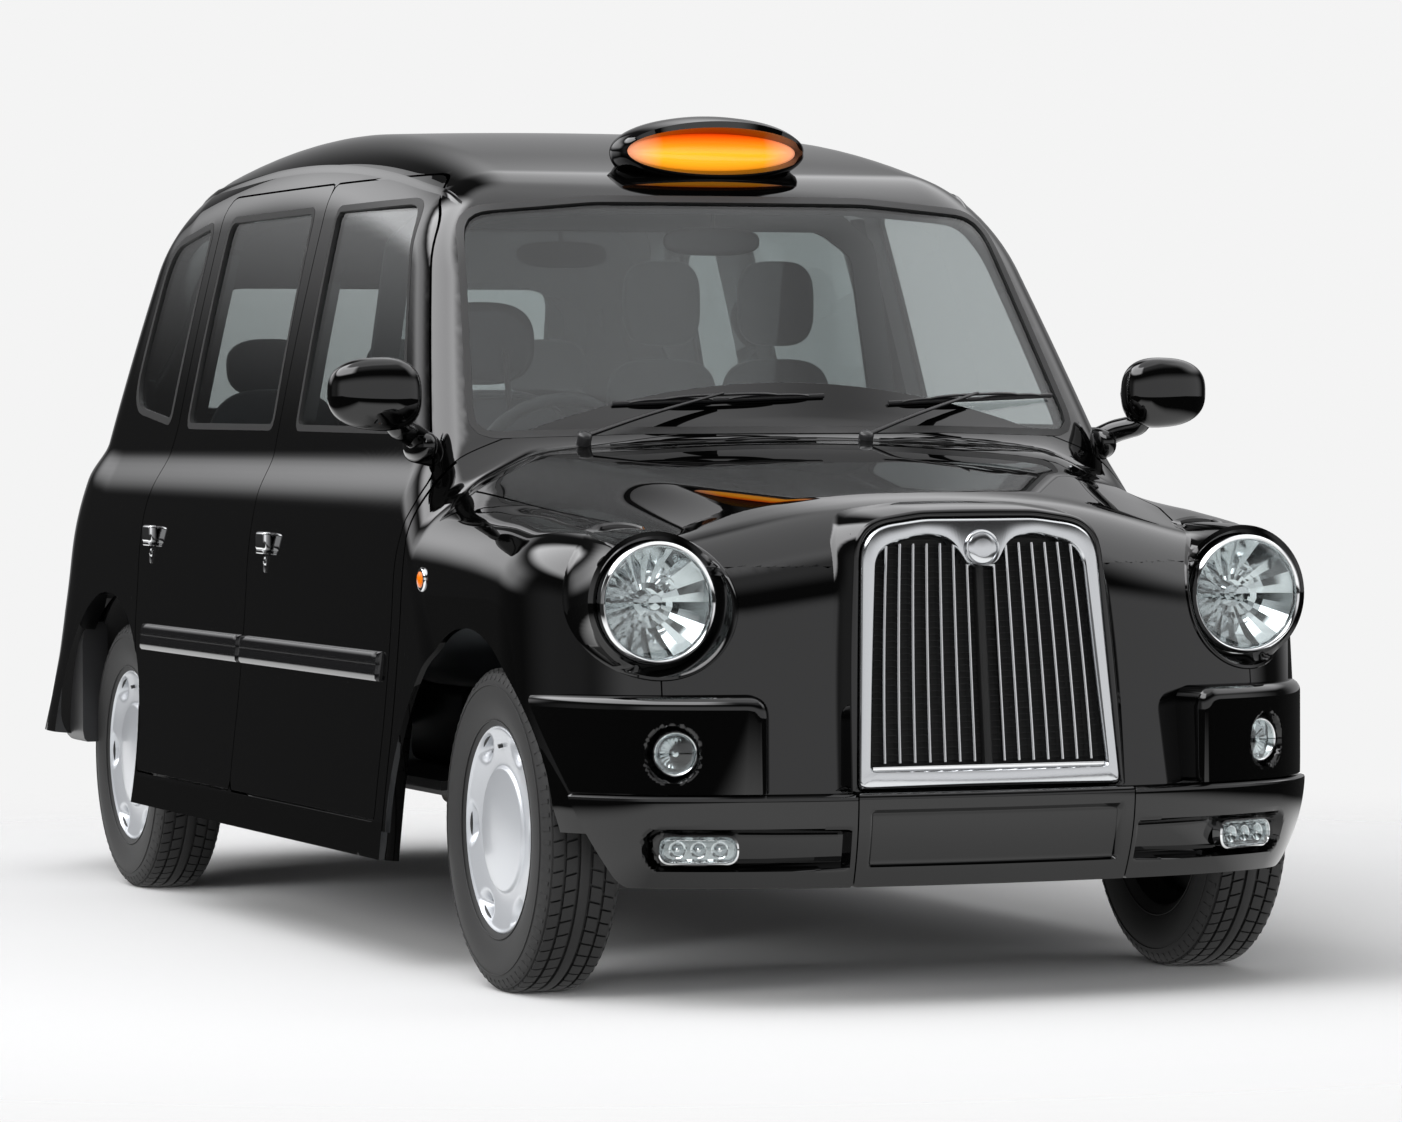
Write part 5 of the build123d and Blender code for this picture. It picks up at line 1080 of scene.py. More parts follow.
def headlamp(sign):
    """Painted ring, rim, reflector, lens and bulb shield of one lamp."""
    axis = (0.0, -1.0, 0.0)
    centre = np.array([sign * LAMP_X, LAMP_S, LAMP_Z])
    angles = np.linspace(0, 2 * pi, 96, endpoint=False)
    rings = []
    for radius, how in ((0.156, "skin"), (0.1515, "lip"), (0.146, "lip"), (0.141, "soft"), (0.132, -0.016),
                        (0.124, -0.022), (0.1235, -0.050)):
        x, z = centre[0] + radius * np.cos(angles), centre[2] + radius * np.sin(angles)
        skin = nose_surface(np.abs(x), z)
        if how == "skin":
            s = skin + 0.003
        elif how == "lip":
            s = skin - 0.004
        elif how == "soft":
            s = np.minimum(skin + 0.004, centre[1] + 0.02)
        else:
            s = np.full(96, centre[1] - how)
        rings.append(np.stack([x, s, z], axis=1))
    cup = loft(rings, caps=False)
    rim = turned_piece([(0.1225, -0.045), (0.1225, -0.004), (0.1205, 0.003), (0.117, 0.006), (0.1125, 0.004),
                        (0.110, -0.004), (0.110, -0.045)], centre, axis, 96, caps=False)
    bowl_profile = [(0.016 + k / 8 * 0.094, -0.072 + 0.064 * (k / 8) ** 1.6) for k in range(9)]
    bowl = turned_piece(bowl_profile, centre, axis, 30, caps=False, wobble=facets(0.0016, 0.03, 1.0))
    shield = turned_piece([(0.0005, -0.020), (0.014, -0.021), (0.0175, -0.026), (0.0175, -0.045), (0.0165, -0.072)],
                          centre, axis, 32)
    lens = turned_piece([(0.0005, 0.018), (0.03, 0.0172), (0.06, 0.0138), (0.085, 0.0085), (0.104, 0.0015),
                         (0.1105, -0.003), (0.1105, -0.006), (0.103, -0.0015), (0.085, 0.0055), (0.06, 0.0108),
                         (0.03, 0.0142), (0.0005, 0.015)], centre, axis, 72)
    return cup, rim, bowl, shield, lens


cups, rims, bowls, shields, lenses = zip(headlamp(1), headlamp(-1))
put("headlamp_rings", joined(*cups), coach_paint, slot="black_paint", angle=50)
put("headlamp_rims", joined(*rims), chrome_plate, slot="chrome", angle=50)
put("headlamp_bowls", joined(*bowls, *shields), chrome_plate, stands_for=("headlamps",), slot="lamp_body", angle=4)
put("headlamp_glasses", joined(*lenses), lamp_glass, stands_for=("headlamp_lenses",), slot="glass", angle=50)

# %% Front indicators and fog lamps
PILL_HALF = (0.076, 0.025)
PILL = round_outline([(-PILL_HALF[0], -PILL_HALF[1]), (PILL_HALF[0], -PILL_HALF[1]), PILL_HALF,
                      (-PILL_HALF[0], PILL_HALF[1])], 0.0245, 10)
cups, glasses = [], []
for sign in (1, -1):
    at, way = on_plan(INDICATOR_RUN, sign, INDICATOR_Z)
    axis = np.array([way[0] * 0.6, way[1], 0.0])
    axis /= np.linalg.norm(axis)
    seat = at - way * 0.046
    cups.append(turned_piece([(0.0445, -0.004), (0.0445, 0.020), (0.042, 0.023), (0.0395, 0.021), (0.030, 0.004),
                              (0.012, 0.000), (0.0005, 0.000)], seat, axis, 48, caps=False,
                             wobble=facets(0.0010, 0.0, 0.035)))
    cups.append(turned_piece([(0.0005, 0.018), (0.006, 0.016), (0.008, 0.010), (0.008, 0.0)], seat, axis, 24))
    glasses.append(turned_piece([(0.0005, 0.029), (0.020, 0.0275), (0.034, 0.024), (0.0415, 0.0215), (0.0415, 0.019),
                                 (0.020, 0.025), (0.0005, 0.0265)], seat, axis, 48))
    at, way = on_plan(FOG_RUN, sign, FOG_Z)
    at = at - way * (tuck(FOG_Z) + 0.034)
    along = np.array([-way[1], way[0], 0.0])

    def pill_rings(*sizes):
        """A loft of long round rings, each given by how much it grows and how far out it stands."""
        rings = []
        for grow, out in sizes:
            ring = PILL * np.array([(PILL_HALF[0] + grow) / PILL_HALF[0], (PILL_HALF[1] + grow) / PILL_HALF[1]])
            rings.append(at + np.outer(ring[:, 0], along) + np.outer(ring[:, 1], (0, 0, 1)) + way * out)
        return loft(rings)

    cups.append(pill_rings((0.004, -0.002), (0.004, 0.018), (0.001, 0.021), (-0.001, 0.018), (-0.006, 0.004)))
    for k, radius in ((-1, 0.017), (0, 0.016), (1, 0.017)):
        spot = at + along * 0.042 * k + way * 0.004
        cups.append(turned_piece([(radius, 0.000), (radius, 0.012), (radius * 0.8, 0.010), (radius * 0.3, 0.002),
                                  (0.0005, 0.002)], spot, way, 28, caps=False))
        cups.append(turned_piece([(0.0005, 0.013), (0.004, 0.011), (0.0045, 0.0)], spot, way, 16))
    glasses.append(pill_rings((-0.001, 0.015), (-0.001, 0.020), (-0.005, 0.0235), (-0.014, 0.0245)))
put("front_lamp_cups", joined(*cups), chrome_plate, stands_for=("front_lamps",), slot="lamp_plastic", angle=30)
put("front_lamp_glasses", joined(*glasses), lamp_glass, slot="lamp_plastic", angle=50)
print("lamps done")

# %% [markdown]
# ## Wheels
# The wheel trims are injection-moulded discs in silver paint: a raised round centre, a dished ring, and six
# scooped vents near the edge. The tyres have four round grooves, cross sipes and a ribbed shoulder.

# %% Wheel trims
TRIM_SIDES = 180


def trim_face():
    """A left wheel's trim as a net of rings, with its six vents dished in and holed."""
    angles = np.linspace(0, 2 * pi, TRIM_SIDES, endpoint=False)
    radii = np.concatenate([np.linspace(0.0005, 0.120, 8), np.linspace(0.124, 0.1315, 5),
                            np.linspace(0.135, 0.206, 26), np.linspace(0.208, 0.217, 6)])
    R, T = np.meshgrid(radii, angles, indexing="ij")
    height = 0.066 + 0.006 * (1 - (R / 0.13) ** 2)
    drop = np.clip((R - 0.1245) / 0.007, 0, 1)
    height = np.where(R > 0.1245, 0.0665 - 0.007 * drop * drop * (3 - 2 * drop), height)
    ring = np.clip((R - 0.131) / 0.075, 0, 1)
    height = np.where(R > 0.131, 0.0595 + 0.010 * ring ** 1.5, height)
    edge = np.clip((R - 0.205) / 0.012, 0, 1)
    height = np.where(R > 0.205, 0.0695 + 0.004 * np.sin(edge * pi) - 0.012 * edge ** 3, height)
    pitch = 2 * pi / 6
    swing = (T + pitch / 2) % pitch - pitch / 2
    across = swing * 0.180
    scoop = np.sqrt((across / 0.046) ** 2 + (np.clip(0.196 - R, 0, 1) / 0.040) ** 2
                    + (np.clip(R - 0.196, 0, 1) / 0.014) ** 2)
    deep = np.clip(1 - scoop, 0, 1)
    height = height - 0.024 * deep * deep * (3 - 2 * deep) * 1.4
    hole = np.hypot(across / 0.021, (R - 0.190) / 0.0085) - 1.0
    points = np.stack([height, R * np.cos(T), R * np.sin(T)], axis=-1)
    n, m = R.shape
    ids = np.arange(n * m).reshape(n, m)
    on = np.roll(ids, -1, axis=1)
    quads = np.stack([ids[:-1], on[:-1], on[1:], ids[1:]], axis=-1).reshape(-1, 4)
    flat, faces = cut_net(points.reshape(-1, 3), quads, -hole.ravel() * 0.02)
    return closed_shell(flat, flat - np.array([0.004, 0, 0]), faces)


trim_net = trim_face()
rim_profile = [(0.2165, 0.060), (0.2165, 0.052), (0.203, 0.050), (0.198, 0.030), (0.176, 0.020), (0.176, -0.020),
               (0.198, -0.045), (0.203, -0.062), (0.2165, -0.066), (0.2165, -0.062), (0.206, -0.056), (0.201, -0.044),
               (0.181, -0.018), (0.181, 0.018), (0.201, 0.028), (0.207, 0.046)]
rim_net = turned_piece(rim_profile + rim_profile[:1], (0, 0, 0), (1, 0, 0), 96, caps=False)
spider = turned_piece([(0.0225, 0.030), (0.060, 0.032), (0.120, 0.022), (0.1765, 0.012), (0.1765, 0.006),
                       (0.120, 0.016), (0.060, 0.026), (0.0225, 0.024), (0.0225, 0.030)], (0, 0, 0), (1, 0, 0), 72,
                      caps=False)
valve = tube([(0.050, 0.0, 0.176), (0.064, 0.0, 0.172), (0.072, 0.0, 0.170)], 0.0045, 12)


def placed_net(net, sign, centre):
    """A left wheel's net at a wheel's centre, mirrored for the right side."""
    points, faces = mirrored_net(net, sign)
    return points + np.array(centre), faces


# %% Tyres


def tyre_net():
    """Carcass, tread blocks and shoulder ribs of one tyre, about its own centre."""
    profile = [(0.203, -0.062), (0.215, -0.073), (0.235, -0.082), (0.262, -0.088), (0.285, -0.0875), (0.305, -0.083),
               (0.318, -0.077), (0.3235, -0.070), (0.3240, -0.060), (0.3245, 0.0), (0.3240, 0.060), (0.3235, 0.070),
               (0.318, 0.077), (0.305, 0.083), (0.285, 0.0875), (0.262, 0.088), (0.235, 0.082), (0.215, 0.073),
               (0.203, 0.062), (0.210, 0.052), (0.240, 0.066), (0.270, 0.070), (0.305, 0.062), (0.312, 0.0),
               (0.305, -0.062), (0.270, -0.070), (0.240, -0.066), (0.210, -0.052), (0.203, -0.062)]
    carcass = turned_piece(profile, (0, 0, 0), (1, 0, 0), 144, caps=False)
    nets = [carcass]
    bands = ((-0.0665, -0.0455, 66), (-0.0395, -0.0165, 60), (-0.0105, 0.0105, 1), (0.0165, 0.0395, 60),
             (0.0455, 0.0665, 66))
    for low, high, count in bands:
        if count == 1:
            section = [(0.3235, low), (0.3312, low + 0.001), (0.3317, low + 0.003), (0.3317, high - 0.003),
                       (0.3312, high - 0.001), (0.3235, high)]
            nets.append(turned_piece(section, (0, 0, 0), (1, 0, 0), 144, caps=False))
            continue
        side = -1 if low < 0 else 1
        at_shoulder = abs(low + high) > 0.09
        top = 0.3312 if at_shoulder else 0.3317
        low_top, high_top = (top - (0.0020 if at_shoulder and side == end else 0.0006) for end in (-1, 1))
        corners = [(low, 0.3235), (low, low_top), ((low + high) / 2, top), (high, high_top), (high, 0.3235)]
        for k in range(count):
            rings = []
            for share in (0, 0.5, 1):
                angle = 2 * pi * (k + 0.86 * share) / count
                turns = [angle + 0.018 * side * (w - low) / 0.022 for w, _ in corners]
                rings.append(np.array([(w, r * cos(t), r * sin(t)) for (w, r), t in zip(corners, turns)]))
            nets.append(loft(rings))
    for side in (-1, 1):
        for k in range(72):
            angle = 2 * pi * (k + 0.2) / 72
            way = np.array([0, -sin(angle), cos(angle)]) * 0.0048
            out = np.array([side * 0.85, 0.5 * cos(angle), 0.5 * sin(angle)]) * 0.0022
            rings = []
            for w, r in ((0.0725, 0.3215), (0.0820, 0.3055)):
                base = np.array([side * w, r * cos(angle), r * sin(angle)])
                rings.append(np.array([base - way - out, base - way * 0.8 + out, base + way * 0.8 + out,
                                       base + way - out]))
            nets.append(loft(rings))
        for radius, w, size in ((0.2235, 0.0785, 0.0014), (0.2960, 0.0860, 0.0012)):
            loops_of = []
            for t in np.linspace(0, 2 * pi, 96, endpoint=False):
                loops_of.append(np.array([(side * w + size * sin(q), (radius + size * cos(q)) * cos(t),
                                           (radius + size * cos(q)) * sin(t))
                                          for q in np.linspace(0, 2 * pi, 8, endpoint=False)]))
            nets.append(loft(loops_of, loop=True))
    return joined(*nets)


tyre = tyre_net()
for place, back_of in (("front", 0.0), ("rear", WHEELBASE)):
    for side, sign in (("left", 1), ("right", -1)):
        centre = (sign * TRACK_HALF, back_of, TYRE_R)
        body = f"wheel_{place}_{side}"
        put(f"tyre_tread_{place}_{side}", placed_net(tyre, sign, centre), tyre_rubber, body=body,
            stands_for=(f"tyre_{place}_{side}",), slot="tyre", angle=35)
        put(f"wheel_trim_{place}_{side}", placed_net(trim_net, sign, centre), trim_silver, body=body,
            stands_for=(f"wheel_{place}_{side}",), slot="silver_trim", angle=40)
        put(f"wheel_rim_{place}_{side}", placed_net(joined(rim_net, spider, valve), sign, centre), satin_paint,
            body=body, slot="frame_steel", angle=40)
print("wheels done:", len(tyre[1]), "faces a tyre")

# %% [markdown]
# ## Doors' fittings
# Handles are chromed paddles over a finger recess with a lock below. Rub strips are clipped along the doors,
# and the mirrors stand on curved arms on the doors' front quarters.

# %% Rounded blocks


def soft_block(centre, half, radius, steps=5):
    """A box with round edges, as a stack of rounded rectangles."""
    hx, hy, hz = half
    outline = round_outline([(-hy, -hz), (hy, -hz), (hy, hz), (-hy, hz)], radius, steps)
    turns = np.linspace(0, pi / 2, steps + 1)
    edge = [(radius * (1 - cos(t)), hx - radius * (1 - sin(t))) for t in turns]
    stack = sorted([(inset, -out) for inset, out in edge[::-1]] + edge, key=lambda pair: pair[1])
    rings = []
    for inset, out in stack:
        shrink = outline * np.array([(hy - inset) / hy, (hz - inset) / hz])
        rings.append(np.stack([np.full(len(shrink), out), shrink[:, 0], shrink[:, 1]], axis=1))
    points, faces = loft(rings)
    return points + np.array(centre), faces


# %% Rub strips and handles


def skin_x(s, z):
    """Half width of the body's surface at s and z."""
    s, z = np.asarray(s, float), np.asarray(z, float)
    return met(lambda x: body_field(x, s, z) > 0, np.full(s.shape, 0.30), np.full(s.shape, 1.10))


def strip_net(s0, s1):
    """A moulded rub strip between two places along the body."""
    section = [(0.612, -0.002), (0.613, 0.007), (0.618, 0.0115), (0.630, 0.0125), (0.640, 0.0118), (0.644, 0.0108),
               (0.648, 0.0118), (0.660, 0.0125), (0.671, 0.0112), (0.675, 0.007), (0.676, -0.002)]
    z = np.array([height for height, _ in section])
    rings = []
    for s in np.concatenate([[s0, s0 + 0.002], np.linspace(s0 + 0.006, s1 - 0.006, 30), [s1 - 0.002, s1]]):
        end = min(1.0, 0.35 + 0.65 * (min(s - s0, s1 - s) / 0.006))
        x = skin_x(np.full(len(z), s), z) + np.array([out * end if out > 0 else out for _, out in section])
        rings.append(np.stack([x, np.full(len(z), s), z], axis=1))
    return loft(rings)


HANDLE_Z = 0.885


def handle_net(s, z=HANDLE_Z):
    """The chrome paddle of a left door with its lock barrel below, and the barrel's dark keyway."""
    x = float(skin_x(s, z))
    paddle = soft_block((x + 0.010, s, z + 0.010), (0.011, 0.034, 0.021), 0.007)
    ledge = soft_block((x + 0.014, s + 0.004, z - 0.014), (0.006, 0.026, 0.005), 0.003)
    barrel = turned_piece([(0.0005, 0.0085), (0.0075, 0.0085), (0.0100, 0.0065), (0.0100, -0.004)],
                          (x, s + 0.002, z - 0.036), (1, 0, 0), 28)
    slot_net = soft_block((x + 0.0088, s + 0.002, z - 0.036), (0.0008, 0.001, 0.005), 0.0006, 2)
    return joined(paddle, ledge, barrel), slot_net


def recess_net(s, z=HANDLE_Z):
    """The dark dished plate under a handle, shaped like a drop."""
    angles = np.linspace(0, 2 * pi, 40, endpoint=False)
    rings = []
    for grow, out in ((0.0, -0.001), (0.0, 0.0022), (-0.002, 0.0032), (-0.006, 0.0012), (-0.012, 0.0008)):
        wide = (0.024 + grow) * (1 + 0.30 * np.sin(angles)) * np.cos(angles)
        tall = (0.034 + grow) * np.sin(angles)
        ss, zz = s + 0.002 + wide, z - 0.028 + tall
        rings.append(np.stack([skin_x(ss, zz) + out, ss, zz], axis=1))
    return loft(rings)


# %% Door mirrors
MIRROR_AT = (0.918, 0.488, 1.222)


def mirror_nets():
    """Head with its arm, and glass, of the left mirror."""
    def bend(ring):
        """The head gets thinner and lower towards its outer end."""
        x, y, z = ring[:, 0], ring[:, 1], ring[:, 2]
        out = (x + 0.1) / 0.2
        return np.stack([x, y * (1.0 - 0.15 * out) + 0.010 * out ** 2, z * (1.03 - 0.16 * out ** 2) + 0.004 * out],
                        axis=1)
    head = pillow(MIRROR_AT, (0.1005, 0.050, 0.078), 2.7, 56, 34, bend)
    path = bowed([(0.880, 0.497, 1.182), (0.862, 0.505, 1.154), (0.842, 0.520, 1.146), (0.820, 0.540, 1.138),
                  (0.792, 0.560, 1.122)], 22)
    arm = tube(path, np.linspace(0.028, 0.033, 22), 20, 0.80)
    foot = pillow((0.792, 0.572, 1.112), (0.030, 0.072, 0.036), 2.4, 36, 16)
    a = np.linspace(0, 2 * pi, 40, endpoint=False)
    pane_net = loft([np.stack([MIRROR_AT[0] + 0.085 * w * np.cos(a), np.full(40, 0.5335 + out),
                               MIRROR_AT[2] + 0.062 * w * np.sin(a)], axis=1)
                     for w, out in ((0.98, 0.0), (1.0, 0.004), (0.97, 0.0065), (0.4, 0.0075))])
    return joined(head, arm, foot), pane_net


mirror_body, mirror_pane = mirror_nets()
for side, sign in (("left", 1), ("right", -1)):
    for place, s0, s1, handle_s in (("front", 0.578, 1.634, 1.490), ("rear", 1.656, 2.505, 2.478)):
        body = f"door_{place}_{side}"
        put(f"rub_strip_{place}_{side}", mirrored_net(strip_net(s0, s1), sign), gloss_abs, body=body,
            stands_for=(f"{place}_door_trim_{side}",), slot="trim", angle=40)
        handle, keyway = handle_net(handle_s)
        put(f"handle_{place}_{side}", mirrored_net(handle, sign), chrome_plate, body=body, slot="chrome", angle=40)
        put(f"handle_recess_{place}_{side}", mirrored_net(joined(recess_net(handle_s), keyway), sign), gloss_abs,
            body=body, slot="black_plastic", angle=40)
    put(f"mirror_head_{side}", mirrored_net(mirror_body, sign), coach_paint, body=f"door_front_{side}",
        stands_for=(f"mirror_{side}",), slot="black_plastic", angle=60)
    put(f"mirror_pane_{side}", mirrored_net(mirror_pane, sign), mirror_silver, body=f"door_front_{side}",
        slot="chrome", angle=40)
print("door fittings done")

# %% [markdown]
# ## Roof sign, wipers and small outside parts
# The roof sign is a fibreglass shell like an eye: an upper lid that peaks forward over the lens, a lower lip,
# and a blank amber lens that glows from a lamp inside.

# %% Roof sign


SIGN_AT = np.array([0.0, 0.925, 1.7640])


def sign_nets():
    """The sign's shell and its lens."""
    angles = np.linspace(0, 2 * pi, 96, endpoint=False)
    sine = np.sin(angles)

    def oval(half, up, down, y, peak=0.0, lower=0.0):
        """A ring with its own height above and below, whose top and foot may lean forward."""
        z = np.where(sine > 0, up * np.abs(sine), -down * np.abs(sine) ** 0.9)
        s = y - peak * np.clip(sine, 0, 1) * (1 - 0.35 * np.cos(angles) ** 2) - lower * np.clip(-sine, 0, 1)
        return np.stack([half * np.cos(angles), s, z], axis=1) + SIGN_AT
    shell = [oval(0.200, 0.041, 0.041, -0.018), oval(0.2035, 0.043, 0.043, -0.036, 0.014, 0.012),
             oval(0.2090, 0.052, 0.052, -0.048, 0.040, 0.020), oval(0.2140, 0.066, 0.062, -0.042, 0.050, 0.022),
             oval(0.2200, 0.0760, 0.072, -0.022, 0.036, 0.012), oval(0.2240, 0.0810, 0.082, 0.006, 0.010, 0.0),
             oval(0.2235, 0.0810, 0.086, 0.030), oval(0.2080, 0.072, 0.086, 0.062), oval(0.165, 0.054, 0.082, 0.088),
             oval(0.100, 0.030, 0.076, 0.102), oval(0.03, 0.010, 0.072, 0.107)]
    points, faces = loft(shell)
    points[:, 2] = np.maximum(points[:, 2], SIGN_AT[2] - 0.0740)
    lens = loft([oval(0.2005, 0.0415, 0.0415, -0.014), oval(0.2005, 0.0415, 0.0415, -0.022),
                 oval(0.190, 0.0390, 0.0390, -0.031), oval(0.150, 0.0305, 0.0305, -0.039),
                 oval(0.090, 0.0180, 0.0180, -0.044), oval(0.020, 0.004, 0.004, -0.046)])
    return (points, faces), lens


sign_shell, sign_lens = sign_nets()
put("roof_sign_shell", sign_shell, coach_paint, stands_for=("roof_sign",), slot="black_plastic", angle=50)

# %% [markdown]
# The lens is amber acrylic with a lamp behind it: yellow where the lamp is near, red along the top, and paler at
# its two ends. So its colour is read from the height and the distance from the middle.

# %% Sign lens
glow_material, tree, out = finish_tree("lit amber sign lens")
place = node(tree, "ShaderNodeTexCoord")
split_place = node(tree, "ShaderNodeSeparateXYZ", Vector=place.outputs["Object"])
height = node(tree, "ShaderNodeMapRange", Value=split_place.outputs["Z"], From_Min=SIGN_AT[2] - 0.042,
              From_Max=SIGN_AT[2] + 0.042)
colours = node(tree, "ShaderNodeValToRGB", Fac=height.outputs["Result"])
stops = colours.color_ramp
stops.elements[0].position, stops.elements[0].color = 0.0, linear("#fb9a1c")
stops.elements[1].position, stops.elements[1].color = 1.0, linear("#ee3a05")
for at, tone in ((0.45, "#fda31e"), (0.72, "#fb7a10")):
    stop = stops.elements.new(at)
    stop.color = linear(tone)
spread = node(tree, "ShaderNodeMath", {"operation": "ABSOLUTE"}, i0=split_place.outputs["X"])
end = node(tree, "ShaderNodeMapRange", Value=spread.outputs["Value"], From_Min=0.120, From_Max=0.195)
pale = node(tree, "ShaderNodeMix", {"data_type": "RGBA"}, Factor=end.outputs["Result"])
tree.links.new(colours.outputs["Color"], pale.inputs[6])
pale.inputs[7].default_value = linear("#f2a07a")
lamp_skin = node(tree, "ShaderNodeBsdfPrincipled", Base_Color=pale.outputs[2], Roughness=0.12,
                 Emission_Color=pale.outputs[2], Emission_Strength=0.75)
tree.links.new(lamp_skin.outputs["BSDF"], out.inputs["Surface"])
put("roof_sign_pane", sign_lens, glow_material, stands_for=("roof_sign_lens",), slot="amber_lens", angle=60)

print("roof sign done")

# %% [markdown]
# Each wiper is a pressed arm from a pivot in the scuttle, with a yoke, two claws and a rubber blade. They are
# tubes laid along points over the glass, so they follow its bow.

# %% Wipers


def screen_point(x, rise, lift):
    """A point over the windscreen, rise metres up its slope from its foot."""
    s = SCREEN_FOOT + rise * cos(SCREEN_RAKE) + x ** 2 / SCREEN_BOW / sin(SCREEN_RAKE)
    z = WAIST_Z + rise * sin(SCREEN_RAKE)
    out = np.array([2 * x / SCREEN_BOW, -sin(SCREEN_RAKE), cos(SCREEN_RAKE)])
    out /= np.linalg.norm(out)
    return np.array([x, s, z]) + out * lift


wipers = []
for pivot_x, tip_in, tip_out in ((-0.475, -0.395, 0.085), (0.150, 0.235, 0.665)):
    pivot = screen_point(pivot_x, -0.030, 0.018)
    wipers.append(turned_piece([(0.016, -0.030), (0.016, 0.010), (0.012, 0.015), (0.0005, 0.016)], pivot,
                               (0, -0.5, 0.85), 24))
    joint = screen_point((tip_in + tip_out) / 2, 0.082, 0.030)
    elbow = pivot * 0.55 + joint * 0.45 + np.array([0, -0.006, 0.008])
    arm_path = bowed([pivot + np.array([0, 0, 0.006]), elbow, joint], 18)
    wipers.append(tube(arm_path, np.linspace(0.0085, 0.0050, 18), 10, 0.6))
    rise_in, rise_out = 0.072, 0.092
    # The blade's rubber, the two claws over it and the yoke that carries them.
    for share0, share1, lift, radius in ((0.0, 1.0, 0.0055, 0.0032), (0.08, 0.46, 0.0150, 0.0038),
                                         (0.54, 0.92, 0.0150, 0.0038), (0.24, 0.76, 0.0240, 0.0045)):
        path = []
        for q in np.linspace(share0, share1, 24):
            x = tip_in + (tip_out - tip_in) * q
            local = (q - share0) / (share1 - share0)
            arch = 0.0 if lift < 0.01 else -0.008 * (2 * local - 1) ** 4
            path.append(screen_point(x, rise_in + (rise_out - rise_in) * q, lift + arch))
        wipers.append(tube(path, radius, 8, 1.6 if lift < 0.01 else 0.7))
put("wiper_pair", joined(*wipers), black_abs, stands_for=("wipers",), slot="black_plastic", angle=50)

# %% Cowl and side repeaters
cowl_net = panel_net(lambda x, s, z: 0.372 - s, lambda x, s, z: s - 0.472, lambda x, s, z: x - 0.745,
                     lambda x, s, z: 0.98 - z)
sheet_panel("scuttle_skin", both_halves(*cowl_net), PRESSING_THICK, coach_paint, "body", (), "black_paint",
            lift=-0.001)
repeaters, ambers = [], []
for sign in (1, -1):
    at = np.array([sign * (float(skin_x(0.335, 0.835)) + 0.001), 0.335, 0.835])
    repeaters.append(turned_piece([(0.0005, 0.004), (0.020, 0.004), (0.0235, 0.0035), (0.0255, 0.001),
                                   (0.0255, -0.004)], at, (sign, 0, 0), 40))
    ambers.append(turned_piece([(0.0005, 0.0095), (0.010, 0.0085), (0.0165, 0.0055), (0.0175, 0.0030)], at,
                               (sign, 0, 0), 40))
put("repeater_bezels", joined(*repeaters), chrome_plate, slot="chrome", angle=40)
put("repeater_lenses", joined(*ambers), amber_plastic, slot="amber_lens", angle=40)


# %% Drip rails


def rail_half(s):
    """Where the drip rail stands along the roof's edge."""
    return 0.618 - 0.05 * np.clip((s - 2.4) / 0.8, 0, 1) ** 2 - 0.02 * np.clip((1.1 - s) / 0.3, 0, 1) ** 2


def roof_z(x, s):
    """Height of the roof at x and s."""
    return met(lambda z: body_field(x, s, z) > 0, np.full(np.shape(x), 1.2), np.full(np.shape(x), 1.95))


RAIL_FROM, RAIL_TO = 0.86, 3.02
rails = []
for sign in (1, -1):
    rings = []
    for s in np.linspace(RAIL_FROM, RAIL_TO, 70):
        x = float(rail_half(s))
        xs = x + np.array([-0.010, -0.004, 0.004, 0.010])
        z = roof_z(xs, np.full(4, s))
        fade = min(1.0, min(s - RAIL_FROM, RAIL_TO - s) / 0.06 + 0.05)
        z = z + np.array([-0.002, 0.0055, 0.0045, -0.003]) * fade - 0.0005
        rings.append(np.stack([sign * xs, np.full(4, s), z], axis=1))
    rails.append(loft(rings))
put("drip_rails", joined(*rails), coach_paint, slot="black_paint", angle=60)
print("outside parts done")

# %% [markdown]
# ## Cabin
# Seen through grey glass: high-backed seats, a padded dash, the steering wheel and a glazed partition. The
# seats are foam under woven cloth, so their forms are soft and a little fuller between the seams.

# %% Seats
seat_cloth, tree, out = finish_tree("woven seat cloth")
place = node(tree, "ShaderNodeTexCoord")
THREAD_MM = 1.428
warp, weft = (node(tree, "ShaderNodeTexWave", {"bands_direction": way}, Vector=place.outputs["Object"],
                   Scale=wave_scale(THREAD_MM), Distortion=0.4) for way in "XZ")
weave = node(tree, "ShaderNodeMath", {"operation": "MULTIPLY"}, i0=warp.outputs["Fac"], i1=weft.outputs["Fac"])
tone = node(tree, "ShaderNodeMix", {"data_type": "RGBA"}, Factor=weave.outputs["Value"])
tone.inputs[6].default_value, tone.inputs[7].default_value = linear("#1d1f23"), linear("#34373d")
thread = node(tree, "ShaderNodeBump", Height=weave.outputs["Value"], Strength=0.5, Distance=0.4 * MM)
cloth = node(tree, "ShaderNodeBsdfPrincipled", Base_Color=tone.outputs[2], Roughness=0.85, Sheen_Weight=0.25,
             Normal=thread.outputs["Normal"])
tree.links.new(cloth.outputs["BSDF"], out.inputs["Surface"])


SEAT_LEAN = radians(10)


def leaned(net, pivot):
    """A net leaned back about a cross axis through a pivot (s, z)."""
    points, faces = net
    points = np.array(points, float)
    s, z = points[:, 1] - pivot[0], points[:, 2] - pivot[1]
    c, w = cos(SEAT_LEAN), sin(SEAT_LEAN)
    points[:, 1], points[:, 2] = pivot[0] + s * c + z * w, pivot[1] - s * w + z * c
    return points, faces


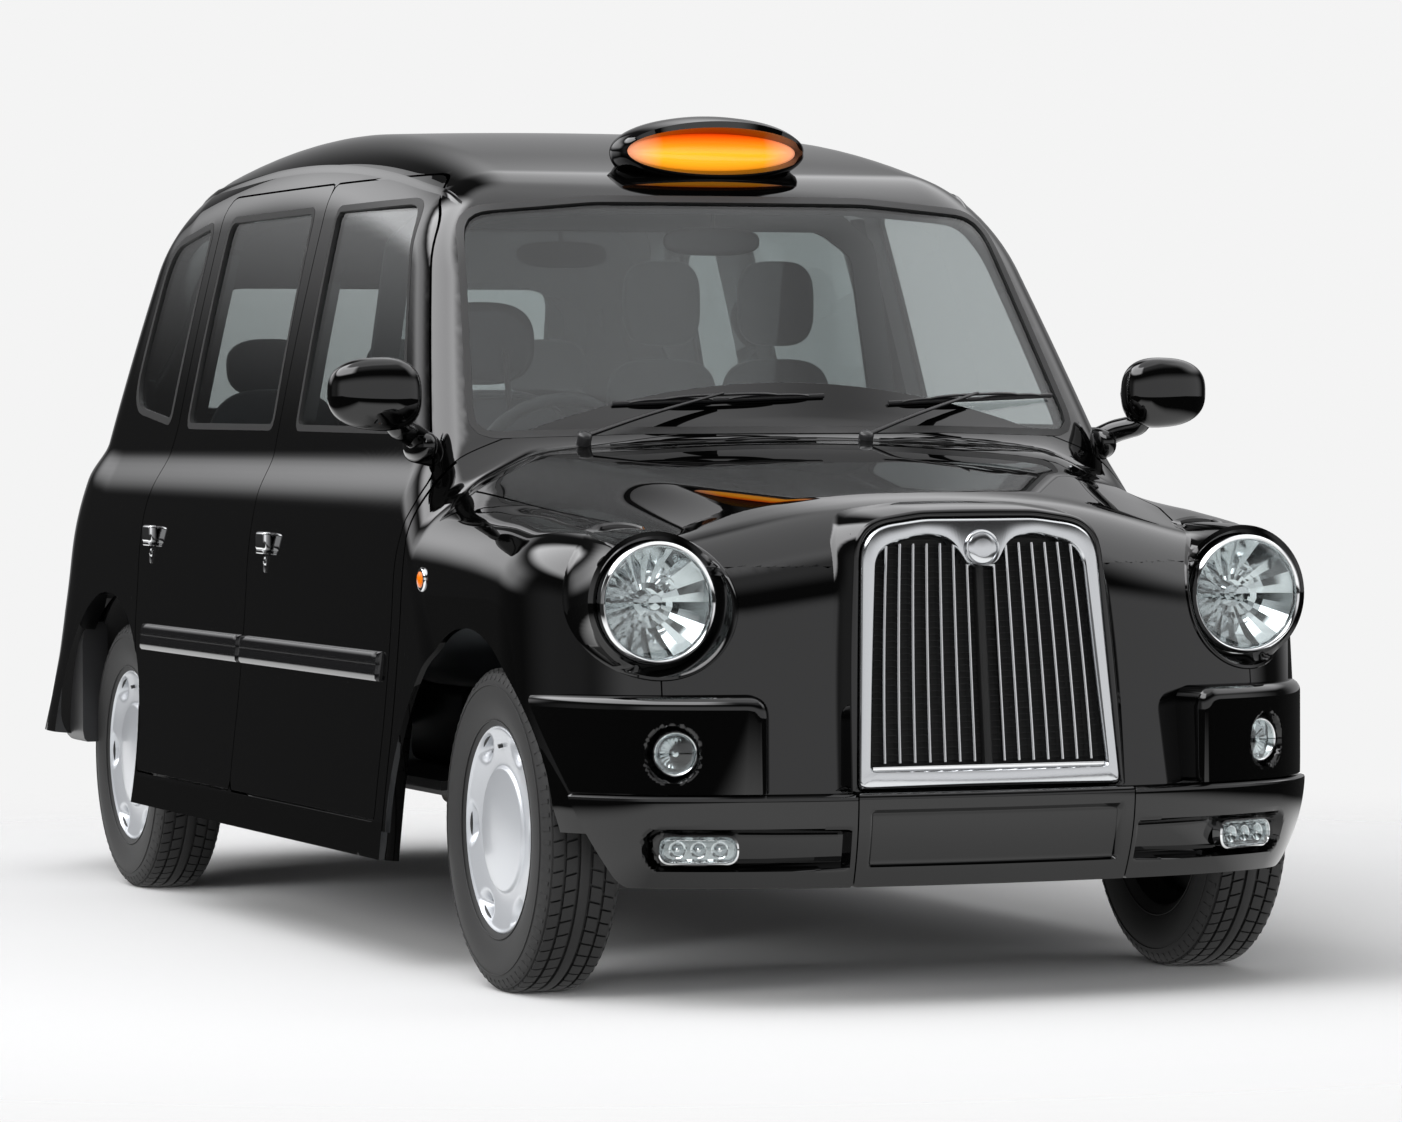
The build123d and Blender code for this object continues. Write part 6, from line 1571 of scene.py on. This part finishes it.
def cushion(centre, half, power=3.6, swell=0.10):
    """A pad that is fuller in its middle."""
    def bend(ring):
        """The pad's thinnest way swells in the middle."""
        full = 1 + swell * (1 - (ring[:, 0] / half[0]) ** 2)
        out = ring.copy()
        thin = int(np.argmin(half))
        out[:, thin] = ring[:, thin] * full / (1 + swell)
        return out
    return pillow(centre, half, power, 48, 26, bend)


def piping(net_centre, half, axis):
    """The sewn cord round a seat back's face."""
    angles = np.linspace(0, 2 * pi, 60, endpoint=False)
    curve = lambda value: np.sign(value) * np.abs(value) ** (2 / 3.6)
    a, b = half[0] * 0.93 * curve(np.cos(angles)), half[2] * 0.93 * curve(np.sin(angles))
    rings = []
    section = np.linspace(0, 2 * pi, 8, endpoint=False)
    for k in range(60):
        u = np.array([a[k], 0, b[k]]) / max(np.hypot(a[k], b[k]), 1e-6)
        base = np.array([a[k], axis, b[k]])
        rings.append(np.array(net_centre) + base + np.outer(0.005 * np.cos(section), u)
                     + np.outer(0.005 * np.sin(section), (0, 1, 0)))
    return loft(rings, loop=True)


driver = joined(
    cushion((-0.380, 1.075, 0.640), (0.245, 0.245, 0.075)),
    leaned(cushion((-0.380, 1.300, 0.960), (0.235, 0.062, 0.290), 3.4, 0.18), (1.27, 0.66)),
    leaned(cushion((-0.380, 1.300, 1.360), (0.130, 0.045, 0.095), 2.8, 0.15), (1.27, 0.66)),
    leaned(piping((-0.380, 1.300, 0.960), (0.235, 0.062, 0.290), -0.046), (1.27, 0.66)),
)
driver[0][:, 1] = np.minimum(driver[0][:, 1], 1.396)  # short of the partition's front
seat = put("driver_seat_pads", driver, seat_cloth, stands_for=("driver_seat",), slot="seat_fabric", angle=60)
posts = [tube([(x, 1.335, 1.17), (x, 1.37, 1.33)], 0.007, 12) for x in (-0.43, -0.33)]
base = soft_block((-0.380, 1.09, 0.490), (0.21, 0.20, 0.088), 0.02)
put("driver_seat_frame", joined(base, *posts), black_abs, slot="black_plastic", angle=40)
bench = []
for x in (-0.375, 0.0, 0.375):
    bench.append(cushion((x, 2.740, 0.690), (0.186, 0.265, 0.078)))
    bench.append(leaned(cushion((x, 3.010, 1.000), (0.184, 0.065, 0.265), 3.4, 0.18), (2.96, 0.72)))
    bench.append(leaned(cushion((x, 3.020, 1.325), (0.115, 0.042, 0.075), 2.8, 0.15), (2.96, 0.72)))
for x in (-0.330, 0.330):
    bench.append(cushion((x, 1.500, 0.980), (0.195, 0.040, 0.185), 3.4, 0.15))
for x in (0.100, 0.386):
    bench.append(cushion((x, 1.500, 1.440), (0.094, 0.036, 0.100), 3.2, 0.15))
    bench.append(cushion((x, 1.500, 1.200), (0.135, 0.036, 0.110), 3.2, 0.15))
bench_seat = put("passenger_seat_pads", joined(*bench), seat_cloth, stands_for=("passenger_seats",),
                 slot="seat_fabric", angle=60)
plinth = soft_block((0.0, 2.790, 0.530), (0.55, 0.22, 0.098), 0.02)
put("passenger_seat_plinth", plinth, black_abs, slot="black_plastic", angle=40)
print("seats done")

# %% Steering wheel
WHEEL_AT = np.array([-0.380, 0.905, 1.050])
wheel_axis = np.array([0.0, cos(radians(28)), sin(radians(28))])
u, v, a = axes_about(wheel_axis)
rim_loops = []
for t_angle in np.linspace(0, 2 * pi, 72, endpoint=False):
    radial = u * cos(t_angle) + v * sin(t_angle)
    grip = 0.0145 + 0.0008 * cos(24 * t_angle)
    rim_loops.append(np.array([WHEEL_AT + radial * (0.185 + grip * cos(q)) + a * grip * sin(q)
                               for q in np.linspace(0, 2 * pi, 14, endpoint=False)]))
steering = [loft(rim_loops, loop=True),
            turned_piece([(0.0005, 0.020), (0.045, 0.016), (0.062, 0.004), (0.062, -0.020), (0.040, -0.045)],
                         WHEEL_AT - a * 0.025, wheel_axis, 40)]
for t_angle in (radians(8), radians(172), radians(250), radians(290)):
    radial = u * cos(t_angle) + v * sin(t_angle)
    steering.append(tube([WHEEL_AT - a * 0.030 + radial * 0.050, WHEEL_AT - a * 0.016 + radial * 0.12,
                          WHEEL_AT + radial * 0.183], [0.017, 0.014, 0.011], 12, 0.5))
steering.append(tube([WHEEL_AT - a * 0.05, WHEEL_AT - a * 0.26], [0.034, 0.040], 20))
put("steering_wheel_rim", joined(*steering), dash_vinyl, stands_for=("steering_wheel",), slot="dash_plastic", angle=45)

# %% Dash
dash_rings = []
for x in np.linspace(-0.728, 0.728, 60):
    hood = 0.030 * np.exp(-((x + 0.38) / 0.17) ** 4)
    section = [(0.526, 0.725), (0.700, 0.725), (0.790, 0.800), (0.815, 0.880), (0.800, 0.940),
               (0.770 + hood * 0.5, 0.985), (0.745 + hood * 0.5, 1.012 + hood * 0.8), (0.690, 1.028 + hood * 0.9),
               (0.600, 1.036), (0.526, 1.038)]
    dash_rings.append(np.array([(x, s, z) for s, z in section]))
dials = [turned_piece([(0.0005, 0.002), (0.036, 0.002), (0.040, 0.006), (0.043, 0.002), (0.043, -0.010)],
                      (x, 0.806, 0.930), (0, 1, 0.25), 40) for x in (-0.43, -0.33)]
vents = [soft_block((x, 0.808, 0.925), (0.045, 0.010, 0.022), 0.006) for x in (-0.62, -0.12, 0.12, 0.62)]
put("dash_moulding", joined(loft(dash_rings), *dials, *vents), dash_vinyl, stands_for=("dashboard",),
    slot="dash_plastic", angle=45)

# %% Partition and inner mirror
screen_line = round_outline([(-0.655, 0.47), (0.655, 0.47), (0.655, 1.20), (0.600, 1.58), (0.50, 1.66), (-0.50, 1.66),
                             (-0.600, 1.58), (-0.655, 1.20)], 0.05)
pane_line = round_outline([(-0.590, 1.02), (0.590, 1.02), (0.590, 1.20), (0.540, 1.55), (0.46, 1.605), (-0.46, 1.605),
                           (-0.540, 1.55), (-0.590, 1.20)], 0.05)
WALL_MIDDLE = np.array([0.0, 1.25])
wide, inner_edge = ray_outline(screen_line, WALL_MIDDLE, 160), ray_outline(pane_line, WALL_MIDDLE, 160)
wall = loft([np.stack([r[:, 0], np.full(160, s), r[:, 1]], axis=1) for r, s in
             ((wide, 1.404), (wide, 1.420), (inner_edge, 1.420), (inner_edge, 1.404))], caps=False, loop=True)
put("partition_wall", wall, dash_vinyl, stands_for=("partition",), slot="dash_plastic", angle=40)
pane_edge = WALL_MIDDLE + (inner_edge - WALL_MIDDLE) * 1.01
put("partition_pane", loft([np.stack([pane_edge[:, 0], np.full(160, s), pane_edge[:, 1]], axis=1)
                            for s in (1.4100, 1.4145)]), window_glass, slot="glass", angle=40)
inner_mirror = pillow((0.0, 0.905, 1.565), (0.115, 0.016, 0.032), 2.8, 40, 16)
stalk = tube([(0.0, 0.905, 1.585), (0.0, 0.890, 1.640)], 0.006, 10)
put("inner_mirror", joined(inner_mirror, stalk), black_abs, slot="black_plastic", angle=50)
print("cabin done")

# %% [markdown]
# ## Tail and underside
# The tail carries a plain moulded bumper, three round lamps a side, and a chrome grip on the boot lid. None
# of it shows in the photograph, so it is kept to what such a cab has.

# %% Rear bumper
REAR_PLAN_MIDDLE, REAR_BUMPER_END = 3.38, 3.150
alphas = np.linspace(0, radians(118), 160)
tail_end = lambda x, s: round_max(x - 0.868, s - (3.873 - 0.05 * x ** 2), 0.58)
reach = met(lambda d: tail_end(np.sin(alphas) * d, REAR_PLAN_MIDDLE + np.cos(alphas) * d) > 0, np.zeros(160),
            np.full(160, 1.8))
plan = np.stack([np.sin(alphas) * reach, REAR_PLAN_MIDDLE + np.cos(alphas) * reach], axis=1)
plan = plan[plan[:, 1] > REAR_BUMPER_END]
run = np.concatenate([[0], np.cumsum(np.hypot(*np.diff(plan, axis=0).T))])
plan_out = np.stack([-np.gradient(plan[:, 1], run), np.gradient(plan[:, 0], run)], axis=1)
BUMPER_SECTION = [(0.066, 0.352), (0.012, 0.352), (0.004, 0.360), (0.0, 0.380), (0.0, 0.600), (0.004, 0.632),
                  (0.014, 0.650), (0.030, 0.656), (0.066, 0.658)]
left_half = loft([np.array([(*(at - out * deep), z) for deep, z in BUMPER_SECTION])
                  for at, out in zip(plan, plan_out)])
put("rear_bumper_cover", joined(left_half, mirrored_net(left_half)), black_abs, stands_for=("rear_bumper",),
    slot="black_plastic", angle=40)

# %% Tail lamps and boot lid
tail_cups, tail_lenses, tail_ambers = [], [], []


def tail_surface(x, z):
    """Where the body's back surface stands at x and z."""
    return float(met(lambda s: body_field(x, s, z) > 0, np.array(3.2), np.array(4.1)))


for sign in (1, -1):
    for z, lenses_of in ((0.640, tail_lenses), (0.748, tail_ambers), (0.856, tail_lenses)):
        at = np.array([0.640, tail_surface(0.640, z), z])
        way = body_normal(at[None, :])[0]
        at, way = at * np.array([sign, 1, 1]), way * np.array([sign, 1, 1])
        tail_cups.append(turned_piece([(0.046, -0.012), (0.046, 0.006), (0.043, 0.010), (0.0395, 0.006),
                                       (0.0395, -0.012)], at, way, 48, caps=False))
        lenses_of.append(turned_piece([(0.0005, 0.017), (0.018, 0.0155), (0.032, 0.0105), (0.039, 0.005),
                                       (0.039, -0.010)], at, way, 48))
put("tail_lamp_bezels", joined(*tail_cups), chrome_plate, slot="chrome", angle=40)
put("tail_lamp_lenses", joined(*tail_lenses), red_plastic, stands_for=("tail_lamps",), slot="red_lamp", angle=50)
put("tail_indicator_lenses", joined(*tail_ambers), amber_plastic, slot="amber_lens", angle=50)
boot_net = panel_net(lambda x, s, z: 3.3 - s, lambda x, s, z: outline_distance(BOOT, x, z) + HALF_GAP)
sheet_panel("boot_lid_skin", both_halves(*boot_net), 0.030, coach_paint, "boot_lid", ("boot_lid",), "black_paint")
GRIP_Z = 0.735
grip_points, grip_faces = soft_block((0, 0, 0), (0.010, 0.190, 0.020), 0.008)
grip_points = grip_points[:, [1, 0, 2]] + np.array([0.0, tail_surface(0.0, GRIP_Z) + 0.008, GRIP_Z])
put("boot_grip", (grip_points, grip_faces), chrome_plate, body="boot_lid", stands_for=("boot_trim",), slot="chrome",
    angle=40)

# %% Underside
dress(("chassis_frame", "floor_pan", "inner_wings", "front_suspension", "rear_axle", "knuckle_left", "knuckle_right",
       "scuttle"), satin_paint)
dress(("engine_block",), iron_block)
dress(("exhaust",), dull_steel)
print("tail and underside done")

# %% [markdown]
# ## Camera, light and ground
# The photograph is taken from a little above bumper height with a long lens.

# %% Camera
PHOTO_WIDE, FOCAL_PIXELS, SENSOR_MM = 1402, 5720.65, 36
CAMERA_AT = (-4.535, -11.055 + AXLE_F, 1.162)
camera_data = bpy.data.cameras.new("camera")
camera_data.sensor_width = SENSOR_MM
camera_data.lens = SENSOR_MM * FOCAL_PIXELS / PHOTO_WIDE
camera_data.clip_end = 200
camera = bpy.data.objects.new("camera", camera_data)
bpy.context.scene.collection.objects.link(camera)
bpy.context.scene.camera = camera
azimuth, elevation, roll = radians(-20.65), radians(1.391), radians(-0.2246)
back = Vector((sin(azimuth) * cos(elevation), -cos(azimuth) * cos(elevation), sin(elevation)))
right = (-back).cross(Vector((0, 0, 1))).normalized()
up = right.cross(-back)
turned_right = cos(roll) * right + sin(roll) * up
turned_up = -sin(roll) * right + cos(roll) * up
camera.matrix_world = Matrix((
    (turned_right.x, turned_up.x, back.x, CAMERA_AT[0]),
    (turned_right.y, turned_up.y, back.y, CAMERA_AT[1]),
    (turned_right.z, turned_up.z, back.z, CAMERA_AT[2]),
    (0, 0, 0, 1),
))

# %% [markdown]
# A black car is seen by what it mirrors, so the studio is drawn as soft bright screens at set bearings and
# heights, and the camera alone sees a plain pale backdrop. Three lamps that make no mirror image add the soft
# shadow under the cab.

# %% Light
scene = bpy.context.scene
scene.view_settings.view_transform = "Standard"
world = bpy.data.worlds.new("studio")
scene.world = world
world.use_nodes = True
sky = world.node_tree
sky.nodes.clear()
sky_out = sky.nodes.new("ShaderNodeOutputWorld")
ray = node(sky, "ShaderNodeLightPath")
direction = node(sky, "ShaderNodeTexCoord")
split = node(sky, "ShaderNodeSeparateXYZ", Vector=direction.outputs["Generated"])
ahead = node(sky, "ShaderNodeMath", {"operation": "MULTIPLY"}, i0=split.outputs["Y"], i1=-1.0)
bearing = node(sky, "ShaderNodeMath", {"operation": "ARCTAN2"}, i0=split.outputs["X"], i1=ahead.outputs["Value"])
height = node(sky, "ShaderNodeMath", {"operation": "ARCSINE"}, i0=split.outputs["Z"])


def band(angle, low, high, soft):
    """One between two angles in degrees, with soft ends."""
    rise, fall = (node(sky, "ShaderNodeMapRange", {"interpolation_type": "SMOOTHSTEP"}, Value=angle.outputs["Value"],
                       From_Min=radians(start), From_Max=radians(end))
                  for start, end in ((low - soft, low + soft), (high + soft, high - soft)))
    return node(sky, "ShaderNodeMath", {"operation": "MULTIPLY"}, i0=rise.outputs["Result"], i1=fall.outputs["Result"])


total = None
screens = (  # bearing from, to, soft, height from, to, soft, brightness
    (-62, 80, 14, -95, 18, 8, 1.0),
    (-112, -70, 14, -95, 20, 10, 0.22),
    (-160, -24, 8, 38, 68, 4, 6.0),
    (-20, 60, 12, 44, 66, 8, 0.50),
    (62, 165, 12, 26, 60, 8, 2.0),
    (-179, -128, 12, 12, 30, 6, 1.6),
    (-200, 200, 5, 62, 100, 6, 1.5),
    (118, 172, 14, -5, 24, 6, 0.35),
)
for *turn, low, high, soft, bright in screens:
    patch = node(sky, "ShaderNodeMath", {"operation": "MULTIPLY"}, i0=band(bearing, *turn).outputs["Value"],
                 i1=band(height, low, high, soft).outputs["Value"])
    total = node(sky, "ShaderNodeMath", {"operation": "MULTIPLY_ADD"}, i0=patch.outputs["Value"], i1=bright,
                 i2=total.outputs["Value"] if total else 0.035)
studio = node(sky, "ShaderNodeBackground", Color=(1.0, 1.0, 1.015, 1), Strength=total.outputs["Value"])
white = node(sky, "ShaderNodeBackground", Color=linear("#f4f4f4"), Strength=1.0)
both = node(sky, "ShaderNodeMixShader", Fac=ray.outputs["Is Camera Ray"], i1=studio.outputs["Background"],
            i2=white.outputs["Background"])
sky.links.new(both.outputs["Shader"], sky_out.inputs["Surface"])


def softbox(name, place, aim, wide, tall, watts):
    """A big soft lamp, seen by its light alone."""
    lamp = bpy.data.lights.new(name, "AREA")
    lamp.shape = "RECTANGLE"
    lamp.size, lamp.size_y, lamp.energy = wide, tall, watts
    obj = bpy.data.objects.new(name, lamp)
    bpy.context.scene.collection.objects.link(obj)
    obj.location = place
    obj.rotation_euler = (Vector(aim) - Vector(place)).to_track_quat("-Z", "Y").to_euler()
    return obj


overhead = softbox("overhead", (0, 1.0, 7.0), (0, 0, 0), 7.0, 10.0, 240)
side_box = softbox("side", (-8.0, -3.0, 3.4), (0, 0.0, 0.8), 5.0, 3.0, 430)
front_box = softbox("front", (-1.5, -9.0, 3.0), (0, -1.5, 0.8), 5.0, 2.0, 150)
for lamp in (overhead, side_box, front_box):
    lamp.visible_glossy = False

# %% [markdown]
# The floor takes the shadow, and fades into the backdrop a few metres out. Its mirror images in the paint are a
# painted reflection: an emission that is pale near the cab, with painted shade under it, and dark far off, as they
# look in the photograph's paint.

# %% Ground
floor_mesh = bpy.data.meshes.new("floor")
floor_mesh.from_pydata([(-30, -30, 0), (30, -30, 0), (30, 30, 0), (-30, 30, 0)], [], [(0, 1, 2, 3)])
floor = bpy.data.objects.new("floor", floor_mesh)
bpy.context.scene.collection.objects.link(floor)
material, tree, out = finish_tree("studio floor")
place = node(tree, "ShaderNodeTexCoord")
reach = node(tree, "ShaderNodeVectorMath", {"operation": "LENGTH"}, i0=place.outputs["Object"])
far_off = node(tree, "ShaderNodeMapRange", {"interpolation_type": "SMOOTHSTEP"}, Value=reach.outputs["Value"],
               From_Min=2.1, From_Max=5.2)
rays = node(tree, "ShaderNodeLightPath")
lit = node(tree, "ShaderNodeBsdfDiffuse", Color=linear("#aaaaaa"), Roughness=1.0)
plan = node(tree, "ShaderNodeSeparateXYZ", Vector=place.outputs["Object"])
beside = node(tree, "ShaderNodeMath", {"operation": "ABSOLUTE"}, i0=plan.outputs["X"])
beside = node(tree, "ShaderNodeMath", {"operation": "SUBTRACT"}, i0=beside.outputs["Value"], i1=0.9)
before = node(tree, "ShaderNodeMath", {"operation": "MULTIPLY_ADD"}, i0=plan.outputs["Y"], i1=-0.22, i2=-0.22 * 2.3)
clear_by = node(tree, "ShaderNodeMath", {"operation": "MAXIMUM"}, i0=beside.outputs["Value"],
                i1=before.outputs["Value"])
# Painted reflection: in the paint, the floor is an emission that is bright within about a metre of the cab's sides and
# fades dark by 2.6 m, and fades much farther out ahead.
painted_reflection_near_cab = node(tree, "ShaderNodeMapRange", {"interpolation_type": "SMOOTHSTEP"}, Value=clear_by.outputs["Value"],
               From_Min=2.6, From_Max=1.0, To_Min=0.03, To_Max=1.4)
# Painted shade: under the cab, the painted reflection falls to a small fraction of its brightness.
painted_shade_under_cab = node(tree, "ShaderNodeMapRange", {"interpolation_type": "SMOOTHSTEP"}, Value=clear_by.outputs["Value"],
                 From_Min=-0.35, From_Max=0.25, To_Min=0.06, To_Max=1.0)
painted_reflection_strength = node(tree, "ShaderNodeMath", {"operation": "MULTIPLY"}, i0=painted_reflection_near_cab.outputs["Result"],
             i1=painted_shade_under_cab.outputs["Result"])
# The painted reflection: an emission that glossy rays see in place of the lit floor.
painted_floor_reflection = node(tree, "ShaderNodeEmission", Color=(1, 1, 1, 1), Strength=painted_reflection_strength.outputs["Value"])
gone = node(tree, "ShaderNodeBsdfTransparent", Color=(1, 1, 1, 1))
seen = node(tree, "ShaderNodeMixShader", Fac=far_off.outputs["Result"], i1=lit.outputs["BSDF"],
            i2=gone.outputs["BSDF"])
mixed = node(tree, "ShaderNodeMixShader", Fac=rays.outputs["Is Glossy Ray"], i1=seen.outputs["Shader"],
             i2=painted_floor_reflection.outputs["Emission"])
tree.links.new(mixed.outputs["Shader"], out.inputs["Surface"])
floor_mesh.materials.append(material)
